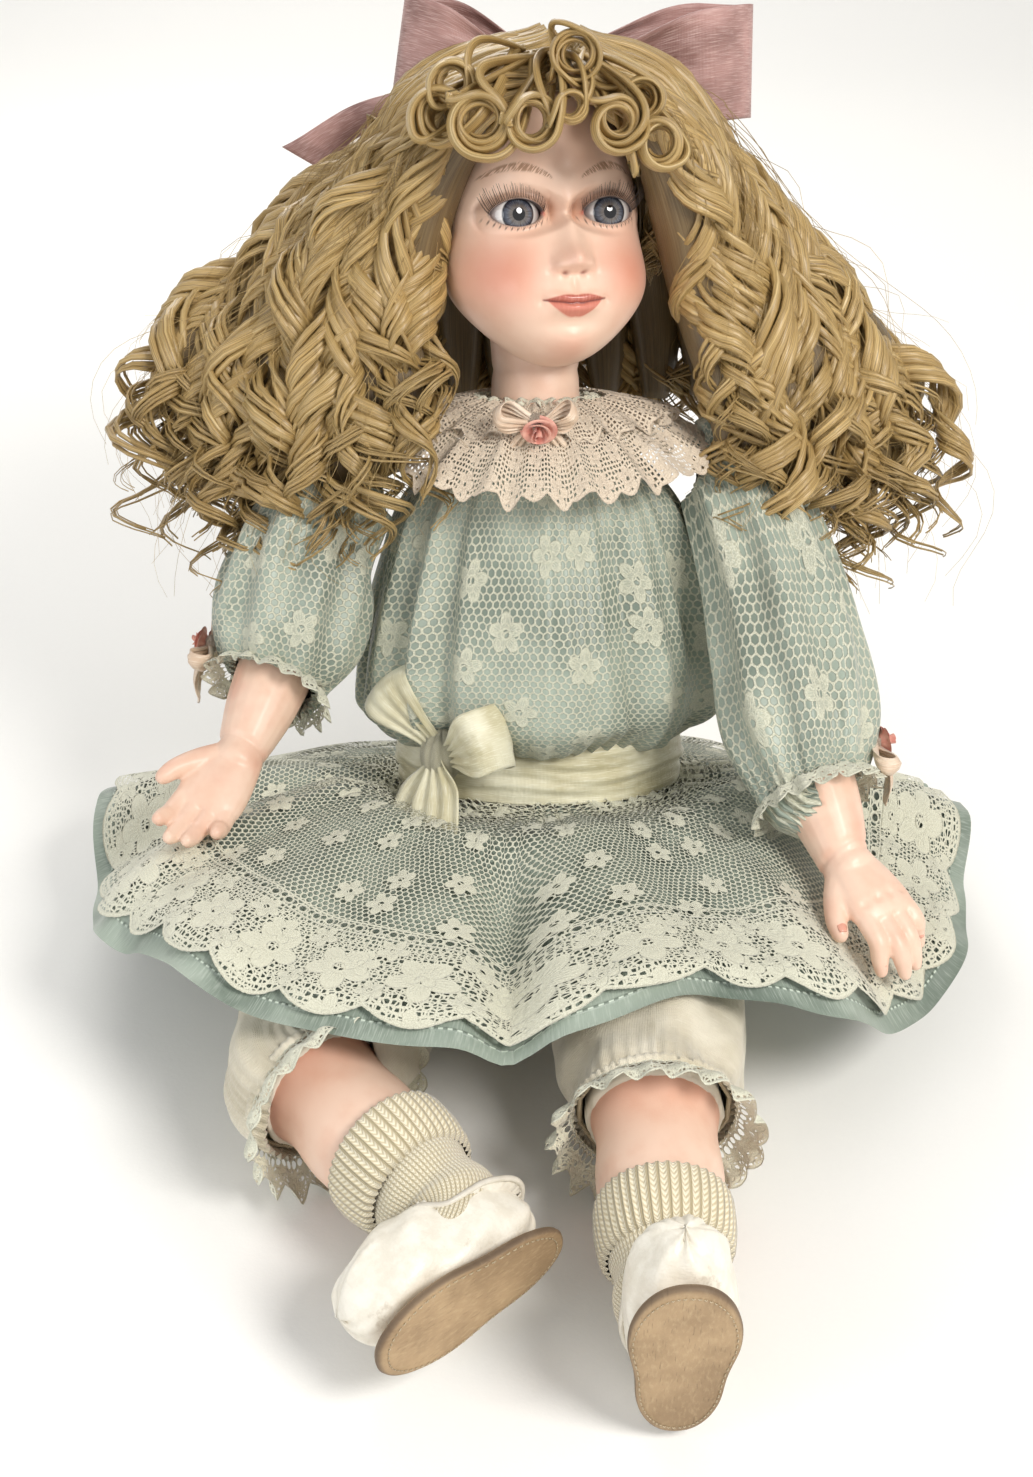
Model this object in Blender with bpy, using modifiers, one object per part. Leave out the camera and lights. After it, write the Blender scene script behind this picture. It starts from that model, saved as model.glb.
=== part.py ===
"""A dressed porcelain doll, seated and leaning back.

Bisque head on a spring-held neck bolt, bisque shoulder plate, forearms and lower legs, stuffed cloth body
and limbs, wig, lace dress with satin lining and sash, pantaloons, socks and shoes.
Metres, +Z up. The doll faces -Y, and its seat rests on the ground at the origin.
"""

import math

import bmesh
import bpy
from mathutils import Matrix, Vector

# Walls and clearances
GAP = 0.0004
CLOTH = 0.0012
BISQUE = 0.003
SEAM_GAP = 0.0008
SWING_GAP = 0.0022

# Seat: the padded pantaloons round the hips, flat where they rest
SEAT_HALF = Vector((0.057, 0.046, 0.040))
SEAT_CENTRE = Vector((0.0, 0.002, 0.034))

# Torso, measured along a spine that leans back from the spine's foot
LEAN = math.radians(18)
SPINE_FOOT = Vector((0.0, 0.0, 0.026))
PELVIS_HALF_WIDTH = 0.050
PELVIS_HALF_DEPTH = 0.036
WAIST_HALF_WIDTH = 0.0565
WAIST_HALF_DEPTH = 0.0370
BODICE_HALF_WIDTH = 0.068
BODICE_HALF_DEPTH = 0.050
WAIST_LOW = 0.032
SASH_HEIGHT = 0.028

# Neck and head
NECK_FOOT = Vector((-0.002, 0.052, 0.203))
NECK_LEAN = math.radians(21)
NECK_RADIUS = 0.0185
SOCKET_RADIUS = 0.030
SOCKET_RIM = NECK_RADIUS + 0.0055
NECK_LENGTH = 0.040
HEAD_CENTRE = Vector((-0.003, 0.076, 0.277))
HEAD_TURNED = math.radians(17)
HEAD_PITCHED = math.radians(23)
HEAD_TILTED = math.radians(4.5)
HEAD_HALF_WIDTH = 0.036
HEAD_FRONT = 0.041
HEAD_BACK = 0.046
HEAD_UP = 0.060
HEAD_DOWN = 0.055
CHIN_FORWARD = 0.016
CROWN_CUT = 0.046
EYE_RADIUS = 0.011
EYE_SPACING = 0.034
EYE_UP = 0.003
EYE_OPENING = Vector((0.0088, 0.0, 0.0054))
HAIR_DEPTH = 0.016
BOLT_RADIUS = 0.0022
SPRING_TURNS = 3

# Arms
SHOULDER = Vector((0.0635, 0.047, 0.183))
SHOULDER_BALL = 0.0190
UPPER_ARM_RADIUS = 0.0135
FOREARM_RADIUS = 0.0155
WRIST_RADIUS = 0.0105
SLEEVE_RADIUS = 0.0275
CUFF_RADIUS = 0.0210
TIE_THICKNESS = 0.0010
ARMS = {
    "right": {
        "elbow": Vector((-0.1015, 0.010, 0.129)),
        "cuff": Vector((-0.1075, -0.008, 0.119)),
        "wrist": Vector((-0.1190, -0.040, 0.103)),
        "tips": Vector((-0.1410, -0.086, 0.087)),
        "palm": Vector((0.15, -0.35, 0.92)),
        "thumb": Vector((-0.90, 0.25, 0.30)),
    },
    "left": {
        "elbow": Vector((0.0995, -0.046, 0.120)),
        "cuff": Vector((0.1040, -0.063, 0.105)),
        "wrist": Vector((0.1155, -0.090, 0.087)),
        "tips": Vector((0.1410, -0.130, 0.074)),
        "palm": Vector((-0.25, 0.35, -0.90)),
        "thumb": Vector((-0.85, -0.50, 0.10)),
    },
}

# Legs
HIP = Vector((0.045, -0.040, 0.0395))
HIP_BALL = 0.024
THIGH_RADIUS = 0.022
KNEE_RADIUS = 0.0235
ANKLE_RADIUS = 0.0165
PANTALOON_RADIUS = 0.037
SHOE_LENGTH = 0.078
SHOE_WIDTH = 0.042
SOLE_THICKNESS = 0.004
SOCK = 0.0014
LEATHER = 0.0014
FOOT_HEIGHT = 0.020
HEEL_BACK = 0.023
LEGS = {
    "right": {
        "knee": Vector((-0.088, -0.156, 0.0395)),
        "ankle": Vector((-0.030, -0.228, 0.0370)),
        "toe": Vector((-0.74, -0.66, -0.06)),
    },
    "left": {
        "knee": Vector((0.040, -0.168, 0.0405)),
        "ankle": Vector((0.042, -0.262, 0.0300)),
        "toe": Vector((0.02, -0.12, 0.99)),
    },
}

# Skirt
SKIRT_HALF_WIDTH = 0.182
SKIRT_FRONT = 0.182
SKIRT_BACK = 0.105
LAP_HEIGHT = HIP.z + PANTALOON_RADIUS + 0.0022
SIDE_HEM_HEIGHT = 0.040
BACK_HEM_HEIGHT = 0.0004
LACE_LIFT = 0.0034
SKIRT_FOLDS = 11

SIDES = {"right": -1, "left": 1}


def clear_scene():
    for obj in list(bpy.data.objects):
        bpy.data.objects.remove(obj, do_unlink=True)


clear_scene()
DOLL = bpy.data.collections.new("porcelain_doll")
HELPERS = bpy.data.collections.new("cutters")
bpy.context.scene.collection.children.link(DOLL)
bpy.context.scene.collection.children.link(HELPERS)


# ---------------------------------------------------------------- materials
def finish(name, colour, roughness, metallic=0.0):
    material = bpy.data.materials.new(name)
    material.use_nodes = True
    shader = material.node_tree.nodes["Principled BSDF"]
    shader.inputs["Base Color"].default_value = (*colour, 1)
    shader.inputs["Roughness"].default_value = roughness
    shader.inputs["Metallic"].default_value = metallic
    return material


FINISHES = {
    "bisque": ((0.62, 0.40, 0.30), 0.45),
    "glass": ((0.12, 0.14, 0.17), 0.05),
    "plaster": ((0.75, 0.73, 0.68), 0.9),
    "card": ((0.45, 0.36, 0.25), 0.8),
    "hair": ((0.34, 0.24, 0.12), 0.5),
    "mauve_satin": ((0.42, 0.20, 0.20), 0.4),
    "steel": ((0.55, 0.55, 0.55), 0.35, 1.0),
    "calico": ((0.72, 0.66, 0.54), 0.9),
    "thread": ((0.70, 0.62, 0.48), 0.8),
    "mint_satin": ((0.28, 0.42, 0.36), 0.4),
    "lace": ((0.55, 0.58, 0.48), 0.8),
    "eyelet": ((0.60, 0.52, 0.42), 0.8),
    "cream_satin": ((0.72, 0.69, 0.50), 0.35),
    "cotton": ((0.70, 0.64, 0.52), 0.9),
    "knit": ((0.68, 0.60, 0.38), 0.9),
    "white_leather": ((0.75, 0.70, 0.60), 0.45),
    "sole_leather": ((0.35, 0.25, 0.15), 0.6),
}


def coloured(obj, kind):
    """Gives a piece a material of its own."""
    obj.data.materials.clear()
    obj.data.materials.append(finish(obj.name, *FINISHES[kind]))


# ---------------------------------------------------------------- frames and pivots
def basis(x_axis, y_axis, z_axis, origin):
    frame = Matrix((x_axis, y_axis, z_axis)).transposed().to_4x4()
    frame.translation = origin
    return frame


def frame_along(origin, along, up_hint):
    """A frame whose +Z runs along a direction, and whose +X leans to the hint."""
    z_axis = along.normalized()
    x_axis = (up_hint - z_axis * up_hint.dot(z_axis)).normalized()
    return basis(x_axis, z_axis.cross(x_axis), z_axis, origin)


TORSO = Matrix.Translation(SPINE_FOOT) @ Matrix.Rotation(-LEAN, 4, "X")
NECK = Matrix.Translation(NECK_FOOT) @ Matrix.Rotation(-NECK_LEAN, 4, "X")
HEAD = (
    Matrix.Translation(HEAD_CENTRE)
    @ Matrix.Rotation(HEAD_TURNED, 4, "Z")
    @ Matrix.Rotation(-HEAD_PITCHED, 4, "X")
    @ Matrix.Rotation(HEAD_TILTED, 4, "Y")
)
IN_PLACE = Matrix.Identity(4)


def mirrored(point, side):
    return Vector((point.x * side, point.y, point.z))


def pivot(name, matrix):
    empty = bpy.data.objects.new(name, None)
    empty.matrix_world = matrix
    DOLL.objects.link(empty)
    return empty


PIVOTS = {"torso": pivot("torso_pivot", TORSO), "head": pivot("head_pivot", NECK)}
for side_name, side_sign in SIDES.items():
    PIVOTS[f"arm_{side_name}"] = pivot(
        f"shoulder_{side_name}_pivot", Matrix.Translation(mirrored(SHOULDER, side_sign))
    )
    PIVOTS[f"leg_{side_name}"] = pivot(
        f"hip_{side_name}_pivot", Matrix.Translation(mirrored(HIP, side_sign))
    )
bpy.context.view_layer.update()


def place(obj, matrix, body, kind):
    """Makes an object a piece of a body: parented to its pivot, coloured and shaded smooth."""
    HELPERS.objects.unlink(obj)
    DOLL.objects.link(obj)
    obj.hide_render = False
    obj.display_type = "TEXTURED"
    obj.parent = PIVOTS[body]
    obj.matrix_parent_inverse = PIVOTS[body].matrix_world.inverted()
    obj.matrix_basis = matrix
    obj.data.shade_smooth()
    coloured(obj, kind)
    return obj


# ---------------------------------------------------------------- shapes
def helper(name, mesh, matrix=IN_PLACE):
    """Every shape starts as a hidden helper, and place() makes a piece of it."""
    obj = bpy.data.objects.new(name, mesh)
    obj.matrix_world = matrix
    obj.hide_render = True
    obj.display_type = "WIRE"
    HELPERS.objects.link(obj)
    return obj


def mesh_from(name, form):
    mesh = bpy.data.meshes.new(name)
    bmesh.ops.recalc_face_normals(form, faces=form.faces)
    form.to_mesh(mesh)
    form.free()
    return mesh


def ball(name, half, centre=Vector(), segments=16, rings=10, shape=None, matrix=IN_PLACE):
    """An ellipsoid, or a sphere whose unit directions a function turns into points."""
    form = bmesh.new()
    bmesh.ops.create_uvsphere(form, u_segments=segments, v_segments=rings, radius=1)
    for vertex in form.verts:
        if shape:
            vertex.co = shape(vertex.co)
        else:
            vertex.co = Vector(centre) + Vector(a * b for a, b in zip(vertex.co, half))
    return helper(name, mesh_from(name, form), matrix)


def box(name, low, high, matrix=IN_PLACE):
    form = bmesh.new()
    bmesh.ops.create_cube(form, size=1)
    low, high = Vector(low), Vector(high)
    for vertex in form.verts:
        vertex.co = Vector(l + (h - l) * (c + 0.5) for l, h, c in zip(low, high, vertex.co))
    return helper(name, mesh_from(name, form), matrix)


def turned(name, profile, steps=20, matrix=IN_PLACE):
    """A closed profile of (radius, height), down its outer side, turned round Z."""
    form = bmesh.new()
    points = [form.verts.new((radius, 0, height)) for radius, height in profile]
    closed = profile[0][0] > 0 or profile[-1][0] > 0
    last = len(points) if closed else len(points) - 1
    for index in range(last):
        form.edges.new((points[index], points[(index + 1) % len(points)]))
    mesh = bpy.data.meshes.new(name)
    form.to_mesh(mesh)
    form.free()
    obj = helper(name, mesh, matrix)
    screw = obj.modifiers.new("turned", "SCREW")
    screw.steps = screw.render_steps = steps
    screw.use_merge_vertices = True
    screw.merge_threshold = 0.00001
    return obj


def smoothed(stations, steps):
    """Points on a smooth curve through stations of any length of tuple, steps from one to the next."""
    found = []
    for index in range(len(stations) - 1):
        before = stations[max(index - 1, 0)]
        start, end = stations[index], stations[index + 1]
        after = stations[min(index + 2, len(stations) - 1)]
        for step in range(steps):
            t = step / steps
            weights = (
                -0.5 * t + t**2 - 0.5 * t**3,
                1 - 2.5 * t**2 + 1.5 * t**3,
                0.5 * t + 2 * t**2 - 1.5 * t**3,
                -0.5 * t**2 + 0.5 * t**3,
            )
            corners = zip(before, start, end, after)
            found.append(tuple(sum(w * c for w, c in zip(weights, four)) for four in corners))
    found.append(tuple(stations[-1]))
    return found


def tube(name, stations, steps=3, sides=10, wall=0.0, matrix=IN_PLACE):
    """A round bar through (x, y, z, radius) stations, or a sleeve of that outer radius if a wall is given."""
    curve = bpy.data.curves.new(name, "CURVE")
    curve.dimensions = "3D"
    curve.bevel_depth = 1.0
    curve.bevel_resolution = (sides - 4) // 2
    curve.use_fill_caps = wall == 0
    points = smoothed(stations, steps)
    spline = curve.splines.new("POLY")
    spline.points.add(len(points) - 1)
    for point, (x, y, z, radius) in zip(spline.points, points):
        point.co = (x, y, z, 1)
        point.radius = radius
    bent = bpy.data.objects.new(name + "_curve", curve)
    bpy.context.scene.collection.objects.link(bent)
    graph = bpy.context.evaluated_depsgraph_get()
    graph.update()
    mesh = bpy.data.meshes.new_from_object(bent.evaluated_get(graph))
    bpy.data.objects.remove(bent)
    form = bmesh.new()
    form.from_mesh(mesh)
    bmesh.ops.remove_doubles(form, verts=form.verts, dist=0.00001)
    bmesh.ops.recalc_face_normals(form, faces=form.faces)
    form.to_mesh(mesh)
    form.free()
    obj = helper(name, mesh, matrix)
    if wall:
        thicken(obj, wall)
    return obj


def ring(name, radius, thickness, matrix, segments=20, sides=8):
    """A cord or ruffle tied round Z."""
    profile = [
        (
            radius + thickness * math.cos(2 * math.pi * step / sides),
            -thickness * math.sin(2 * math.pi * step / sides),
        )
        for step in range(sides)
    ]
    return turned(name, profile, segments, matrix)


def sheet(name, shape, around, along, wall, matrix=IN_PLACE, closed=True, outwards=-1.0):
    """A cloth: a grid bent to shape(turn 0..1, run 0..1), joined round if closed, then given a wall."""
    form = bmesh.new()
    bmesh.ops.create_grid(form, x_segments=around, y_segments=along, size=0.5)
    for vertex in form.verts:
        vertex.co = shape(vertex.co.x + 0.5, vertex.co.y + 0.5)
    if closed:
        bmesh.ops.remove_doubles(form, verts=form.verts, dist=0.000005)
    obj = helper(name, mesh_from(name, form), matrix)
    thicken(obj, wall, outwards)
    return obj


def thicken(obj, wall, offset=-1.0):
    solidify = obj.modifiers.new("wall", "SOLIDIFY")
    solidify.thickness = wall
    solidify.offset = offset
    solidify.use_even_offset = False
    solidify.use_quality_normals = True


def boolean(obj, other, operation):
    modifier = obj.modifiers.new(f"{operation.lower()}_{other.name}"[:60], "BOOLEAN")
    modifier.operation = operation
    modifier.object = other
    modifier.solver = "EXACT"
    return obj


def cut(obj, *cutters):
    for cutter in cutters:
        boolean(obj, cutter, "DIFFERENCE")
    return obj


def join(obj, *others):
    for other in others:
        boolean(obj, other, "UNION")
    return obj


def grown(obj, clearance):
    """A hidden copy of a finished piece, swollen by a clearance, to cut room for it in a soft neighbour."""
    bpy.context.view_layer.update()
    graph = bpy.context.evaluated_depsgraph_get()
    mesh = bpy.data.meshes.new_from_object(obj.evaluated_get(graph))
    mesh.transform(obj.matrix_world)
    form = bmesh.new()
    form.from_mesh(mesh)
    bmesh.ops.recalc_face_normals(form, faces=form.faces)
    form.normal_update()
    for vertex in form.verts:
        vertex.co += vertex.normal * clearance
    form.to_mesh(mesh)
    form.free()
    return helper(f"room_for_{obj.name}"[:55], mesh)


def make_room(soft, neighbours, clearance=SEAM_GAP):
    for neighbour in neighbours:
        cut(soft, grown(neighbour, clearance))


# ---------------------------------------------------------------- torso
def eased(t):
    t = min(max(t, 0.0), 1.0)
    return t * t * (3 - 2 * t)


def section_shape(stations, steps=4):
    """shape(turn, run) over elliptic sections of (height, half width, half depth, shift back)."""
    rows = smoothed(stations, steps)

    def shape(turn, run):
        place_on = run * (len(rows) - 1)
        index = min(int(place_on), len(rows) - 2)
        part = place_on - index
        height, wide, deep, back = (
            a + (b - a) * part for a, b in zip(rows[index], rows[index + 1])
        )
        angle = 2 * math.pi * turn
        return Vector((wide * math.cos(angle), back + deep * math.sin(angle), height))

    return shape


def closed_loft(name, stations, around, along, matrix):
    """A stuffed form: sections joined round, with both ends drawn to a point."""
    shape = section_shape(stations)
    low, high = stations[0], stations[-1]
    form = bmesh.new()
    bmesh.ops.create_uvsphere(form, u_segments=around, v_segments=along, radius=1)
    for vertex in form.verts:
        run = math.acos(max(-1, min(1, -vertex.co.z))) / math.pi
        if run < 0.001 or run > 0.999:
            end = low if run < 0.5 else high
            vertex.co = Vector((0, end[3], end[0]))
        else:
            turn = math.atan2(vertex.co.y, vertex.co.x) / (2 * math.pi)
            first = 1 / along
            vertex.co = shape(turn, (run - first) / (1 - 2 * first))
    return helper(name, mesh_from(name, form), matrix)


def shoulder_balls(radius):
    return [
        ball(
            f"shoulder_ball_{side}",
            Vector((radius, radius, radius)),
            segments=12,
            rings=8,
            matrix=Matrix.Translation(mirrored(SHOULDER, sign)),
        )
        for side, sign in SIDES.items()
    ]


def hip_balls(radius):
    return [
        ball(
            f"hip_ball_{side}",
            Vector((radius, radius, radius)),
            segments=14,
            rings=8,
            matrix=Matrix.Translation(mirrored(HIP, sign)),
        )
        for side, sign in SIDES.items()
    ]


def body_stations(grow):
    return (
        (-0.018, 0.028 + grow, 0.020 + grow, 0.002),
        (0.000, PELVIS_HALF_WIDTH + grow, PELVIS_HALF_DEPTH + grow, 0.001),
        (0.020, PELVIS_HALF_WIDTH + grow, PELVIS_HALF_DEPTH + grow, 0.0),
        (0.045, WAIST_HALF_WIDTH - 0.009 + grow, WAIST_HALF_DEPTH - 0.004 + grow, 0.0),
        (0.090, WAIST_HALF_WIDTH - 0.008 + grow, WAIST_HALF_DEPTH - 0.004 + grow, 0.0),
        (0.122, WAIST_HALF_WIDTH - 0.010 + grow, WAIST_HALF_DEPTH - 0.007 + grow, 0.0),
        (0.140, WAIST_HALF_WIDTH - 0.024 + grow, WAIST_HALF_DEPTH - 0.017 + grow, 0.0),
    )


def make_torso():
    cloth_body = closed_loft("cloth_body", body_stations(0.0), 16, 10, TORSO)
    below = box("below_body", (-0.2, -0.2, -0.1), (0.2, 0.2, 0.0030))
    cut(cloth_body, below, *hip_balls(HIP_BALL + SWING_GAP))
    place(cloth_body, TORSO, "torso", "calico")

    seat = ball("pantaloons_seat", SEAT_HALF, SEAT_CENTRE, 20, 12)
    ground = box("ground", (-0.2, -0.2, -0.1), (0.2, 0.2, 0.0))
    above = box("above_seat", (-0.2, -0.2, WAIST_LOW - 0.011), (0.2, 0.2, 0.2), TORSO)
    body_room = closed_loft("body_room", body_stations(SEAM_GAP), 16, 10, TORSO)
    cut(body_room, box("below_room", (-0.2, -0.2, -0.1), (0.2, 0.2, 0.0022)))
    cut(seat, ground, above, body_room, *hip_balls(HIP_BALL + SWING_GAP))
    place(seat, IN_PLACE, "torso", "cotton")


def socket_height(across):
    """Height over the neck's foot of the dish that the neck turns in."""
    return math.sqrt(SOCKET_RADIUS**2 - SOCKET_RIM**2) - math.sqrt(SOCKET_RADIUS**2 - across**2)


def make_shoulder_plate():
    to_torso = TORSO.inverted() @ NECK
    dish = [SOCKET_RIM * share for share in (1.0, 0.85, 0.6, 0.35)] + [BOLT_RADIUS + 0.0012]
    skirt = ((0.118, 0.0525, 0.0355), (0.140, 0.0520, 0.0345), (0.157, 0.0470, 0.0315), (0.169, 0.0340, 0.0270))

    def shape(turn, run):
        rows = len(skirt) + len(dish) - 1
        place_on = run * rows
        index = min(round(place_on), rows)
        angle = 2 * math.pi * turn
        across, back = math.cos(angle), math.sin(angle)
        if index < len(skirt):
            height, wide, deep = skirt[index]
            return Vector((wide * across, deep * back, height))
        radius = dish[index - len(skirt)]
        return to_torso @ Vector((radius * across, radius * back, socket_height(radius)))

    plate = sheet(
        "shoulder_plate", shape, 16, len(skirt) + len(dish) - 1, BISQUE - 0.0006, TORSO, outwards=-1.0
    )
    cut(plate, *shoulder_balls(SHOULDER_BALL + SWING_GAP))
    return place(plate, TORSO, "torso", "bisque")


def make_neck_hardware():
    under = socket_height(BOLT_RADIUS) - BISQUE - GAP
    washer_at = under - 0.0105
    bolt_top = socket_height(0) + SEAM_GAP + BISQUE + GAP
    profile = [
        (0, bolt_top + 0.0016),
        (0.0085, bolt_top + 0.0016),
        (0.0085, bolt_top + 0.0002),
        (BOLT_RADIUS, bolt_top),
        (BOLT_RADIUS, washer_at - 0.0058),
        (0, washer_at - 0.0058),
    ]
    place(turned("neck_bolt", profile, 16, NECK), NECK, "head", "steel")
    hole = BOLT_RADIUS + GAP
    washer = [(0.0085, washer_at), (0.0085, washer_at - 0.0012), (hole, washer_at - 0.0012), (hole, washer_at)]
    place(turned("neck_washer", washer, 16, NECK), NECK, "torso", "steel")
    nut_top = washer_at - 0.0012 - GAP
    nut = [(0.0045, nut_top), (0.0045, nut_top - 0.003), (hole, nut_top - 0.003), (hole, nut_top)]
    place(turned("neck_nut", nut, 6, NECK), NECK, "head", "steel")
    wire, radius = 0.0007, 0.0048
    low, high = washer_at + wire + GAP, under - wire - GAP
    points = 12 * SPRING_TURNS
    coil = [
        (
            radius * math.cos(2 * math.pi * step / 12),
            radius * math.sin(2 * math.pi * step / 12),
            low + (high - low) * step / points,
            wire,
        )
        for step in range(points + 1)
    ]
    place(tube("neck_spring", coil, 1, 6, matrix=NECK), NECK, "torso", "steel")


# ---------------------------------------------------------------- head
def head_shape(grow):
    """Maps unit directions to the head's surface, swollen by a clearance. -Y is the face."""

    def shape(way):
        down = eased(-way.z)
        high = HEAD_UP if way.z > 0 else HEAD_DOWN
        deep = HEAD_BACK if way.y > 0 else HEAD_FRONT
        cheeks = 1 + 0.05 * math.sin(math.pi * down)
        return Vector(
            (
                (HEAD_HALF_WIDTH * cheeks + grow) * way.x,
                (deep + grow) * way.y - CHIN_FORWARD * down,
                (high + grow) * way.z,
            )
        )

    return shape


def head_ball(name, grow, segments=16, rings=12):
    return ball(name, None, segments=segments, rings=rings, shape=head_shape(grow), matrix=HEAD)


def eye_centre(sign):
    across = EYE_SPACING / 2
    share = math.sqrt(1 - (across / HEAD_HALF_WIDTH) ** 2)
    return Vector((sign * across, -HEAD_FRONT * share + EYE_RADIUS + 0.0008, EYE_UP))


def make_head():
    shell = head_ball("head_shell", 0.0)
    dome = [NECK_RADIUS * share for share in (1.0, 0.85, 0.6, 0.35)]
    hole = BOLT_RADIUS + 0.0008
    outside = [(NECK_RADIUS, NECK_LENGTH)] + [(r, socket_height(r) + SEAM_GAP) for r in dome]
    neck = [(0, NECK_LENGTH)] + outside + [(0, socket_height(0) + SEAM_GAP)]
    bore_radius = NECK_RADIUS - BISQUE - 0.001
    bore_floor = socket_height(0) + SEAM_GAP + BISQUE
    bore = [(0, NECK_LENGTH + 0.01), (bore_radius, NECK_LENGTH + 0.01), (bore_radius, bore_floor + 0.0045)]
    bore += [(0.0090, bore_floor), (0, bore_floor)]
    bolt_hole = [(0, 0.0), (hole, 0.0), (hole, -0.02), (0, -0.02)]
    nose = ball("nose", Vector((0.0065, 0.0085, 0.0085)), Vector((0, -HEAD_FRONT, -0.013)), 8, 6, matrix=HEAD)
    join(shell, turned("neck", neck, 16, NECK), nose)
    cut(shell, head_ball("head_hollow", -BISQUE), turned("neck_bore", bore, 12, NECK))
    cut(shell, turned("neck_bolt_hole", bolt_hole, 8, NECK))
    cut(shell, box("crown_opening", (-0.1, -0.1, CROWN_CUT), (0.1, 0.1, 0.1), HEAD))
    for side, sign in SIDES.items():
        centre = eye_centre(sign)
        room = EYE_RADIUS + GAP
        cut(shell, ball(f"eye_socket_{side}", Vector((room,) * 3), centre, 12, 8, matrix=HEAD))
        opening = ball(
            f"eye_opening_{side}",
            Vector((EYE_OPENING.x, 0.02, EYE_OPENING.z)),
            centre - Vector((0, EYE_RADIUS, 0)),
            10,
            8,
            matrix=HEAD,
        )
        cut(shell, opening)
    place(shell, HEAD, "head", "bisque")

    pate = head_ball("crown_pate", -0.0002)
    cut(pate, head_ball("pate_hollow", -0.0020))
    cut(pate, box("below_pate", (-0.1, -0.1, -0.1), (0.1, 0.1, CROWN_CUT + GAP), HEAD))
    place(pate, HEAD, "head", "card")


def make_eyes():
    for side, sign in SIDES.items():
        centre = eye_centre(sign)
        eye = ball(f"eye_{side}", Vector((EYE_RADIUS,) * 3), centre, 12, 8, matrix=HEAD)
        place(eye, HEAD, "head", "glass")
        plaster = ball(
            f"eye_plaster_{side}",
            Vector((0.0095, 0.0080, 0.0095)),
            centre + Vector((0, EYE_RADIUS - 0.001, 0)),
            10,
            6,
            matrix=HEAD,
        )
        room = EYE_RADIUS + GAP
        cut(plaster, ball(f"plaster_hollow_{side}", Vector((room,) * 3), centre, 12, 8, matrix=HEAD))
        place(plaster, HEAD, "head", "plaster")
        lash_radius = 0.0006
        front = head_shape(0.0018)
        stations = []
        for step in range(7):
            angle = math.pi * (0.08 + 0.84 * step / 6)
            x = centre.x + (EYE_OPENING.x + 0.0012) * math.cos(angle)
            z = centre.z + (EYE_OPENING.z + 0.0016) * math.sin(angle)
            way = Vector((x / HEAD_HALF_WIDTH, 0, z / HEAD_UP))
            way.y = -math.sqrt(1 - way.x**2 - way.z**2)
            stations.append((*front(way), lash_radius))
        place(tube(f"eyelashes_{side}", stations, 1, 6, matrix=HEAD), HEAD, "head", "hair")


# ---------------------------------------------------------------- wig
def face_opening(name, wide, high, back):
    """A cutter that leaves the face open, running from in front of it back to a depth."""
    profile = [(0, 0.10), (1, 0.10), (1, back), (0, back)]
    turn = Matrix.Rotation(math.pi / 2, 4, "X")
    stretch = Matrix.Diagonal((wide, 1, high, 1))
    obj = turned(name, profile, 16)
    bpy.context.view_layer.update()
    graph = bpy.context.evaluated_depsgraph_get()
    mesh = bpy.data.meshes.new_from_object(obj.evaluated_get(graph))
    mesh.transform(Matrix.Translation((0, 0, -0.004)) @ stretch @ turn)
    bpy.data.objects.remove(obj)
    return helper(name, mesh, HEAD)


def below_wig(name, height):
    """Everything under a plane square to the neck."""
    return box(name, (-0.2, -0.2, -0.2), (0.2, 0.2, height), NECK)


def make_wig():
    cap = head_ball("wig_cap", GAP + 0.0012)
    cut(cap, head_ball("cap_hollow", GAP))
    cut(cap, face_opening("cap_front", 0.0420, 0.056, -0.006), below_wig("below_cap", 0.066))
    place(cap, HEAD, "head", "calico")

    crown = head_ball("hair_crown", HAIR_DEPTH)
    cut(crown, head_ball("crown_hollow", 2 * GAP + 0.0014))
    cut(crown, face_opening("crown_front", 0.0375, 0.054, -0.004), below_wig("below_crown", 0.050))
    place(crown, HEAD, "head", "hair")

    roll_radius = 0.0092
    stations = []
    for step in range(9):
        angle = math.pi * (0.30 + 0.40 * step / 8)
        stations.append(
            (
                0.036 * math.cos(angle),
                -HEAD_FRONT * 0.42 - 0.018 * math.sin(angle),
                0.006 + 0.056 * math.sin(angle),
                roll_radius * (0.75 + 0.25 * math.sin(angle)),
            )
        )
    fringe = tube("hair_fringe", stations, 1, 8, matrix=HEAD)
    cut(fringe, head_ball("fringe_room", 2 * GAP))
    make_room(fringe, [bpy.data.objects["hair_crown"]], GAP)
    return place(fringe, HEAD, "head", "hair")


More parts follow.
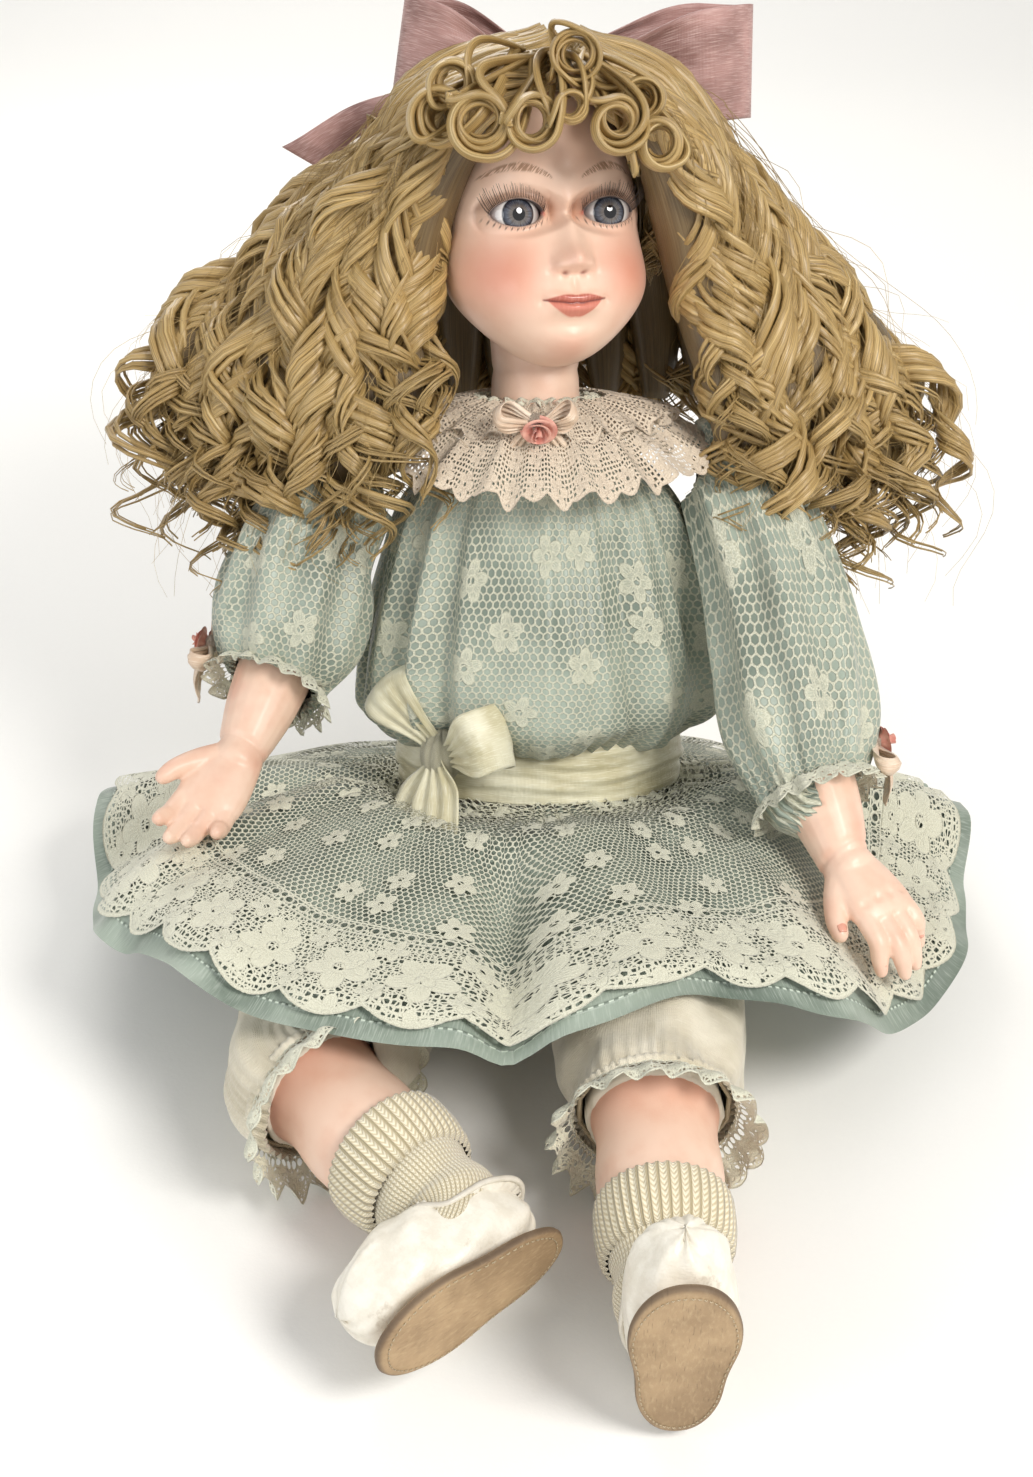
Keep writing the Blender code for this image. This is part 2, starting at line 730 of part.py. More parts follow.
LOCKS = {
    "hair_right_front": (
        (-0.073, 0.050, 0.298, 0.015),
        (-0.083, 0.038, 0.272, 0.023),
        (-0.082, 0.020, 0.240, 0.025),
        (-0.072, 0.002, 0.213, 0.021),
        (-0.060, -0.014, 0.194, 0.012),
    ),
    "hair_right_side": (
        (-0.068, 0.090, 0.314, 0.018),
        (-0.104, 0.092, 0.290, 0.029),
        (-0.130, 0.084, 0.252, 0.032),
        (-0.136, 0.066, 0.216, 0.026),
        (-0.130, 0.050, 0.196, 0.014),
    ),
    "hair_left_front": (
        (0.064, 0.058, 0.296, 0.014),
        (0.082, 0.044, 0.262, 0.022),
        (0.094, 0.026, 0.230, 0.023),
        (0.100, 0.012, 0.200, 0.018),
        (0.104, 0.004, 0.186, 0.010),
    ),
    "hair_left_side": (
        (0.064, 0.098, 0.312, 0.018),
        (0.106, 0.098, 0.284, 0.030),
        (0.136, 0.084, 0.246, 0.031),
        (0.142, 0.062, 0.206, 0.024),
        (0.140, 0.052, 0.186, 0.014),
    ),
    "hair_back": (
        (0.0, 0.136, 0.226, 0.020),
        (0.0, 0.142, 0.204, 0.030),
        (0.0, 0.140, 0.172, 0.030),
        (0.0, 0.132, 0.142, 0.018),
    ),
}


def make_locks():
    """Long ringlets, massed, lying on the shoulders."""
    for name, stations in LOCKS.items():
        place(tube(name, stations, 1, 10), IN_PLACE, "torso", "hair")


def bow(name, loop, knot, droop, matrix, segments=10):
    """Two loops and a knot: X is the bow's width and -Y its front."""
    centre = ball(name, knot, Vector(), 8, 6, matrix=matrix)
    for sign in (-1, 1):
        tilt = Matrix.Rotation(sign * droop, 4, "Y")
        wing = ball(
            f"{name}_loop_{sign}",
            loop,
            Vector((sign * (loop.x + knot.x * 0.3), 0, 0)),
            segments,
            6,
            matrix=matrix @ tilt,
        )
        join(centre, wing)
    return centre


def make_hair_bow():
    at = Matrix.Translation((-0.004, 0.134, 0.313)) @ Matrix.Rotation(math.radians(-25), 4, "X")
    ribbon = bow("hair_bow", Vector((0.034, 0.010, 0.019)), Vector((0.010, 0.012, 0.012)), 0.12, at)
    make_room(ribbon, [bpy.data.objects["hair_crown"]])
    place(ribbon, at, "head", "mauve_satin")


# ---------------------------------------------------------------- dress
def make_bodice():
    high = WAIST_LOW + SASH_HEIGHT
    stations = (
        (WAIST_LOW - 0.002, WAIST_HALF_WIDTH, WAIST_HALF_DEPTH, 0.0),
        (high + GAP, WAIST_HALF_WIDTH, WAIST_HALF_DEPTH, 0.0),
        (high + 0.006, BODICE_HALF_WIDTH - 0.003, BODICE_HALF_DEPTH - 0.003, 0.0),
        (high + 0.018, BODICE_HALF_WIDTH, BODICE_HALF_DEPTH, 0.0),
        (high + 0.042, BODICE_HALF_WIDTH - 0.001, BODICE_HALF_DEPTH - 0.002, 0.0),
        (high + 0.070, BODICE_HALF_WIDTH - 0.006, BODICE_HALF_DEPTH - 0.008, 0.001),
        (high + 0.094, BODICE_HALF_WIDTH - 0.014, BODICE_HALF_DEPTH - 0.013, 0.001),
        (high + 0.108, BODICE_HALF_WIDTH - 0.026, BODICE_HALF_DEPTH - 0.017, 0.0),
        (high + 0.117, SOCKET_RIM + 0.009, SOCKET_RIM + 0.0055, -0.002),
    )
    bodice = sheet("bodice", section_shape(stations, 1), 24, 8, CLOTH, TORSO)
    cut(bodice, *shoulder_balls(SHOULDER_BALL + SWING_GAP))
    return place(bodice, TORSO, "torso", "mint_satin")


def make_sash():
    wide, deep = WAIST_HALF_WIDTH + CLOTH + SEAM_GAP, WAIST_HALF_DEPTH + CLOTH + SEAM_GAP
    stations = (
        (WAIST_LOW, wide, deep, 0.0),
        (WAIST_LOW + SASH_HEIGHT / 2, wide - 0.0004, deep - 0.0004, 0.0),
        (WAIST_LOW + SASH_HEIGHT, wide, deep, 0.0),
    )
    sash = sheet("sash", section_shape(stations, 1), 24, 2, CLOTH, TORSO, outwards=1.0)
    place(sash, TORSO, "torso", "cream_satin")

    front = -(deep + 0.012)
    at = TORSO @ Matrix.Translation((-0.040, front + 0.007, WAIST_LOW + SASH_HEIGHT * 0.90))
    at = at @ Matrix.Rotation(math.radians(-38), 4, "Z")
    ribbon = bow("sash_bow", Vector((0.020, 0.008, 0.015)), Vector((0.007, 0.008, 0.009)), 0.2, at)
    make_room(ribbon, [bpy.data.objects["sash"], bpy.data.objects["bodice"]])
    place(ribbon, at, "torso", "cream_satin")


def make_collar():
    inner_wide, inner_deep = SOCKET_RIM + 0.0035, SOCKET_RIM + 0.0030

    def shape(turn, run):
        angle = 2 * math.pi * turn
        across, back = math.cos(angle), math.sin(angle)
        wide = inner_wide + (0.0645 - inner_wide) * run
        deep = inner_deep + (0.056 - inner_deep) * run
        edge = 0.166 if back < 0 else 0.163
        outer = 0.1885 * across**2 + edge * back**2
        height = 0.1905 + (outer - 0.1905) * run**1.6
        return Vector((wide * across, deep * back - 0.0045 * (1 - run), height))

    collar = sheet("collar", shape, 24, 4, CLOTH, TORSO, outwards=0.0)
    place(collar, TORSO, "torso", "eyelet")

    at = NECK @ Matrix.Translation((0, 0, 0.0072))
    place(ring("neck_trim", NECK_RADIUS + 0.0042, 0.0022, at, 16, 6), at, "torso", "lace")

    at = TORSO @ Matrix.Translation((-0.002, -0.0475, 0.1915)) @ Matrix.Rotation(math.radians(35), 4, "X")
    ribbon = bow("neck_bow", Vector((0.0085, 0.0035, 0.0055)), Vector((0.003, 0.0035, 0.0035)), 0.25, at)
    join(ribbon, ball("neck_rosebud", Vector((0.0055,) * 3), Vector((0.001, -0.0055, -0.001)), 8, 6, matrix=at))
    place(ribbon, at, "torso", "cream_satin")


LAP_HALF_WIDTHS = {
    side: abs(leg["knee"].x) + PANTALOON_RADIUS + 0.005 for side, leg in LEGS.items()
}


def skirt_point(turn, run):
    """A full skirt from the waist, over the lap in front and down to the ground behind."""
    angle = 2 * math.pi * turn
    across, back = math.cos(angle), math.sin(angle)
    waist = TORSO @ Vector(
        ((WAIST_HALF_WIDTH + CLOTH) * across, (WAIST_HALF_DEPTH + CLOTH) * back, WAIST_LOW - 0.0050)
    )
    square = 0.80
    fold = math.cos(SKIRT_FOLDS * angle)
    wave = 1 + 0.012 * fold
    deep = SKIRT_BACK if back > 0 else SKIRT_FRONT
    hem = Vector(
        (
            SKIRT_HALF_WIDTH * math.copysign(abs(across) ** square, across) * wave,
            deep * math.copysign(abs(back) ** square, back) * wave,
            0,
        )
    )
    ahead = eased((-hem.y - 0.030) / 0.070)
    behind = eased(hem.y / 0.08)
    rest = SIDE_HEM_HEIGHT + (BACK_HEM_HEIGHT - SIDE_HEM_HEIGHT) * behind
    hem.z = rest + 0.0012 * (1 + fold)
    point = waist.lerp(hem, run)
    thighs_end = LAP_HALF_WIDTHS["left" if point.x > 0 else "right"]
    beside = eased((abs(point.x) - thighs_end) / 0.070)
    lap = LAP_HEIGHT - (LAP_HEIGHT - SIDE_HEM_HEIGHT) * beside + 0.0012 * (1 + fold)
    full = 0.006 * math.sin(math.pi * run)
    flat = max(lap - point.z, 0) * eased(run / 0.28)
    point.z += ahead * flat + full * (1 - ahead)
    return point


def skirt_shape(lift, reach):
    """The skirt's surface, lifted off itself by a distance, and cut short or run on."""
    step = 0.004

    def shape(turn, run):
        run *= reach
        here = skirt_point(turn, run)
        round_it = skirt_point(turn + step, run) - skirt_point(turn - step, run)
        down_it = skirt_point(turn, run + step) - skirt_point(turn, run - step)
        return here + down_it.cross(round_it).normalized() * lift

    return shape


def make_skirt():
    lining = sheet("skirt_lining", skirt_shape(0.0, 1.0), 33, 6, CLOTH, outwards=0.0)
    lace = sheet("skirt_lace", skirt_shape(LACE_LIFT, 0.96), 33, 6, CLOTH, outwards=0.0)
    for cloth, kind in ((lining, "mint_satin"), (lace, "lace")):
        place(cloth, IN_PLACE, "torso", kind)


# ---------------------------------------------------------------- arms
def forearm_stations(arm, grow=0.0):
    elbow, wrist = arm["elbow"], arm["wrist"]
    palm_in = wrist.lerp(arm["tips"], 0.16)
    return (
        (*elbow, FOREARM_RADIUS - 0.003 + grow),
        (*elbow.lerp(wrist, 0.30), FOREARM_RADIUS + grow),
        (*elbow.lerp(wrist, 0.65), FOREARM_RADIUS - 0.001 + grow),
        (*wrist, WRIST_RADIUS + grow),
        (*palm_in, WRIST_RADIUS + grow),
    )


def make_forearm(side, arm):
    wrist, tips = arm["wrist"], arm["tips"]
    hand = frame_along(wrist, tips - wrist, arm["palm"])
    across = hand.to_3x3() @ Vector((0, 1, 0))
    thumb_side = math.copysign(1, across.dot(arm["thumb"]))
    length = (tips - wrist).length
    forearm = tube(f"forearm_{side}", forearm_stations(arm), 1, 10)
    palm = ball(
        f"palm_{side}", Vector((0.0075, 0.0135, length * 0.36)), Vector((0, 0, length * 0.36)), 10, 8, matrix=hand
    )
    join(forearm, palm)
    for number, (offset, reach) in enumerate(((0.0088, 0.92), (0.0032, 1.0), (-0.0030, 0.97), (-0.0092, 0.84))):
        sideways = offset * thumb_side
        finger = tube(
            f"finger_{side}_{number}",
            (
                (0.000, sideways * 0.8, length * 0.50, 0.0042),
                (0.001, sideways * 1.05, length * 0.78 * reach, 0.0038),
                (0.004, sideways * 1.15, length * reach, 0.0030),
            ),
            1,
            6,
            matrix=hand,
        )
        join(forearm, finger)
    thumb = tube(
        f"thumb_{side}",
        (
            (0.001, thumb_side * 0.006, length * 0.22, 0.0050),
            (0.004, thumb_side * 0.0155, length * 0.40, 0.0044),
            (0.006, thumb_side * 0.0205, length * 0.58, 0.0034),
        ),
        1,
        8,
        matrix=hand,
    )
    join(forearm, thumb)
    return place(forearm, IN_PLACE, f"arm_{side}", "bisque")


def make_arm(side, sign):
    arm = ARMS[side]
    body = f"arm_{side}"
    shoulder = mirrored(SHOULDER, sign)
    elbow, cuff, wrist = arm["elbow"], arm["cuff"], arm["wrist"]
    forearm = make_forearm(side, arm)

    outward = Vector((sign, 0, 0))
    bend = shoulder.lerp(elbow, 0.45) + outward * 0.012
    wrap = elbow.lerp(wrist, 0.12)
    upper = tube(
        f"upper_arm_{side}",
        (
            (*(shoulder + outward * 0.004), UPPER_ARM_RADIUS - 0.001),
            (*(shoulder + outward * 0.016 + Vector((0, 0, -0.004))), UPPER_ARM_RADIUS),
            (*bend, UPPER_ARM_RADIUS + 0.001),
            (*elbow, FOREARM_RADIUS - 0.0018 + CLOTH),
            (*wrap, FOREARM_RADIUS - 0.0008 + CLOTH),
        ),
        1,
        10,
    )
    make_room(upper, [forearm], GAP)
    place(upper, IN_PLACE, body, "calico")

    tie_at = frame_along(elbow.lerp(wrist, 0.06), wrist - elbow, Vector((0, 0, 1)))
    tie = ring(f"arm_tie_{side}", FOREARM_RADIUS + CLOTH + TIE_THICKNESS, TIE_THICKNESS, tie_at, 14, 6)
    make_room(tie, [upper], 0.0003)
    place(tie, tie_at, body, "thread")

    sleeve_stations = (
        (*(shoulder + outward * 0.0032), SHOULDER_BALL - 0.0008),
        (*(shoulder + Vector((sign * 0.0170, -0.002, -0.003))), SHOULDER_BALL + 0.0015),
        (*(shoulder.lerp(cuff, 0.40) + outward * 0.0140), SLEEVE_RADIUS - 0.0045),
        (*(shoulder.lerp(cuff, 0.66) + outward * 0.0080), SLEEVE_RADIUS),
        (*(shoulder.lerp(cuff, 0.86) + outward * 0.0030), SLEEVE_RADIUS - 0.0015),
        (*cuff, CUFF_RADIUS),
    )
    sleeve = tube(f"sleeve_{side}", sleeve_stations, 1, 14, wall=CLOTH)
    place(sleeve, IN_PLACE, body, "mint_satin")

    along = (wrist - cuff).normalized()
    at = frame_along(cuff, along, Vector((0, 0, 1)))
    start, end = GAP * 2, 0.0085
    outer, flare = CUFF_RADIUS - 0.0010, 0.0035
    profile = [
        (outer, start),
        (outer - CLOTH, start),
        (outer - CLOTH + flare, end),
        (outer + flare, end),
    ]
    trim = turned(f"cuff_trim_{side}", profile, 16, at)
    make_room(trim, [sleeve], GAP)
    place(trim, at, body, "lace")

    aside = (outward - along * outward.dot(along)).normalized()
    knot = frame_along(cuff - along * 0.006 + aside * (SLEEVE_RADIUS + 0.0048), along, aside)
    knot = knot @ Matrix.Rotation(math.pi / 2, 4, "Z") @ Matrix.Rotation(math.pi / 2, 4, "Y")
    ribbon = bow(f"cuff_bow_{side}", Vector((0.0090, 0.0028, 0.0050)), Vector((0.003, 0.003, 0.003)), 0.2, knot)
    bud_at = Matrix.Translation(aside * 0.0050) @ knot
    join(ribbon, ball(f"cuff_rosebud_{side}", Vector((0.0048,) * 3), Vector(), 8, 6, matrix=bud_at))
    make_room(ribbon, [sleeve, trim], GAP)
    place(ribbon, knot, body, "cream_satin")


# ---------------------------------------------------------------- legs
def foot_frame(leg):
    """Origin at the ankle, +X to the toe, +Z up the shin."""
    shin = (leg["knee"] - leg["ankle"]).normalized()
    toe = (leg["toe"] - shin * leg["toe"].dot(shin)).normalized()
    return basis(toe, shin.cross(toe), shin, leg["ankle"])


def foot_shape(grow):
    """Maps unit directions to a foot with a flat underside: long in +X, swollen by a clearance."""
    half_length = SHOE_LENGTH / 2 - SOCK - LEATHER - 3 * GAP - 0.001
    half_width = SHOE_WIDTH / 2 - SOCK - LEATHER - 3 * GAP - 0.001
    middle = SHOE_LENGTH / 2 - HEEL_BACK

    def shape(way):
        forward = 0.5 + 0.5 * way.x
        instep = 1.0 - 0.42 * eased(forward)
        lift = 0.020 * instep if way.z > 0 else FOOT_HEIGHT * 0.80
        flat = math.copysign(abs(way.z) ** 0.6, way.z) if way.z < 0 else way.z
        return Vector(
            (
                middle + (half_length + grow) * way.x,
                (half_width * (0.86 + 0.14 * eased(forward)) + grow) * way.y,
                (lift + grow) * flat - 0.006,
            )
        )

    return shape


def leg_stations(leg, grow=0.0):
    knee, ankle = leg["knee"], leg["ankle"]
    return (
        (*knee, KNEE_RADIUS - 0.003 + grow),
        (*knee.lerp(ankle, 0.25), KNEE_RADIUS + grow),
        (*knee.lerp(ankle, 0.65), (KNEE_RADIUS + ANKLE_RADIUS) / 2 + grow),
        (*ankle, ANKLE_RADIUS + grow),
        (*(ankle + (ankle - knee).normalized() * 0.010), ANKLE_RADIUS - 0.007 + grow),
    )


def leg_form(name, leg, grow, frame):
    """A shin with its foot, swollen by a clearance."""
    shin = tube(name, leg_stations(leg, grow), 1, 12)
    foot = ball(name + "_foot", None, segments=12, rings=8, shape=foot_shape(grow), matrix=frame)
    return join(shin, foot)


def make_leg(side, sign):
    leg = LEGS[side]
    body = f"leg_{side}"
    hip = mirrored(HIP, sign)
    knee, ankle = leg["knee"], leg["ankle"]
    foot = foot_frame(leg)

    lower = place(leg_form(f"lower_leg_{side}", leg, 0.0, foot), IN_PLACE, body, "bisque")

    thigh_way = (knee - hip).normalized()
    thigh = tube(
        f"thigh_{side}",
        (
            (*(hip + thigh_way * 0.010), THIGH_RADIUS - 0.003),
            (*hip.lerp(knee, 0.35), THIGH_RADIUS),
            (*hip.lerp(knee, 0.75), THIGH_RADIUS + 0.001),
            (*knee, KNEE_RADIUS + CLOTH + 0.0002),
            (*knee.lerp(ankle, 0.14), KNEE_RADIUS + CLOTH + 0.0012),
        ),
        1,
        12,
    )
    join(thigh, ball(f"thigh_root_{side}", Vector((HIP_BALL,) * 3), Vector(), 12, 8, matrix=Matrix.Translation(hip)))
    make_room(thigh, [lower], GAP)
    place(thigh, IN_PLACE, body, "calico")

    tie_at = frame_along(knee.lerp(ankle, 0.08), ankle - knee, Vector((0, 0, 1)))
    tie = ring(f"leg_tie_{side}", KNEE_RADIUS + CLOTH + TIE_THICKNESS + 0.0020, TIE_THICKNESS, tie_at, 14, 6)
    make_room(tie, [thigh], 0.0003)
    place(tie, tie_at, body, "thread")

    hem = knee.lerp(ankle, 0.14)
    start = hip + thigh_way * 0.029
    pantaloon = tube(
        f"pantaloon_{side}",
        (
            (*start, PANTALOON_RADIUS - 0.007),
            (*hip.lerp(knee, 0.42), PANTALOON_RADIUS),
            (*hip.lerp(knee, 0.75), PANTALOON_RADIUS),
            (*hip.lerp(knee, 0.93), PANTALOON_RADIUS - 0.0035),
            (*hem, PANTALOON_RADIUS - 0.006),
        ),
        1,
        16,
        wall=CLOTH,
    )
    place(pantaloon, IN_PLACE, body, "cotton")
    at = frame_along(hem, (hem - hip.lerp(knee, 0.93)), Vector((0, 0, 1)))
    near, far, edge = GAP * 2, 0.013, PANTALOON_RADIUS - 0.0065
    flare = 0.0045
    profile = [(edge, near), (edge - CLOTH, near), (edge - CLOTH + flare, far), (edge + flare, far)]
    lace = turned(f"pantaloon_lace_{side}", profile, 20, at)
    make_room(lace, [lower, pantaloon], GAP)
    place(lace, at, body, "lace")

    make_sock_and_shoe(side, leg, body, foot)


def make_sock_and_shoe(side, leg, body, foot):
    knee, ankle = leg["knee"], leg["ankle"]
    shin_length = (knee - ankle).length
    sock_top = shin_length * 0.42
    inner, outer = GAP, GAP + SOCK
    sock = leg_form(f"sock_{side}", leg, outer, foot)
    low, high = sock_top - 0.014, sock_top + 0.002
    at_top = ANKLE_RADIUS + (KNEE_RADIUS - ANKLE_RADIUS) * sock_top / shin_length + outer
    fold = [(0, high), (at_top + 0.0016, high), (at_top + 0.0026, low), (0, low)]
    join(sock, turned(f"sock_cuff_{side}", fold, 16, foot))
    cut(sock, box(f"sock_end_{side}", (-0.1, -0.1, sock_top), (0.1, 0.1, 0.2), foot))
    cut(sock, leg_form(f"sock_room_{side}", leg, inner, foot))
    place(sock, IN_PLACE, body, "knit")

    shoe_inner, shoe_outer = outer + GAP, outer + GAP + LEATHER
    upper = ball(f"shoe_upper_{side}", None, segments=12, rings=8, shape=foot_shape(shoe_outer), matrix=foot)
    cut(upper, leg_form(f"shoe_mouth_{side}", leg, shoe_inner, foot))
    opening = Vector((0.026, 0.030, 0.018))
    cut(upper, ball(f"shoe_opening_{side}", opening, Vector((0.002, 0, 0.014)), 12, 8, matrix=foot))
    sole_top = -FOOT_HEIGHT * 0.80 - 0.006 - shoe_outer - GAP
    place(upper, foot, body, "white_leather")

    outline = bpy.data.curves.new(f"shoe_sole_{side}", "CURVE")
    outline.dimensions = "2D"
    outline.fill_mode = "BOTH"
    outline.extrude = SOLE_THICKNESS / 2
    outline.resolution_u = 6
    spline = outline.splines.new("BEZIER")
    half = SHOE_WIDTH / 2
    heel, toe = -HEEL_BACK, SHOE_LENGTH - HEEL_BACK
    corners = (
        (heel, 0, 0, 0.72),
        (heel + SHOE_LENGTH * 0.28, -half * 0.80, 1, 0.9),
        (heel + SHOE_LENGTH * 0.68, -half, 1, 0.9),
        (toe, 0, 2, 1.0),
        (heel + SHOE_LENGTH * 0.68, half, 3, 0.9),
        (heel + SHOE_LENGTH * 0.28, half * 0.80, 3, 0.9),
    )
    ways = (Vector((0, -1, 0)), Vector((1, 0, 0)), Vector((0, 1, 0)), Vector((-1, 0, 0)))
    spline.bezier_points.add(len(corners) - 1)
    for point, (x, y, way, pull) in zip(spline.bezier_points, corners):
        reach = ways[way] * half * 0.62 * pull
        point.co = (x, y, 0)
        point.handle_left = point.co - reach
        point.handle_right = point.co + reach
    spline.use_cyclic_u = True
    lying = bpy.data.objects.new("sole_outline", outline)
    bpy.context.scene.collection.objects.link(lying)
    graph = bpy.context.evaluated_depsgraph_get()
    graph.update()
    mesh = bpy.data.meshes.new_from_object(lying.evaluated_get(graph))
    bpy.data.objects.remove(lying)
    form = bmesh.new()
    form.from_mesh(mesh)
    bmesh.ops.remove_doubles(form, verts=form.verts, dist=0.00001)
    bmesh.ops.recalc_face_normals(form, faces=form.faces)
    form.to_mesh(mesh)
    form.free()
    at = foot @ Matrix.Translation((0, 0, sole_top - SOLE_THICKNESS / 2))
    sole = helper(f"shoe_sole_{side}", mesh, at)
    place(sole, at, body, "sole_leather")


# ---------------------------------------------------------------- the doll
def make_doll():
    make_torso()
    make_shoulder_plate()
    make_neck_hardware()
    make_head()
    make_eyes()
    make_wig()
    make_hair_bow()
    make_bodice()
    make_sash()
    make_collar()
    for side, sign in SIDES.items():
        make_arm(side, sign)
        make_leg(side, sign)
    make_skirt()
    make_locks()


make_doll()
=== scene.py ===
"""The seated porcelain doll as it looks: painted bisque, ringlets, lace over satin, knit and leather."""

import math
import random

import bmesh
import bpy
import numpy as np
from mathutils import Matrix, Vector


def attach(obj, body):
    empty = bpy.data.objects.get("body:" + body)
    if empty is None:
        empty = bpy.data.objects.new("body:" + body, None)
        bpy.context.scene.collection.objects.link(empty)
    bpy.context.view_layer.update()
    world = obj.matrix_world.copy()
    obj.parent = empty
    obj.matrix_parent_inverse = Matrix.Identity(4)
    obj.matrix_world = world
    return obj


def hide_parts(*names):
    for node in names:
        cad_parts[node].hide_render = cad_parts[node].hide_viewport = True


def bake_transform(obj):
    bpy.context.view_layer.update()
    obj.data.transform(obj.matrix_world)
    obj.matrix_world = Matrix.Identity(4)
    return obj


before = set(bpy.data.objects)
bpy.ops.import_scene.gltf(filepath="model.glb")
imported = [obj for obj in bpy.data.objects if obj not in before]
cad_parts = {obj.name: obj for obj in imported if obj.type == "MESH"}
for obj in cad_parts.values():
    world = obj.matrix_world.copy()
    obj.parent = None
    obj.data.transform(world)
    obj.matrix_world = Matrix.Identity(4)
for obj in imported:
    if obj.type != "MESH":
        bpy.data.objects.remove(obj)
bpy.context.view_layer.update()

# Body
LEAN = math.radians(18)
SPINE_FOOT = Vector((0.0, 0.0, 0.026))
WAIST_HALF_WIDTH = 0.0565
WAIST_HALF_DEPTH = 0.0370
WAIST_LOW = 0.032
SASH_HEIGHT = 0.028

# Head
NECK_FOOT = Vector((-0.002, 0.052, 0.203))
NECK_LEAN = math.radians(21)
NECK_RADIUS = 0.0185
HEAD_CENTRE = Vector((-0.0005, 0.076, 0.277))
HEAD_TURNED = math.radians(17)
HEAD_PITCHED = math.radians(23)
HEAD_TILTED = math.radians(4.5)
HEAD_HALF_WIDTH = 0.0385
HEAD_FRONT = 0.041
HEAD_BACK = 0.046
HEAD_UP = 0.060
HEAD_DOWN = 0.055
CHIN_FORWARD = 0.016
EYE_RADIUS = 0.011
JOWLS = 0.14
EYE_ACROSS = 0.0182
EYE_UP = 0.003
EYE_DEPTH = -HEAD_FRONT * math.sqrt(1 - (EYE_ACROSS / HEAD_HALF_WIDTH) ** 2) + EYE_RADIUS + 0.0008
LID_HALF_WIDTH = 0.0102
UPPER_LID = 0.0057
LOWER_LID = 0.0047
LID_POWER = 1.75
MOUTH_HEIGHT = -0.0306
MOUTH_HALF_WIDTH = 0.0128
MOUTH_LIFT = 0.0012

# Arms and legs
SHOULDER = Vector((0.0635, 0.047, 0.183))
FOREARM_RADIUS = 0.0155
WRIST_RADIUS = 0.0105
ARMS = {
    "right": {
        "elbow": Vector((-0.1015, 0.010, 0.129)),
        "cuff": Vector((-0.1075, -0.008, 0.119)),
        "wrist": Vector((-0.1190, -0.040, 0.103)),
        "tips": Vector((-0.1410, -0.086, 0.087)),
        "palm": Vector((0.15, -0.35, 0.92)),
        "thumb": Vector((-0.90, 0.25, 0.30)),
    },
    "left": {
        "elbow": Vector((0.0995, -0.046, 0.120)),
        "cuff": Vector((0.1040, -0.063, 0.105)),
        "wrist": Vector((0.1155, -0.090, 0.087)),
        "tips": Vector((0.1410, -0.130, 0.074)),
        "palm": Vector((-0.25, 0.35, -0.90)),
        "thumb": Vector((-0.85, -0.50, 0.10)),
    },
}
HIP = Vector((0.045, -0.040, 0.0395))
KNEE_RADIUS = 0.0235
ANKLE_RADIUS = 0.0165
PANTALOON_RADIUS = 0.037
SHOE_LENGTH = 0.078
SHOE_WIDTH = 0.042
FOOT_HEIGHT = 0.020
HEEL_BACK = 0.023
SHOE_MOUTH_AT = 0.001
SHOE_MOUTH_HALF_LENGTH = 0.0270
SHOE_MOUTH_HALF_WIDTH = 0.0172
KNIT_GAUGE = 0.0017
RIB_GAUGE = 0.0026
RIBS_ROUND = 44
LEGS = {
    "right": {
        "knee": Vector((-0.088, -0.156, 0.0395)),
        "ankle": Vector((-0.030, -0.228, 0.0370)),
        "toe": Vector((-0.74, -0.66, -0.06)),
    },
    "left": {
        "knee": Vector((0.040, -0.168, 0.0405)),
        "ankle": Vector((0.042, -0.262, 0.0300)),
        "toe": Vector((0.02, -0.12, 0.99)),
    },
}

# Fingers, each as (place across the palm, share of the longest, how far it spreads)
FINGERS = ((0.0094, 0.90, 0.10), (0.0033, 1.0, 0.0), (-0.0031, 0.96, -0.02), (-0.0092, 0.80, -0.14))
FINGER_CURL = {"right": 0.55, "left": 0.90}

# Skirt
SKIRT_HALF_WIDTH = 0.182
SKIRT_FRONT = 0.182
SKIRT_BACK = 0.105
LAP_HEIGHT = HIP.z + PANTALOON_RADIUS + 0.0022
SIDE_HEM_HEIGHT = 0.040
LINING_DROP = 0.168
LINING_SEAM_AT = 0.1600
SKIRT_LACE_DROP = 0.162
SKIRT_HEM_ROUND = 1.02
SKIRT_CUT_WIDTH = 0.95

# Ribbons, laces and threads
RIBBON_WALL = 0.0005
SASH_RIBBON_WIDTH = 0.028
COLLAR_DROP = 0.046
UPPER_COLLAR_DROP = 0.027
NECK_FRILL_WIDTH = 0.013
CUFF_FRILL_WIDTH = 0.016
PANTALOON_FRILL_WIDTH = 0.020
THREAD_PITCH = 0.00045
NET_HOLE = 0.0031
FLOWER_PITCH = 0.030
EYELET_REPEAT = 0.013
EYELET_ROW = 0.0115
WELD = 0.000002

SIDES = {"right": -1, "left": 1}
IN_PLACE = Matrix()
TORSO = Matrix.Translation(SPINE_FOOT) @ Matrix.Rotation(-LEAN, 4, "X")
NECK = Matrix.Translation(NECK_FOOT) @ Matrix.Rotation(-NECK_LEAN, 4, "X")
HEAD = (
    Matrix.Translation(HEAD_CENTRE)
    @ Matrix.Rotation(HEAD_TURNED, 4, "Z")
    @ Matrix.Rotation(-HEAD_PITCHED, 4, "X")
    @ Matrix.Rotation(HEAD_TILTED, 4, "Y")
)


# ---------------------------------------------------------------- making shapes
def eased(t):
    t = np.clip(t, 0.0, 1.0)
    return t * t * (3 - 2 * t)


def bump(x, centre, width):
    return np.exp(-(((x - centre) / width) ** 2))


def mirrored(point, sign):
    return Vector((sign * point.x, point.y, point.z))


def basis(x_axis, y_axis, z_axis, origin):
    turn = Matrix((x_axis, y_axis, z_axis)).transposed().to_4x4()
    return Matrix.Translation(origin) @ turn


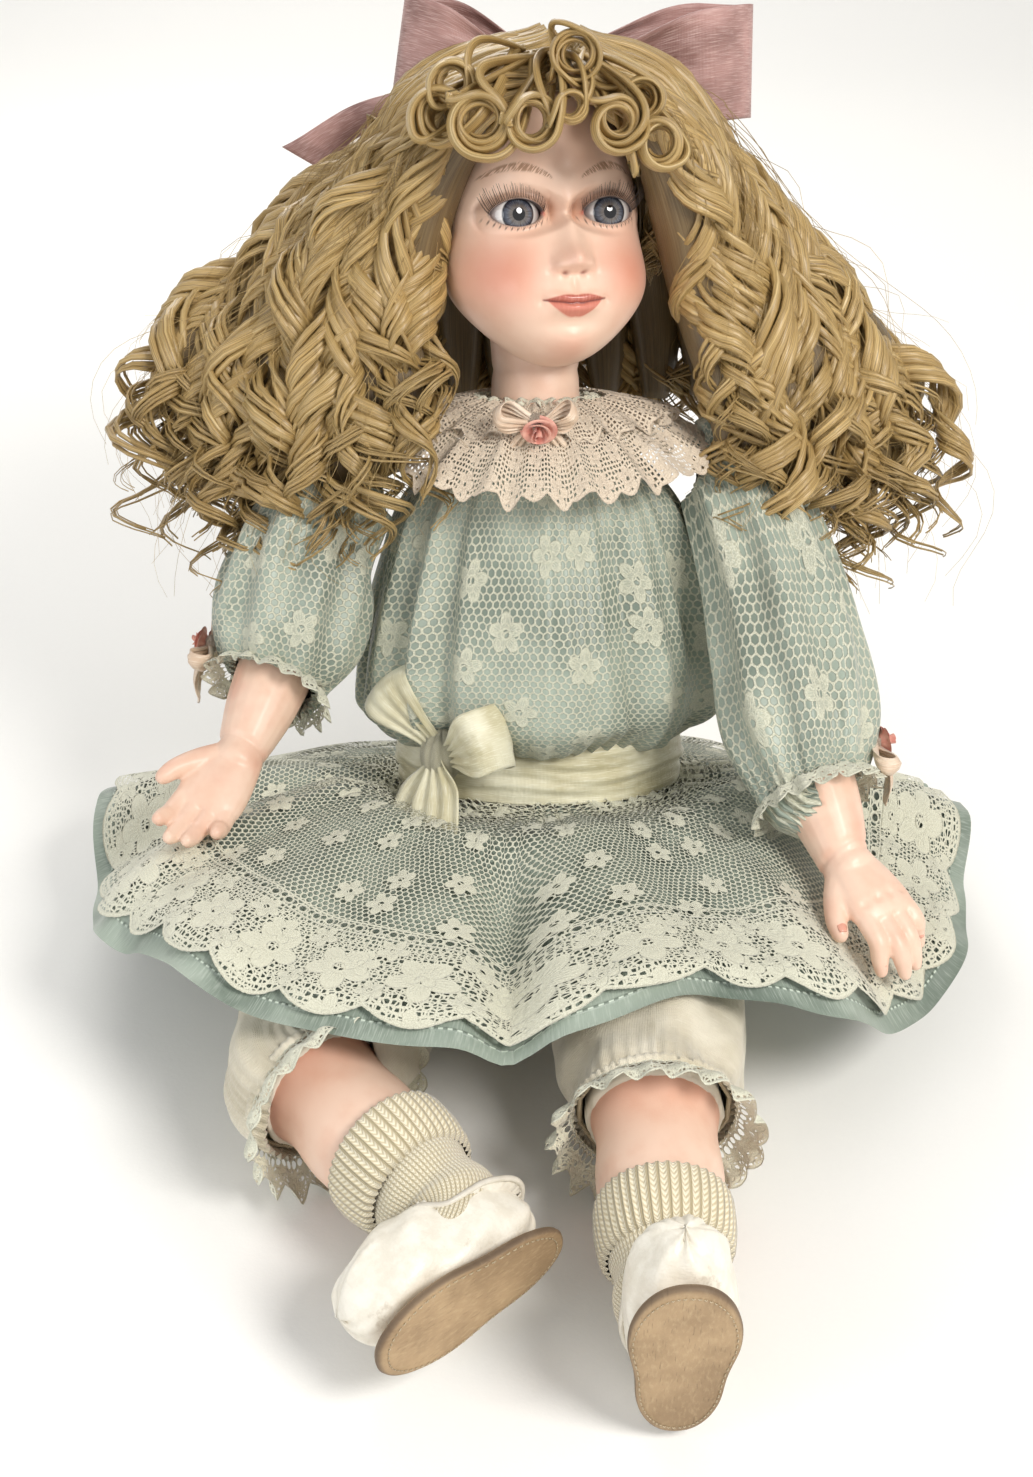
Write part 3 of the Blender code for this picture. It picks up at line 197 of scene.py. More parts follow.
def frame_along(origin, along, up_hint):
    """A frame whose Z runs along a direction and whose X leans towards a hint."""
    z_axis = along.normalized()
    x_axis = (up_hint - z_axis * up_hint.dot(z_axis)).normalized()
    return basis(x_axis, z_axis.cross(x_axis), z_axis, origin)


def moved(points, matrix):
    """Points of any grid carried through a matrix."""
    m = np.array(matrix)
    return points @ m[:3, :3].T + m[:3, 3]


def stacked(x, y, z):
    return np.stack(np.broadcast_arrays(x, y, z), axis=-1)


def round_at(radius, angle, height):
    return stacked(radius * np.cos(angle), radius * np.sin(angle), height)


def quads_of(rows, columns, start=0):
    """The four-sided faces of a grid of points."""
    index = start + np.arange(rows * columns).reshape(rows, columns)
    corners = [index[:-1, :-1], index[1:, :-1], index[1:, 1:], index[:-1, 1:]]
    return np.stack(corners, axis=-1).reshape(-1, 4)


def pierced(points, inside):
    """A grid joined round in v, and its faces outside an opening."""
    points = np.concatenate([points, points[:, :1]], axis=1)
    inside = np.concatenate([inside, inside[:, :1]], axis=1)
    quads = quads_of(*inside.shape)
    gone = inside.reshape(-1)[quads].all(axis=1)
    return points, quads[~gone].tolist()


def blank_mesh(name, points, faces, uvs, matrix):
    mesh = bpy.data.meshes.new(name)
    mesh.from_pydata(points.reshape(-1, 3).tolist(), [], faces)
    layer = mesh.uv_layers.new(name="UVMap")
    corners = np.array([vertex for face in faces for vertex in face])
    layer.data.foreach_set("uv", uvs.reshape(-1, 2)[corners].ravel())
    mesh.polygons.foreach_set("use_smooth", [True] * len(mesh.polygons))
    obj = bpy.data.objects.new(name, mesh)
    obj.matrix_world = matrix
    bpy.context.scene.collection.objects.link(obj)
    return obj


def grids(name, sheets, matrix=IN_PLACE):
    """One object from grids, each (points[u, v, 3], uvs[u, v, 2], joined round in v)."""
    all_points, all_uvs, faces = [], [], []
    start = 0
    for points, uvs, closed in sheets:
        across, along = points.shape[:2]
        if closed:
            points = np.concatenate([points, points[:, :1]], axis=1)
            along += 1
        faces.extend(quads_of(across, along, start).tolist())
        all_points.append(points.reshape(-1, 3))
        all_uvs.append(uvs.reshape(-1, 2))
        start += across * along
    obj = blank_mesh(name, np.concatenate(all_points), faces, np.concatenate(all_uvs), matrix)
    form = bmesh.new()
    form.from_mesh(obj.data)
    bmesh.ops.remove_doubles(form, verts=form.verts, dist=WELD)
    form.to_mesh(obj.data)
    form.free()
    return obj


def cloth_grid(shape, across, along, size):
    """A grid of shape(turn, run), with its UVs in metres of cloth."""
    turns, runs = np.linspace(0, 1, across + 1), np.linspace(0, 1, along + 1)
    turn, run = np.meshgrid(turns, runs, indexing="ij")
    return shape(turn, run), np.stack([turn * size[0], run * size[1]], axis=-1), False


def cloth(name, shape, across, along, size, matrix=IN_PLACE):
    return grids(name, [cloth_grid(shape, across, along, size)], matrix)


def thicken(obj, wall, offset=0.0):
    solidify = obj.modifiers.new("wall", "SOLIDIFY")
    solidify.thickness = wall
    solidify.offset = offset
    solidify.use_even_offset = False


def curve_through(stations, count):
    """Points on a smooth curve through stations of any width, evenly spaced by station."""
    rows = np.array([list(row) for row in stations], float)
    rows = np.concatenate([[2 * rows[0] - rows[1]], rows, [2 * rows[-1] - rows[-2]]])
    t = np.linspace(0, len(stations) - 1 - 1e-9, count)
    k = t.astype(int)
    f = (t - k)[:, None]
    a, b, c, d = rows[k], rows[k + 1], rows[k + 2], rows[k + 3]
    return 0.5 * (2 * b + (c - a) * f + (2 * a - 5 * b + 4 * c - d) * f**2 + (3 * b - a - 3 * c + d) * f**3)


def read_along(table, run):
    """Rows of a table at places from 0 to 1 along it."""
    place = np.clip(run, 0, 1) * (len(table) - 1)
    low = np.minimum(place.astype(int), len(table) - 2)
    part = (place - low)[..., None]
    return table[low] * (1 - part) + table[low + 1] * part


def distances(path):
    """How far along a path each of its points is."""
    return np.concatenate([[0], np.cumsum(np.linalg.norm(np.diff(path, axis=0), axis=1))])


def unit(vectors):
    return vectors / np.maximum(np.linalg.norm(vectors, axis=-1, keepdims=True), 1e-12)


def frames_of(path, hint=(0.0, 0.0, 1.0)):
    """Tangents, and two directions square to them that don't twist along the path."""
    tangents = unit(np.gradient(path, axis=0))
    side = np.array(hint, float)
    if abs(side @ tangents[0]) > 0.95:
        side = np.array((1.0, 0.0, 0.0))
    sides = np.empty_like(path)
    for index, tangent in enumerate(tangents):
        side = side - tangent * (side @ tangent)
        side = side / np.linalg.norm(side)
        sides[index] = side
    return tangents, sides, np.cross(tangents, sides)


def tube_grid(path, radii, sides, hint=(0.0, 0.0, 1.0)):
    """A tube round a path, with its UVs in metres along and round it."""
    path = np.asarray(path, float)
    radii = np.broadcast_to(np.asarray(radii, float), len(path))
    _, first, second = frames_of(path, hint)
    angle = np.linspace(0, 2 * math.pi, sides, endpoint=False)[None, :, None]
    ring = first[:, None] * np.cos(angle) + second[:, None] * np.sin(angle)
    points = path[:, None] + ring * radii[:, None, None]
    girth = 2 * math.pi * radii.mean()
    along, round_it = np.meshgrid(distances(path), np.linspace(0, girth, sides + 1), indexing="ij")
    return points, np.stack([along, round_it], axis=-1), True


def end_caps(points):
    """Rows drawn to a point at both ends of a tube's grid, so that it is closed."""
    first, last = points[:1].mean(axis=1, keepdims=True), points[-1:].mean(axis=1, keepdims=True)
    sides = points.shape[1]
    return np.concatenate([np.repeat(first, sides, 1), points, np.repeat(last, sides, 1)])


def capped(grid):
    points, uvs, closed = grid
    return end_caps(points), np.concatenate([uvs[:1], uvs, uvs[-1:]]), closed


def ball_grid(centre, half, around=24, rings=14):
    turn, rise = np.meshgrid(
        np.linspace(0, 2 * math.pi, around, endpoint=False), np.linspace(0, math.pi, rings + 1)
    )
    way = stacked(np.sin(rise) * np.cos(turn), np.sin(rise) * np.sin(turn), np.cos(rise))
    points = np.array(centre) + way * np.array(half)
    down_it = np.linspace(0, 1, rings + 1) * math.pi * half[2]
    round_it = np.linspace(0, 1, around + 1) * 6.28 * half[0]
    u, v = np.meshgrid(down_it, round_it, indexing="ij")
    return points, np.stack([u, v], axis=-1), True


def finished(obj, material, body, *nodes, slot=None):
    """Gives a piece its material and its body, and hides the CAD nodes that it stands for."""
    obj.data.materials.clear()
    obj.data.materials.append(material)
    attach(obj, body)
    if nodes:
        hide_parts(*nodes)
    return obj


def cloth_area(obj):
    bpy.context.view_layer.update()
    scale = obj.matrix_world.to_scale()
    return sum(face.area for face in obj.data.polygons) * scale.x * scale.y


def cut_cloth(obj, width):
    """Works out the length that a cloth cut to a width needs for its surface, and keeps nothing of it."""
    cloth_area(obj) / width


# ---------------------------------------------------------------- mixing finishes
class Paint:
    """A value on its way through a material, with arithmetic."""

    def __init__(self, tree, socket):
        self.tree = tree
        self.socket = socket

    def maths(self, operation, *others):
        return add_node(self.tree, "ShaderNodeMath", {"operation": operation}, {}, (self, *others))

    def __add__(self, other):
        return self.maths("ADD", other)

    __radd__ = __add__

    def __sub__(self, other):
        return self.maths("SUBTRACT", other)

    def __rsub__(self, other):
        return add_node(self.tree, "ShaderNodeMath", {"operation": "SUBTRACT"}, {}, (other, self))

    def __mul__(self, other):
        return self.maths("MULTIPLY", other)

    __rmul__ = __mul__

    def __truediv__(self, other):
        return self.maths("DIVIDE", other)

    def __pow__(self, other):
        return self.maths("POWER", other)

    def __abs__(self):
        return self.maths("ABSOLUTE")

    def __gt__(self, other):
        return self.maths("GREATER_THAN", other)

    def __lt__(self, other):
        return self.maths("LESS_THAN", other)

    def sine(self):
        return self.maths("SINE")

    def cosine(self):
        return self.maths("COSINE")

    def root(self):
        return self.maths("SQRT")

    def least(self, other):
        return self.maths("MINIMUM", other)

    def most(self, other):
        return self.maths("MAXIMUM", other)

    def wave(self, pitch):
        """0..1..0 once in each pitch."""
        return (self * (2 * math.pi / pitch)).cosine() * -0.5 + 0.5

    def fall(self, width):
        """1 at zero, fading away over a width on both sides."""
        return (self * self * (-1 / width**2)).maths("EXPONENT")

    def within(self, low, high):
        """0 below low, 1 above high, smooth between. low may be above high."""
        settings = {"interpolation_type": "SMOOTHSTEP"}
        return add_node(
            self.tree,
            "ShaderNodeMapRange",
            settings,
            {"Value": self, "From Min": low, "From Max": high, "To Min": 0.0, "To Max": 1.0},
        )

    def part(self, axis):
        return add_node(self.tree, "ShaderNodeSeparateXYZ", {}, {"Vector": self}, output=axis)


def add_node(tree, kind, settings, values, ordered=(), output=None):
    """Any node: its settings first, then its sockets by name, or in order."""
    node = tree.nodes.new(kind)
    for key, value in settings.items():
        setattr(node, key, value)
    pairs = [(node.inputs[key], value) for key, value in values.items()]
    pairs += list(zip(node.inputs, ordered))
    for socket, value in pairs:
        if isinstance(value, Paint):
            tree.links.new(value.socket, socket)
        elif value is not None:
            socket.default_value = value
    found = node.outputs[output] if output else next(o for o in node.outputs if o.enabled)
    return Paint(tree, found)


def plug(tree, socket, value):
    """Links a worked-out value to a socket, or sets a number or a colour on it."""
    if isinstance(value, Paint):
        tree.links.new(value.socket, socket)
    elif value is not None:
        socket.default_value = value if isinstance(value, float) else (*value, 1.0)


class Finish:
    """One material and the surface values that its recipe starts from."""

    def __init__(self, name, **fixed):
        self.material = bpy.data.materials.new(name)
        self.material.use_nodes = True
        self.tree = self.material.node_tree
        self.shader = self.tree.nodes["Principled BSDF"]
        for key, value in fixed.items():
            self.shader.inputs[key.replace("_", " ")].default_value = value

    def node(self, kind, settings=None, output=None, **values):
        named = {key.replace("_", " "): value for key, value in values.items()}
        return add_node(self.tree, kind, settings or {}, named, output=output)

    def spot(self, which="Object"):
        return self.node("ShaderNodeTexCoord", output=which)

    def stretched(self, vector, by):
        return add_node(self.tree, "ShaderNodeVectorMath", {"operation": "MULTIPLY"}, {}, (vector, by))

    def joined(self, x, y):
        return self.node("ShaderNodeCombineXYZ", X=x, Y=y)

    def noise(self, vector, scale, detail=2.0, roughness=0.5):
        return self.node(
            "ShaderNodeTexNoise", output="Fac", Vector=vector, Scale=scale, Detail=detail, Roughness=roughness
        )

    def cells(self, vector, scale, output="Distance", feature="F1", randomness=1.0):
        settings = {"voronoi_dimensions": "2D", "feature": feature}
        return self.node(
            "ShaderNodeTexVoronoi", settings, output, Vector=vector, Scale=scale, Randomness=randomness
        )

    def mix(self, amount, first, second):
        node = self.tree.nodes.new("ShaderNodeMix")
        node.data_type = "RGBA"
        node.clamp_factor = True
        for place, value in ((0, amount), (6, first), (7, second)):
            plug(self.tree, node.inputs[place], value)
        return Paint(self.tree, node.outputs[2])

    def done(self, colour, roughness, alpha=None, height=None, depth=0.001):
        """Feeds what changes over the surface to the shader."""
        for key, value in {"Base Color": colour, "Roughness": roughness, "Alpha": alpha}.items():
            plug(self.tree, self.shader.inputs[key], value)
        if height is not None:
            bumped = self.node("ShaderNodeBump", Height=height, Distance=depth, Strength=1.0)
            self.tree.links.new(bumped.socket, self.shader.inputs["Normal"])
        return self.material


def shade(red, green, blue):
    """A colour as a paint chart gives it, 0 to 255, as linear light."""

    def linear(value):
        value = value / 255
        return value / 12.92 if value <= 0.04045 else ((value + 0.055) / 1.055) ** 2.4

    return linear(red), linear(green), linear(blue)


# ---------------------------------------------------------------- porcelain
SKIN = shade(232, 200, 178)
SKIN_DEEP = shade(214, 160, 132)
BLUSH = shade(206, 118, 92)


def porcelain(name, blush_at=None):
    """Matt bisque with a soft flush where blush_at(finish, spot) says."""
    skin = Finish(name, Roughness=0.42, Coat_Weight=0.12, Coat_Roughness=0.25, IOR=1.48)
    spot = skin.spot()
    mottle = skin.noise(spot, 90.0, 3.0)
    colour = skin.mix(mottle.within(0.35, 0.75) * 0.35, SKIN, SKIN_DEEP)
    if blush_at:
        colour = skin.mix(blush_at(skin, spot), colour, BLUSH)
    grain = skin.noise(spot, 1800.0, 2.0)
    return skin.done(colour, 0.40 + mottle * 0.08, height=grain, depth=0.00004)


def almond(dx, dz):
    """1 on the edge of the eye's opening, less inside."""
    high = np.where(dz > 0, UPPER_LID, LOWER_LID)
    sides = np.abs(dx / LID_HALF_WIDTH) ** LID_POWER + np.abs(dz / high) ** LID_POWER
    return sides ** (1 / LID_POWER)


def painted_face():
    face = Finish("face_bisque", Roughness=0.40, Coat_Weight=0.15, Coat_Roughness=0.22, IOR=1.48)
    spot = face.spot()
    x, y, z = spot.part("X"), spot.part("Y"), spot.part("Z")
    front = (y * -1).within(0.004, 0.020)
    mottle = face.noise(spot, 80.0, 3.0)
    colour = face.mix(mottle.within(0.35, 0.75) * 0.25, SKIN, SKIN_DEEP)
    side = abs(x)

    cheeks = ((side - 0.0255) / 0.0150).fall(1.0) * ((z + 0.0195) / 0.0145).fall(1.0)
    chin = (x / 0.008).fall(1.0) * ((z + 0.048) / 0.006).fall(1.0) * 0.35
    tip = (x / 0.005).fall(1.0) * ((z + 0.0145) / 0.004).fall(1.0) * 0.25
    brow_flush = (x / 0.022).fall(1.0) * ((z - 0.030) / 0.014).fall(1.0) * 0.10
    flush = (cheeks * 0.66 + chin + tip + brow_flush) * front
    colour = face.mix(flush, colour, BLUSH)

    dx = side - EYE_ACROSS
    dz = z - EYE_UP
    above = dz > 0.0
    lid = above * UPPER_LID + (1 - above) * LOWER_LID
    ring = (abs(dx) / LID_HALF_WIDTH) ** LID_POWER + (abs(dz) / lid) ** LID_POWER
    ring = ring ** (1 / LID_POWER)
    crease = (ring - 1.45).fall(0.20) * (dz / 0.004).within(0.0, 1.0)
    shadow = (1 - ring.within(0.95, 1.75)) * (dz / 0.003).within(-0.4, 1.0)
    colour = face.mix((shadow * 0.46 + crease * 0.25) * front, colour, shade(140, 92, 68))
    smoke = (1 - ring.within(1.0, 1.45)) * (1 - above)
    colour = face.mix(smoke * 0.18 * front, colour, shade(150, 104, 84))
    liner = (1 - ring.within(1.00, 1.11)) * front
    colour = face.mix(liner * (0.55 + above * 0.40), colour, shade(42, 36, 42))

    spokes = ((dx / 0.00036) + (dz / 0.0009)).sine()
    low_lash = (ring - 1.22).fall(0.13) * (1 - (dz / 0.0015).within(-1.6, -0.2)) * spokes.within(0.35, 0.95)
    colour = face.mix(low_lash * front * 0.75, colour, shade(60, 44, 40))

    brow_x = (side - 0.0185) / 0.0125
    brow_line = 0.0205 - (brow_x * brow_x) * 0.0042 + brow_x * 0.0004
    brow_width = 0.0019 * (1 - abs(brow_x + 0.15) * 0.55)
    brow = ((z - brow_line) / brow_width).fall(1.0) * (1 - abs(brow_x).within(0.85, 1.15))
    hairs = face.noise(face.joined(side + z * 0.9, z * 0.16 - side * 0.10), 1500.0, 1.0)
    brow = brow.within(0.15, 0.75) * hairs.within(0.36, 0.56)
    colour = face.mix(brow * front * 0.75, colour, shade(140, 102, 74))

    mouth_curve = MOUTH_HEIGHT + (side / MOUTH_HALF_WIDTH) ** 2.0 * MOUTH_LIFT
    mouth_curve = mouth_curve - (side - 0.0022).fall(0.0022) * 0.0004
    half = 0.0127
    upper_top = mouth_curve + 0.0038 * (1 - (side / half) ** 1.6) - (x / 0.0016).fall(1.0) * 0.0008
    lower_low = mouth_curve - 0.0055 * (1 - (side / (half * 0.86)) ** 2.2)
    upper = (z - mouth_curve).within(-0.0002, 0.0002) * (1 - (z - upper_top).within(-0.0006, 0.0003))
    lower = (1 - (z - mouth_curve).within(-0.0002, 0.0002)) * (z - lower_low).within(-0.0004, 0.0007)
    inside = 1 - (side / half).within(0.94, 1.02)
    lips = (upper + lower).least(1.0) * inside * front
    tone = face.mix(upper, shade(202, 116, 98), shade(176, 88, 74))
    streaks = face.noise(face.joined(x, z * 0.12), 1100.0, 2.0)
    tone = face.mix(streaks.within(0.4, 0.7) * 0.30, tone, shade(222, 146, 126))
    colour = face.mix(lips * 0.92, colour, tone)
    parting = (z - mouth_curve).fall(0.00042) * inside * front
    colour = face.mix(parting * 0.80, colour, shade(96, 38, 34))

    nostril_x = (side - 0.0036) / 0.0013
    nostrils = nostril_x.fall(1.0) * ((z + 0.0196 - nostril_x * 0.0002) / 0.0008).fall(1.0)
    colour = face.mix(nostrils * front * 0.75, colour, shade(120, 54, 44))
    corner = ((side - EYE_ACROSS + LID_HALF_WIDTH + 0.0003) / 0.0008).fall(1.0) * (dz / 0.0009).fall(1.0)
    colour = face.mix(corner * front * 0.7, colour, shade(214, 120, 104))

    grain = face.noise(spot, 1800.0, 2.0)
    rough = 0.42 + mottle * 0.06 - lips * 0.20
    return face.done(colour, rough, height=grain, depth=0.00004)


def nose_line(z):
    """How far the ridge of the nose stands out, from between the brows to under the tip."""
    ridge = 0.0006 + 0.0066 * eased((0.0075 - z) / 0.0205) ** 1.2
    return ridge * eased((z + 0.0205) / 0.0042) * eased((0.020 - z) / 0.014)


def relief(x, z):
    """How far the modelled face stands forward of the plain head."""
    side = np.abs(x)
    out = nose_line(z) * bump(x, 0, 0.0034 + 0.0026 * eased((0.002 - z) / 0.018))
    out = out + 0.0036 * bump(x, 0, 0.0050) * bump(z, -0.0142, 0.0042)
    out = out + 0.0028 * bump(side, 0.0064, 0.0028) * bump(z, -0.0164, 0.0030)
    out = out - 0.0011 * bump(side, 0.0035, 0.0013) * bump(z, -0.0198, 0.0011)
    out = out - 0.0009 * bump(side, 0.0088, 0.0016) * bump(z, -0.0165, 0.0040)
    out = out - 0.0009 * bump(x, 0, 0.0014) * bump(z, -0.0245, 0.0030)
    out = out + 0.0030 * bump(x, 0, 0.0125) * bump(z, -0.0290, 0.0085)
    line = MOUTH_HEIGHT + MOUTH_LIFT * (side / MOUTH_HALF_WIDTH) ** 2 - 0.0004 * bump(side, 0.0022, 0.0022)
    fullness = eased((0.0138 - side) / 0.0085)
    out = out + 0.0016 * fullness * bump(z, line + 0.0019, 0.0017)
    out = out + 0.0024 * fullness * bump(x, 0, 0.0095) * bump(z, line - 0.0023, 0.0022)
    out = out - 0.0013 * eased((0.0125 - side) / 0.004) * bump(z, line, 0.00055)
    out = out - 0.0012 * bump(side, MOUTH_HALF_WIDTH, 0.0018) * bump(z, -0.0298, 0.0020)
    out = out - 0.0016 * bump(x, 0, 0.0090) * bump(z, -0.0388, 0.0030)
    out = out + 0.0034 * bump(x, 0, 0.0085) * bump(z, -0.0465, 0.0068)
    out = out + 0.0040 * bump(side, 0.0225, 0.0130) * bump(z, -0.0240, 0.0150)
    out = out - 0.0022 * bump(side, 0.0120, 0.0050) * bump(z, 0.0030, 0.0070)
    out = out - 0.0010 * bump(side, EYE_ACROSS, 0.0100) * bump(z, 0.0115, 0.0040)
    out = out + 0.0012 * bump(side, 0.0180, 0.0110) * bump(z, 0.0190, 0.0050)
    out = out + 0.0018 * bump(x, 0, 0.0220) * bump(z, 0.0340, 0.0140)
    return out


def plain_front(x, z):
    """How far forward the head is before its features are modelled."""
    high = np.where(z > 0, HEAD_UP, HEAD_DOWN)
    wz = np.clip(z / high, -1, 1)
    down = eased(-wz)
    wide = HEAD_HALF_WIDTH * (1 + JOWLS * np.sin(math.pi * down))
    wx = x / wide
    inner = np.clip(1 - wx**2 - wz**2, 0, 1)
    return -HEAD_FRONT * np.sqrt(inner) - CHIN_FORWARD * down


def face_depth(x, z):
    y = plain_front(x, z) - relief(x, z)
    for sign in (-1, 1):
        dx, dz = x - sign * EYE_ACROSS, z - EYE_UP
        ring = almond(dx, dz)
        curve = 0.0135
        hollow = np.sqrt(np.maximum(curve**2 - dx**2 - dz**2, 0))
        lid_y = EYE_DEPTH - EYE_RADIUS - 0.0009 + curve - hollow
        lid_y = lid_y + 0.14 * dx * sign - 0.0004 * bump(ring, 1.05, 0.12)
        fold = 0.0007 * bump(ring, 1.48, 0.12) * eased(dz / 0.004)
        y = y + (lid_y - y) * eased((2.05 - ring) / 1.0) + fold
    return y


def make_head():
    across, rings = 300, 270
    turn, rise = np.meshgrid(
        np.linspace(-math.pi, math.pi, across, endpoint=False), np.linspace(0.0, math.pi, rings)
    )
    turn = turn - 0.55 * np.sin(turn) * 0.9
    wx, wy, wz = np.sin(rise) * np.sin(turn), -np.sin(rise) * np.cos(turn), np.cos(rise)
    down = eased(-wz)
    wide = HEAD_HALF_WIDTH * (1 + JOWLS * np.sin(math.pi * down))
    x = wide * wx
    z = np.where(wz > 0, HEAD_UP, HEAD_DOWN) * wz
    deep = np.where(wy > 0, HEAD_BACK, HEAD_FRONT)
    y = deep * wy - CHIN_FORWARD * down
    inside = np.zeros(x.shape, bool)
    front = wy < -0.15
    for sign in (-1, 1):
        dx, dz = x - sign * EYE_ACROSS, z - EYE_UP
        ring = almond(dx, dz)
        hole = front & (ring < 1)
        inside |= hole
        share = np.where(hole, 1 / np.maximum(ring, 0.01), 1.0)
        x, z = sign * EYE_ACROSS + dx * share, EYE_UP + dz * share
    blend = eased((-wy - 0.10) / 0.25)
    y = y + (face_depth(x, z) - y) * blend
    points = stacked(x, y, z)
    joined, faces = pierced(points, inside)
    uvs = np.stack([joined[..., 0], joined[..., 2]], axis=-1)
    obj = blank_mesh("porcelain_head", joined, faces, uvs, HEAD)
    form = bmesh.new()
    form.from_mesh(obj.data)
    bmesh.ops.remove_doubles(form, verts=form.verts, dist=WELD)
    bmesh.ops.delete(form, geom=[v for v in form.verts if not v.link_faces], context="VERTS")
    lip_share, lip_depth = 0.96, 0.0032
    rim = [e for e in form.edges if e.is_boundary]
    lip = bmesh.ops.extrude_edge_only(form, edges=rim)["geom"]
    for vertex in (v for v in lip if isinstance(v, bmesh.types.BMVert)):
        sign = 1 if vertex.co.x > 0 else -1
        vertex.co.x = sign * EYE_ACROSS + (vertex.co.x - sign * EYE_ACROSS) * lip_share
        vertex.co.z = EYE_UP + (vertex.co.z - EYE_UP) * lip_share
        vertex.co.y += lip_depth
    bmesh.ops.recalc_face_normals(form, faces=form.faces)
    form.to_mesh(obj.data)
    form.free()
    obj.data.polygons.foreach_set("use_smooth", [True] * len(obj.data.polygons))
    finished(obj, painted_face(), "head", "head_shell", slot="bisque")


def make_neck():
    radii = (0.0185, 0.0184, 0.0178, 0.0176, 0.0186, 0.0200)
    heights = (0.001, 0.006, 0.014, 0.024, 0.036, 0.046)
    profile = curve_through(tuple(zip(radii, heights)), 30)
    turn = np.linspace(0, 2 * math.pi, 48, endpoint=False)
    ring = stacked(np.cos(turn)[None], np.sin(turn)[None], np.zeros((1, 48)))
    points = ring * profile[:, :1, None] + np.array((0, 0, 1.0)) * profile[:, 1, None, None]
    crease = 0.0006 * bump(profile[:, 1], 0.021, 0.0018)[:, None, None]
    points = points * np.array((1, 1, 0)) * (1 - crease / 0.018) + points * np.array((0, 0, 1.0))
    u, v = np.meshgrid(profile[:, 1], np.linspace(0, 0.116, 49), indexing="ij")
    neck = grids("porcelain_neck", [(points, np.stack([u, v], -1), True)], NECK)
    finished(neck, porcelain("neck_bisque"), "head", slot="bisque")


def eye_glass():
    eye = Finish("eye_glass", Roughness=0.06, Coat_Weight=1.0, Coat_Roughness=0.02, IOR=1.5)
    spot = eye.spot()
    x, z = spot.part("X"), spot.part("Z")
    out = (x * x + z * z).root()
    angle = z.maths("ARCTAN2", x)
    rays = eye.noise(eye.joined(angle * 2.6, out * 60.0), 3.2, 3.0, 0.7)
    fine = eye.noise(eye.joined(angle * 9.0, out * 120.0), 3.0, 2.0, 0.6)
    vein = eye.noise(spot, 420.0, 4.0)
    white = eye.mix(vein.within(0.45, 0.8) * 0.25, shade(226, 222, 218), shade(196, 170, 160))
    # Painted shade: the white greys towards its edges, where the lids shade it.
    white = eye.mix((out / 0.0094).within(0.55, 1.0), white, shade(150, 136, 132))
    blue = eye.mix(rays.within(0.35, 0.70), shade(40, 44, 56), shade(96, 104, 120))
    blue = eye.mix(fine.within(0.5, 0.75) * 0.5, blue, shade(140, 146, 156))
    blue = eye.mix((out - 0.0030).fall(0.0012) * 0.45, blue, shade(126, 112, 92))
    blue = eye.mix(out.within(0.0046, 0.0062), blue, shade(22, 26, 38))
    # Painted shade: the top of the iris darkens, as under the upper lid.
    blue = eye.mix(z.within(0.0010, 0.0052) * 0.55, blue, shade(20, 22, 30))
    colour = eye.mix(out.within(0.0060, 0.0066), blue, white)
    colour = eye.mix(1 - out.within(0.0023, 0.0027), colour, (0.003, 0.003, 0.004))
    return eye.done(colour, 0.06)


def lash_hair():
    hair = Finish("lash_bristle", Roughness=0.45)
    spot = hair.spot("UV")
    colour = hair.mix(hair.noise(spot, 900.0), shade(26, 20, 18), shade(64, 46, 36))
    return hair.done(colour, 0.45)


def make_eyes():
    glass, bristle = eye_glass(), lash_hair()
    for side, sign in SIDES.items():
        centre = Matrix.Translation((sign * EYE_ACROSS, EYE_DEPTH, EYE_UP))
        ball = ball_grid((0, 0, 0), (EYE_RADIUS,) * 3, 64, 40)
        eye = grids(f"glass_eye_{side}", [ball], HEAD @ centre)
        finished(eye, glass, "head", f"eye_{side}", slot="glass_eye")
        rng = random.Random(7 + sign)
        lashes = []
        for step in range(46):
            t = 0.03 + 0.94 * step / 45
            angle = math.pi * (1 - t)
            across, rise = math.cos(angle), math.sin(angle)
            dx = sign * LID_HALF_WIDTH * math.copysign(abs(across) ** 1.12, across)
            dz = UPPER_LID * rise ** 1.12
            root_x, root_z = sign * EYE_ACROSS + dx, EYE_UP + dz * 0.97
            root_y = float(face_depth(np.array(root_x), np.array(root_z))) + 0.0010
            outer = 0.5 + 0.5 * across
            length = (0.0042 + 0.0036 * outer) * rng.uniform(0.85, 1.12)
            lean = sign * (0.30 * across + 0.42 * outer) + rng.uniform(-0.10, 0.10)
            root = np.array((root_x, root_y, root_z))
            way = np.array((lean, -0.85, 0.30 + 0.35 * rise))
            curl = np.array((lean * 0.55, 0.10, 0.95))
            s = np.linspace(0, 1, 9)[:, None]
            path = root + length * (way * s * (1 - 0.45 * s) + curl * 0.62 * s**2)
            lashes.append(tube_grid(path, 0.00012 * (1 - 0.80 * s[:, 0]) + 0.00003, 5))
        for step in range(22):
            t = 0.10 + 0.86 * step / 21
            dx = sign * LID_HALF_WIDTH * (2 * t - 1) * 0.96
            dz = -LOWER_LID * (1 - abs(2 * t - 1) ** LID_POWER) ** (1 / LID_POWER)
            root_x, root_z = sign * EYE_ACROSS + dx, EYE_UP + dz
            root_y = float(face_depth(np.array(root_x), np.array(root_z))) + 0.0004
            s = np.linspace(0, 1, 5)[:, None]
            length = 0.0017 * rng.uniform(0.7, 1.15)
            way = np.array((sign * (2 * t - 1) * 0.5, -0.55, -0.8))
            path = np.array((root_x, root_y, root_z)) + length * way * s
            lashes.append(tube_grid(path, 0.00007 * (1 - 0.7 * s[:, 0]), 4))
        obj = grids(f"lashes_{side}", lashes, HEAD)
        finished(obj, bristle, "head", f"eyelashes_{side}", slot="hair")


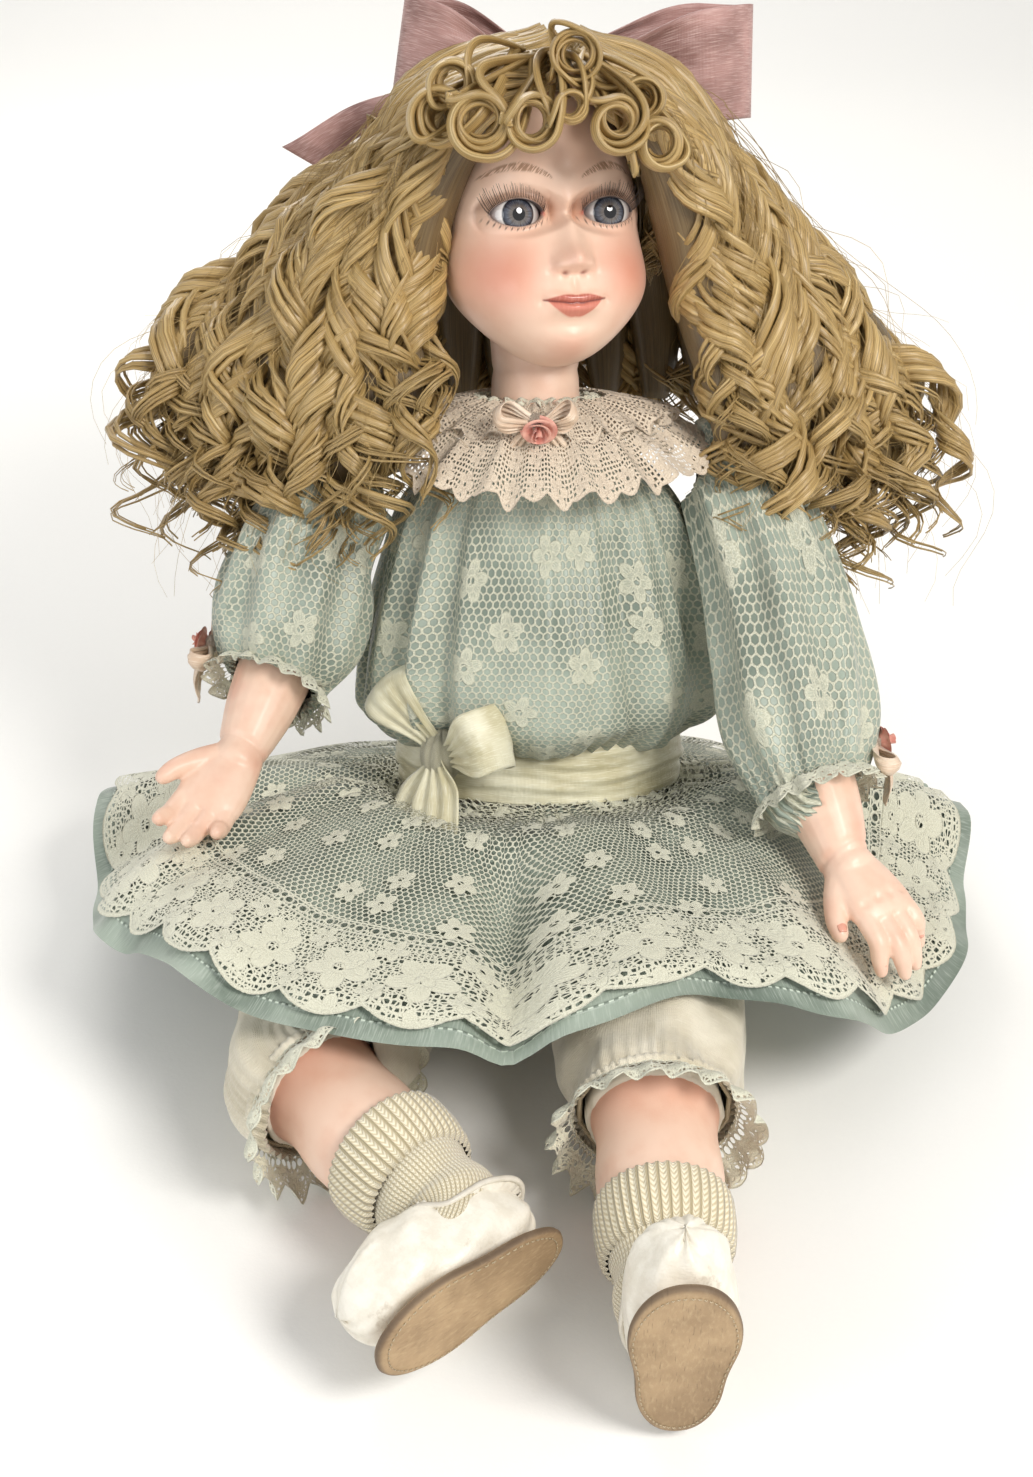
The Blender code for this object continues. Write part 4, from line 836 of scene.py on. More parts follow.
# ---------------------------------------------------------------- fabrics
MINT = shade(160, 172, 158)
MINT_DEEP = shade(110, 123, 111)
MINT_LIGHT = shade(202, 210, 198)
LACE = shade(222, 221, 202)
LACE_DEEP = shade(178, 176, 152)
CREAM = shade(236, 232, 206)
CREAM_DEEP = shade(196, 186, 146)


def weave(u, v, pitch):
    """Threads over and under, about one pitch apart."""
    return u.wave(pitch) * 0.5 + v.wave(pitch) * 0.5


def satin(name, light, base, deep, roughness):
    cloth_finish = Finish(name, Roughness=roughness, Sheen_Weight=0.25, Sheen_Roughness=0.4, Anisotropic=0.35)
    spot = cloth_finish.spot("UV")
    u, v = spot.part("X"), spot.part("Y")
    slub = cloth_finish.noise(cloth_finish.joined(u * 12.0, v * 160.0), 14.0, 3.0)
    cloud = cloth_finish.noise(spot, 38.0, 3.0)
    colour = cloth_finish.mix(cloud.within(0.30, 0.70), deep, base)
    colour = cloth_finish.mix(slub.within(0.45, 0.75) * 0.5, colour, light)
    creases = cloth_finish.noise(cloth_finish.joined(u, v * 0.35), 120.0, 3.0, 0.6)
    threads = weave(u, v, THREAD_PITCH)
    height = creases + threads * 0.10 + slub * 0.18
    return cloth_finish.done(colour, roughness - 0.06 + slub * 0.16, height=height, depth=0.0009)


def flower_mask(local_x, local_y, size, turn):
    """Five petals with an open middle, from 0 outside to 1 on the thread."""
    out = (local_x * local_x + local_y * local_y).root()
    angle = local_y.maths("ARCTAN2", local_x)
    lobes = abs((angle * 2.5 + turn).cosine())
    edge = size * (0.52 + lobes * 0.48)
    petal = 1 - (out / edge).within(0.90, 1.02)
    eye = (out / size).within(0.14, 0.20)
    rim = ((out / edge) - 0.90).fall(0.14)
    heart = ((out / size) - 0.24).fall(0.06)
    hatch = (angle * 30.0).cosine() * 0.12 + 0.74
    return (petal * eye * hatch + rim * 0.5 + heart * 0.4).least(1.0) * petal.most(rim)


def hexagons(u, v, wide, tall):
    """Net of long six-sided holes: 1 on the thread, 0 in the holes."""
    near_x = (u / wide).maths("FRACT") - 0.5
    near_y = (v / tall).maths("FRACT") - 0.5
    far_x = (u / wide + 0.5).maths("FRACT") - 0.5
    far_y = (v / tall + 0.5).maths("FRACT") - 0.5
    near = ((near_x * wide) ** 2.0 + (near_y * tall) ** 2.0).root()
    far = ((far_x * wide) ** 2.0 + (far_y * tall) ** 2.0).root()
    to_other = abs(near - far)
    own_x = abs(near_x) * (near < far) + abs(far_x) * (1 - (near < far))
    to_beside = (0.5 - own_x) * wide * 1.7
    gap = to_other.least(to_beside)
    middle = near.least(far)
    knot = (middle / wide).within(0.46, 0.60) * (1 - gap.within(0.0008, 0.0014))
    return (1 - gap.within(0.00045, 0.00090)).most(knot)


def lace_pattern(finish, u, v):
    """How much thread covers the cloth, for net with scattered flowers."""
    sway = finish.noise(finish.joined(u, v), 60.0, 2.0) - 0.5
    side = finish.noise(finish.joined(u + 3.0, v), 60.0, 2.0) - 0.5
    mesh = hexagons(u + sway * 0.0035, v + side * 0.0035, NET_HOLE, NET_HOLE * 1.62)
    place = finish.joined(u, v)
    centre = finish.cells(place, 1 / FLOWER_PITCH, "Position", "F1", 0.75)
    away = add_node(finish.tree, "ShaderNodeVectorMath", {"operation": "SUBTRACT"}, {}, (place, centre))
    turned = centre.part("X") * 911.0 + centre.part("Y") * 577.0
    blooms = flower_mask(away.part("X"), away.part("Y"), 0.0076, turned)
    return mesh.most(blooms), blooms


def lace_over_satin(name):
    dress = Finish(name, Roughness=0.6, Sheen_Weight=0.20, Sheen_Roughness=0.5)
    spot = dress.spot("UV")
    u, v = spot.part("X"), spot.part("Y")
    threads, blooms = lace_pattern(dress, u, v)
    cloud = dress.noise(spot, 30.0, 3.0)
    under = dress.mix(cloud.within(0.3, 0.7), MINT_DEEP, MINT)
    twist = dress.noise(dress.joined(u * 3.0, v * 3.0), 900.0, 2.0)
    over = dress.mix(twist.within(0.3, 0.7), LACE_DEEP, LACE)
    colour = dress.mix(threads * 0.82 + 0.04, under, over)
    height = threads * 0.7 + blooms * 0.5 + twist * threads * 0.2
    return dress.done(colour, 0.40 + threads * 0.40, height=height, depth=0.00045)


def border_lace(name, length, repeat=FLOWER_PITCH, deep=0.046, tint=1.0):
    """Net with flowers, a worked border and a scalloped, corded edge; clear between its threads."""
    lace = Finish(name, Roughness=0.75, Sheen_Weight=0.30, Sheen_Roughness=0.5)
    spot = lace.spot("UV")
    u, v = spot.part("X"), spot.part("Y")
    threads, blooms = lace_pattern(lace, u, v)
    edge = length - v
    cell = (u / repeat).maths("FRACT")
    local = (cell - 0.5) * repeat
    scallop = 0.0058 * (1 - (local * (math.pi / repeat)).cosine())
    inside = (edge - scallop).within(-0.0002, 0.0002)
    border = 1 - edge.within(deep - 0.001, deep + 0.001)
    fine = lace.cells(lace.joined(u, v), 1 / 0.0021, "Distance", "DISTANCE_TO_EDGE", 0.5)
    ground = (1 - fine.within(0.10, 0.20)) * border
    row = deep * 0.44
    big = flower_mask(local, edge - row - 0.002, min(repeat * 0.43, deep * 0.33), 0.6)
    half_cell = ((u / repeat + 0.5).maths("FRACT") - 0.5) * repeat
    small = flower_mask(half_cell, edge - deep * 0.80, min(repeat * 0.22, deep * 0.15), 0.2)
    petals = flower_mask(half_cell, edge - 0.0125, min(repeat * 0.18, deep * 0.13), 1.2)
    cord = (edge - scallop - 0.0009).fall(0.0008)
    second = (edge - scallop - 0.0042).fall(0.0005)
    dot_x = ((u / (repeat / 4)).maths("FRACT") - 0.5) * (repeat / 4)
    dots = (dot_x * dot_x + (edge - deep) ** 2.0).root()
    eyelets = (dots - 0.0019).fall(0.0006)
    straight = (edge - deep - 0.0032).fall(0.0005).most((edge - deep + 0.0032).fall(0.0005))
    worked = ground.most(big).most(small).most(petals).most(second)
    all_threads = threads.most(worked).most(eyelets).most(straight) * (dots.within(0.0012, 0.0015))
    all_threads = all_threads.most(cord) * inside
    raised = (big + small + petals + cord + eyelets + straight).least(1.0) * border.most(eyelets)
    twist = lace.noise(spot, 2600.0, 2.0)
    pale, dark = [tuple(c * tint for c in colour) for colour in (LACE, LACE_DEEP)]
    colour = lace.mix(twist.within(0.3, 0.7) * 0.7, pale, dark)
    height = all_threads * 0.5 + raised * 0.6 + blooms * 0.4 + twist * 0.15
    return lace.done(colour, 0.72, alpha=all_threads.within(0.25, 0.55), height=height, depth=0.0006)


def eyelet_lace(name, length):
    """Close beige lace with rows of eyelets and a scalloped edge."""
    lace = Finish(name, Roughness=0.8, Sheen_Weight=0.25)
    spot = lace.spot("UV")
    u, v = spot.part("X"), spot.part("Y")
    edge = length - v
    local = ((u / EYELET_REPEAT).maths("FRACT") - 0.5) * EYELET_REPEAT
    scallop = 0.0026 * (1 - (local * (math.pi / EYELET_REPEAT)).cosine())
    inside = (edge - scallop).within(-0.0002, 0.0002)
    fine = lace.cells(lace.joined(u, v), 1 / 0.0019, "Distance", "DISTANCE_TO_EDGE", 0.35)
    ground = 1 - fine.within(0.17, 0.30)
    row = ((v / EYELET_ROW).maths("FRACT") - 0.5) * EYELET_ROW
    blooms = flower_mask(local, row, EYELET_REPEAT * 0.40, 0.3)
    cord = (edge - scallop - 0.0008).fall(0.0007)
    threads = ground.most(blooms).most(cord) * inside
    twist = lace.noise(spot, 2200.0, 2.0)
    colour = lace.mix(twist.within(0.3, 0.7), shade(226, 212, 192), shade(196, 178, 154))
    height = threads * 0.5 + blooms * 0.5 + cord * 0.4 + twist * 0.2
    return lace.done(colour, 0.8, alpha=threads.within(0.2, 0.45), height=height, depth=0.0006)


# ---------------------------------------------------------------- bodice
def bodice_shape(turn, run):
    high = WAIST_LOW + SASH_HEIGHT
    stations = curve_through(
        (
            (high - 0.006, 0.0560, 0.0372, 0.0),
            (high + 0.002, 0.0640, 0.0450, -0.001),
            (high + 0.010, 0.0715, 0.0530, -0.002),
            (high + 0.026, 0.0735, 0.0550, -0.002),
            (high + 0.046, 0.0700, 0.0520, -0.001),
            (high + 0.068, 0.0640, 0.0450, 0.0),
            (high + 0.090, 0.0570, 0.0390, 0.0),
            (high + 0.108, 0.0430, 0.0340, 0.0),
            (high + 0.118, 0.0300, 0.0290, -0.002),
        ),
        60,
    )
    height, wide, deep, back = np.moveaxis(read_along(stations, run), -1, 0)
    angle = 2 * math.pi * turn
    across, depth = np.cos(angle), np.sin(angle)
    front = eased((-depth - 0.05) / 0.5)
    middle = bump(across, 0, 0.27) * front
    gathers = 0.0017 * np.sin(46 * angle + 2.2 * np.sin(5 * angle)) * (0.35 + bump(run, 0.0, 0.16) * 1.6)
    folds = 0.0030 * np.sin(13 * angle + 1.4 * np.sin(3 * angle + 0.5) + 1.2 * run)
    folds = folds + 0.0018 * np.sin(22 * angle + 3.0 * run + 1.0)
    plain = bump(run, 0.42, 0.42) * (1 - middle)
    tucks = 0.0016 * np.abs(np.sin(30 * across * math.pi / 2)) * middle * eased((run - 0.06) / 0.2)
    sag = 0.0040 * bump(run, 0.17, 0.13) * (1 + 0.8 * np.sin(4 * angle + 0.6))
    out = gathers * (1 - 0.6 * middle) + folds * plain + tucks + sag
    drop = -0.0030 * bump(run, 0.10, 0.10) * (1 + np.sin(7 * angle))
    x = (wide + out) * across
    y = back + (deep + out) * depth
    return stacked(x, y, height + drop)


def make_bodice():
    bodice = cloth("bodice_lace", bodice_shape, 260, 90, (0.46, 0.150), TORSO)
    finished(bodice, lace_over_satin("bodice_fabric"), "torso", "bodice", slot="mint_satin")
    cut_cloth(bodice, 0.42)


def make_sash():
    ribbon = satin("sash_satin", shade(250, 249, 232), CREAM, CREAM_DEEP, 0.30)

    def band(turn, run):
        angle = 2 * math.pi * turn
        wide, deep = WAIST_HALF_WIDTH + 0.0030, WAIST_HALF_DEPTH + 0.0030
        pull = 0.5 + 0.5 * np.cos(angle - 4.0)
        creases = 0.0007 * np.sin(run * 17 + 1.5 * np.sin(3 * angle) + 2 * pull)
        creases = creases + 0.0004 * np.sin(run * 31 + 2.0 * np.sin(5 * angle + 1.0))
        belly = 0.0012 * np.sin(math.pi * run) + creases * np.abs(np.sin(math.pi * run)) ** 0.5
        slope = 0.0016 * np.sin(2 * angle + 0.7)
        height = WAIST_LOW + 0.0005 + (SASH_HEIGHT - 0.001) * run + slope * 0.4
        return stacked((wide + belly) * np.cos(angle), (deep + belly) * np.sin(angle), height)

    sash = cloth("sash_ribbon", band, 220, 44, (0.31, 0.026), TORSO)
    thicken(sash, RIBBON_WALL)
    finished(sash, ribbon, "torso", "sash", slot="cream_satin")
    cut_cloth(sash, SASH_RIBBON_WIDTH)

    front = -(WAIST_HALF_DEPTH + 0.012)
    at = TORSO @ Matrix.Translation((-0.040, front + 0.005, WAIST_LOW + SASH_HEIGHT * 0.80))
    at = at @ Matrix.Rotation(math.radians(-38), 4, "Z")
    long_tail = ((0, -0.004, 0), (0.006, -0.012, -0.014), (0.012, -0.022, -0.030), (0.020, -0.040, -0.037))
    short_tail = ((0, -0.003, 0), (-0.004, -0.008, -0.016), (-0.006, -0.018, -0.030))
    short_tail = (*short_tail, (-0.004, -0.030, -0.035))
    folds = [
        bow_loop(0.040, 0.027, 0.011, math.radians(128), 1),
        bow_loop(0.034, 0.026, 0.010, math.radians(22), 2),
        bow_tail(long_tail, 0.026, 3),
        bow_tail(short_tail, 0.024, 4),
        creased_knot(0.0085, 0.0075, 0.0100),
    ]
    bow = grids("sash_bow_ribbon", folds, at)
    thicken(bow, RIBBON_WALL)
    finished(bow, ribbon, "torso", "sash_bow", slot="cream_satin")
    cut_cloth(bow, SASH_RIBBON_WIDTH)


def bow_loop(length, width, depth, tilt, seed):
    """One loop of ribbon: out from the knot along X and back, its width standing along Z."""
    rng = random.Random(seed)
    a, b = rng.uniform(0, 6), rng.uniform(0, 6)

    def shape(turn, run):
        out = np.sin(math.pi * turn)
        x = length * np.abs(out) ** 0.85
        y = -depth * np.sin(2 * math.pi * turn) * (0.85 + 0.3 * out)
        pinch = 0.30 + 0.70 * eased(out * 1.25)
        across = (run - 0.5) * width * pinch
        ripple = (1 - out) * 0.0016 * np.sin(run * 25 + a) + 0.0011 * out * np.sin(run * 5 + 7 * turn + b)
        cup = 0.0022 * out * (2 * run - 1) ** 2
        return stacked(x - cup, y + ripple, across + 0.0014 * np.sin(5 * turn + b))

    points, uvs, closed = cloth_grid(shape, 54, 18, (2.3 * length, width))
    return moved(points, Matrix.Rotation(-tilt, 4, "Y")), uvs, closed


def bow_tail(stations, width, seed):
    """A hanging end of ribbon, pinched at the knot and cut slanting."""
    path = curve_through(stations, 40)
    tangents, _, _ = frames_of(path)
    side = unit(np.cross(tangents, np.array((0.0, -1.0, 0.25))))
    face = np.cross(side, tangents)
    rng = random.Random(seed)
    a = rng.uniform(0, 6)

    def shape(turn, run):
        t = turn * 39
        low = np.minimum(t.astype(int), 38)
        part = (t - low)[..., None]
        slant = np.where(turn > 0.93, 0.06 * (run - 0.5), 0)[..., None]
        spot = path[low] * (1 - part) + path[low + 1] * part + tangents[low] * slant * 0.05
        pinch = (0.30 + 0.70 * eased(turn * 2.8))[..., None]
        ripple = (1 - turn) * 0.0014 * np.sin(run * 22 + a) + 0.0012 * np.sin(6 * turn + run * 4 + a) * turn
        return spot + side[low] * (run - 0.5)[..., None] * width * pinch + face[low] * ripple[..., None]

    return cloth_grid(shape, 40, 16, (0.05, width))


def creased_knot(wide, deep, high):
    """The knot of a bow: a small wrapped form with creases running up it."""
    points, uvs, closed = ball_grid((0, 0, 0), (1, 1, 1), 40, 20)
    angle = np.arctan2(points[..., 1], points[..., 0])
    crease = 1 + 0.07 * np.sin(9 * angle) + 0.04 * np.sin(17 * angle + 1)
    return points * np.array((wide, deep, high)) * crease[..., None], uvs, closed


def rosebud(size, matrix):
    """Petals of rolled satin round a tight heart."""
    petals = []
    starts = (0.0, 1.9, 4.1, 0.8, 3.2)
    radii = (0.24, 0.46, 0.66, 0.88, 1.00)
    heights = (0.95, 0.88, 0.76, 0.60, 0.48)
    for number, (start, radius, height) in enumerate(zip(starts, radii, heights)):

        def shape(turn, run, start=start, radius=radius, height=height, number=number):
            angle = start + 4.6 * turn
            flare = 0.30 + 0.70 * run**0.7 + 0.18 * run**4 * (number > 1)
            rim = 1 - 0.20 * (2 * turn - 1) ** 4
            r = size * radius * flare
            z = size * (height * rim * run * 1.25 - 0.25 * run**5 * (number > 1) - 0.35)
            return stacked(r * np.cos(angle), r * np.sin(angle), z)

        points, uvs, closed = cloth_grid(shape, 22, 9, (size * 4, size))
        petals.append((moved(points, matrix), uvs, closed))
    return petals


def rose_satin():
    rose = Finish("rosebud_satin", Roughness=0.45, Sheen_Weight=0.5, Sheen_Roughness=0.4)
    spot = rose.spot("UV")
    vein = rose.noise(rose.stretched(spot, (1.0, 0.2, 1.0)), 900.0, 2.0)
    tone = rose.noise(rose.spot(), 220.0, 2.0)
    colour = rose.mix(tone.within(0.35, 0.65), shade(232, 178, 160), shade(204, 132, 118))
    return rose.done(colour, 0.45, height=vein, depth=0.0002)


# ---------------------------------------------------------------- collar
def collar_shape(reach, ruffle, lift, phase):
    inner_wide, inner_deep = 0.0270, 0.0262
    outer_wide, outer_deep = 0.0770, 0.0610
    top, shoulder_line = 0.1925, 0.1730
    flutes = 23

    def shape(turn, run):
        angle = 2 * math.pi * turn
        across, back = np.cos(angle), np.sin(angle)
        far = run * reach
        wide = inner_wide + (outer_wide - inner_wide) * far
        deep = inner_deep + (outer_deep - inner_deep) * far
        edge = np.where(back < 0, 0.1600, 0.1580)
        outer = shoulder_line * across**2 + edge * back**2
        height = top + (outer - top) * far**1.55
        wave = np.sin(flutes * angle + phase) + 0.5 * np.sin(37 * angle + 2 * phase)
        height = height + lift + ruffle * run**1.6 * wave + 0.0008 * (1 - run) * np.sin(60 * angle)
        wide = wide + ruffle * 0.5 * run**1.6 * np.cos(flutes * angle + phase)
        return stacked(wide * across, deep * back - 0.0045 * (1 - run), height)

    return shape


def make_collar():
    eyelet = eyelet_lace("collar_lace", COLLAR_DROP)
    lower_shape = collar_shape(1.0, 0.0026, 0.0, 0.4)
    lower = cloth("collar_lower", lower_shape, 420, 30, (0.62, COLLAR_DROP), TORSO)
    finished(lower, eyelet, "torso", "collar", slot="eyelet")
    cut_cloth(lower, COLLAR_DROP)
    short = eyelet_lace("collar_upper_lace", UPPER_COLLAR_DROP)
    upper_shape = collar_shape(0.58, 0.0022, 0.0030, 2.0)
    upper = cloth("collar_upper", upper_shape, 420, 22, (0.52, UPPER_COLLAR_DROP), TORSO)
    finished(upper, short, "torso", slot="eyelet")
    cut_cloth(upper, UPPER_COLLAR_DROP)

    make_neck_frill()
    make_neck_bow()


def make_neck_frill():
    trim = border_lace("neck_trim_lace", NECK_FRILL_WIDTH, repeat=0.0105, deep=0.010, tint=1.08)

    def ruff(turn, run):
        angle = 2 * math.pi * turn
        radius = NECK_RADIUS + 0.0018 + 0.0085 * run + 0.0012 * run * np.sin(24 * angle)
        height = 0.0105 - 0.0035 * run + 0.0020 * run * np.sin(24 * angle + 1.2)
        return round_at(radius, angle, height + 0.002 * np.sin(math.pi * run))

    frill = cloth("neck_frill", ruff, 300, 14, (0.157, NECK_FRILL_WIDTH), NECK)
    finished(frill, trim, "torso", "neck_trim", slot="lace")
    cut_cloth(frill, NECK_FRILL_WIDTH)


def make_neck_bow():
    light, base, deep = shade(252, 244, 228), shade(240, 222, 200), shade(206, 176, 148)
    cream = satin("small_bow_satin", light, base, deep, 0.34)
    at = TORSO @ Matrix.Translation((-0.002, -0.0475, 0.1900)) @ Matrix.Rotation(math.radians(35), 4, "X")
    bow = small_bow("neck_bow_ribbon", at, 0.017)
    finished(bow, cream, "torso", "neck_bow", slot="cream_satin")
    bud = grids("neck_rosebud", bud_grids(0.0062, at @ Matrix.Translation((0.001, -0.0045, 0.0))))
    finished(bud, rose_satin(), "torso", slot="cream_satin")


def bud_grids(size, at):
    facing = at @ Matrix.Rotation(math.radians(90), 4, "X")
    return rosebud(size, facing)


def small_bow(name, at, length):
    width = 0.0085
    long_tail = ((0, -0.001, 0), (0.006, -0.003, -0.007), (0.011, -0.003, -0.015), (0.015, -0.001, -0.021))
    short_tail = ((0, -0.001, 0), (-0.005, -0.003, -0.008), (-0.009, -0.003, -0.016))
    short_tail = (*short_tail, (-0.010, -0.001, -0.023))
    folds = [
        bow_loop(length, width, 0.0035, math.radians(12), 6),
        bow_loop(length, width, 0.0035, math.radians(168), 4),
        bow_tail(long_tail, width, 6),
        bow_tail(short_tail, width, 7),
        creased_knot(0.0030, 0.0030, 0.0040),
    ]
    bow = grids(name, folds, at)
    thicken(bow, 0.0003)
    return bow


# ---------------------------------------------------------------- skirt
LAP_HALF_WIDTHS = {side: abs(leg["knee"].x) + PANTALOON_RADIUS + 0.005 for side, leg in LEGS.items()}


def skirt_surface(turn, run):
    """The draped skirt: gathered at the waist, over the lap in front, to the ground behind."""
    angle = 2 * math.pi * turn
    across, back = np.cos(angle), np.sin(angle)
    slack = 0.0012
    waist = stacked((WAIST_HALF_WIDTH + slack) * across, (WAIST_HALF_DEPTH + slack) * back, WAIST_LOW - 0.002)
    waist = moved(waist, TORSO)
    square = 0.80
    deep = np.where(back > 0, SKIRT_BACK, SKIRT_FRONT)
    short = 1 - 0.13 * bump(angle, 2 * math.pi * 0.79, 0.20)
    short = short - 0.05 * bump(angle, 2 * math.pi * 0.62, 0.18)
    hem_x = (SKIRT_HALF_WIDTH - 0.002) * np.sign(across) * np.abs(across) ** square - 0.004
    hem_y = deep * np.sign(back) * np.abs(back) ** square * short
    ahead = eased((-hem_y - 0.030) / 0.070)
    behind = eased(hem_y / 0.08)
    hem_z = SIDE_HEM_HEIGHT + (0.0014 - SIDE_HEM_HEIGHT) * behind
    x = waist[..., 0] + (hem_x - waist[..., 0]) * run
    y = waist[..., 1] + (hem_y - waist[..., 1]) * run
    z = waist[..., 2] + (hem_z - waist[..., 2]) * run
    thighs_end = np.where(x > 0, LAP_HALF_WIDTHS["left"], LAP_HALF_WIDTHS["right"])
    beside = eased((np.abs(x) - thighs_end) / 0.070)
    lap = LAP_HEIGHT - (LAP_HEIGHT - SIDE_HEM_HEIGHT) * beside
    over_the_lap = ahead * np.maximum(lap - z, 0) * eased(run / 0.28)
    z = z + over_the_lap + 0.009 * np.sin(math.pi * run) * (1 - ahead)
    gap = bump(x, -0.012, 0.0125) * eased((-y - 0.055) / 0.05)
    z = z - 0.017 * gap
    swing = 1.5 * np.sin(2 * angle + 0.5) + 0.8 * np.sin(5 * angle)
    wide_folds = 0.5 + 0.5 * np.cos(12 * angle + swing)
    thin_folds = 0.5 + 0.5 * np.cos(27 * angle + 1.3 * swing + 1.0)
    rise = 0.0105 * np.abs(wide_folds) ** 1.5 + 0.0040 * thin_folds
    calm = 1 - 0.45 * ahead
    z = z + rise * np.abs(run) ** 1.2 * calm * (1 - 0.4 * behind)
    spread = 1 + (0.022 * wide_folds + 0.006 * thin_folds) * run**2
    x, y = x * spread, y * np.where(back > 0, 1.0, spread)
    gathers = 0.0016 * np.sin(88 * angle + 3 * np.sin(7 * angle)) * np.exp(-run / 0.16)
    z = z + gathers
    droop = -0.0050 * eased((run - 0.90) / 0.10) * ahead * (1 - gap)
    return stacked(x, y, z + droop)


def skirt_offset(lift, reach, wave=0.0):
    """The skirt lifted off itself, as far down as a share of its length, with a rippled hem."""
    step = 0.002

    def shape(turn, run):
        far = run * reach
        here = skirt_surface(turn, far)
        round_it = skirt_surface(turn + step, far) - skirt_surface(turn - step, far)
        down_it = skirt_surface(turn, far + step) - skirt_surface(turn, far - step)
        normal = unit(np.cross(down_it, round_it))
        ripple = wave * np.sin(2 * math.pi * turn * 34) * eased((run - 0.75) / 0.25)
        return here + normal * (lift + ripple)[..., None]

    return shape


def lining_satin():
    lining = Finish("lining_satin", Roughness=0.36, Sheen_Weight=0.2, Sheen_Roughness=0.4, Anisotropic=0.3)
    spot = lining.spot("UV")
    u, v = spot.part("X"), spot.part("Y")
    cloud = lining.noise(spot, 26.0, 3.0)
    slub = lining.noise(lining.joined(u * 160.0, v * 10.0), 12.0, 3.0)
    colour = lining.mix(cloud.within(0.3, 0.7), MINT_DEEP, MINT)
    colour = lining.mix(slub.within(0.45, 0.75) * 0.4, colour, MINT_LIGHT)
    seam = (v - LINING_SEAM_AT).fall(0.0005)
    stitch = (v - LINING_SEAM_AT).fall(0.00035) * u.wave(0.0026).within(0.35, 0.5)
    colour = lining.mix(seam * 0.55, colour, MINT_DEEP)
    colour = lining.mix(stitch, colour, shade(214, 226, 210))
    threads = weave(u, v, THREAD_PITCH)
    height = slub * 0.3 + threads * 0.1 - seam * 0.8 + stitch * 0.6
    return lining.done(colour, 0.30 + slub * 0.14, height=height, depth=0.0006)


def make_skirt():
    size = (SKIRT_HEM_ROUND, LINING_DROP)
    lining = cloth("skirt_lining_satin", skirt_offset(0.0, 1.0), 420, 70, size)
    finished(lining, lining_satin(), "torso", "skirt_lining", slot="mint_satin")
    cut_cloth(lining, SKIRT_CUT_WIDTH)
    size = (SKIRT_HEM_ROUND, SKIRT_LACE_DROP)
    lace = cloth("skirt_lace_net", skirt_offset(0.0030, 0.965, 0.0012), 420, 70, size)
    finished(lace, border_lace("skirt_border_lace", SKIRT_LACE_DROP), "torso", "skirt_lace", slot="lace")
    cut_cloth(lace, SKIRT_CUT_WIDTH)


# ---------------------------------------------------------------- arms
def path_sheet(stations, folds):
    """shape(turn, run) round a smooth path of (x, y, z, radius), with folds(angle, run) on its radius."""
    rows = curve_through(stations, 80)
    _, first, second = frames_of(rows[:, :3])

    def shape(turn, run):
        spot = read_along(rows, run)
        angle = 2 * math.pi * turn
        radius = spot[..., 3] + folds(angle, run)
        ring = read_along(first, run) * np.cos(angle)[..., None]
        ring = ring + read_along(second, run) * np.sin(angle)[..., None]
        return spot[..., :3] + ring * radius[..., None]

    return shape


def make_sleeve(side, sign, fabric):
    arm = ARMS[side]
    body = f"arm_{side}"
    shoulder = mirrored(SHOULDER, sign)
    cuff, wrist = arm["cuff"], arm["wrist"]
    outward = Vector((sign, 0, 0))
    along = (wrist - cuff).normalized()
    stations = (
        (*(shoulder + outward * 0.0020 + Vector((0, 0, 0.001))), 0.0170),
        (*(shoulder + outward * 0.0150 + Vector((0, -0.002, -0.001))), 0.0225),
        (*(shoulder.lerp(cuff, 0.36) + outward * 0.0150), 0.0265),
        (*(shoulder.lerp(cuff, 0.62) + outward * 0.0095), 0.0300),
        (*(shoulder.lerp(cuff, 0.84) + outward * 0.0035), 0.0290),
        (*cuff, 0.0215),
        (*(cuff + along * 0.0030), 0.0178),
    )

    def folds(angle, run):
        ends = bump(run, 0.0, 0.22) + 1.2 * bump(run, 1.0, 0.20)
        fine = 0.0013 * np.sin(34 * angle + 2 * np.sin(3 * angle)) * ends
        broad = 0.0026 * np.sin(9 * angle + 2.4 * run + sign) * np.sin(math.pi * np.clip(run, 0, 1))
        cross = 0.0012 * np.sin(14 * run + 3 * np.sin(2 * angle + sign)) * bump(run, 0.5, 0.3)
        return fine + broad + cross

    sleeve = cloth(f"sleeve_puff_{side}", path_sheet(stations, folds), 200, 80, (0.20, 0.105))
    finished(sleeve, fabric, body, f"sleeve_{side}", slot="mint_satin")
    cut_cloth(sleeve, 0.20)

    make_cuff(side, outward, cuff, along)


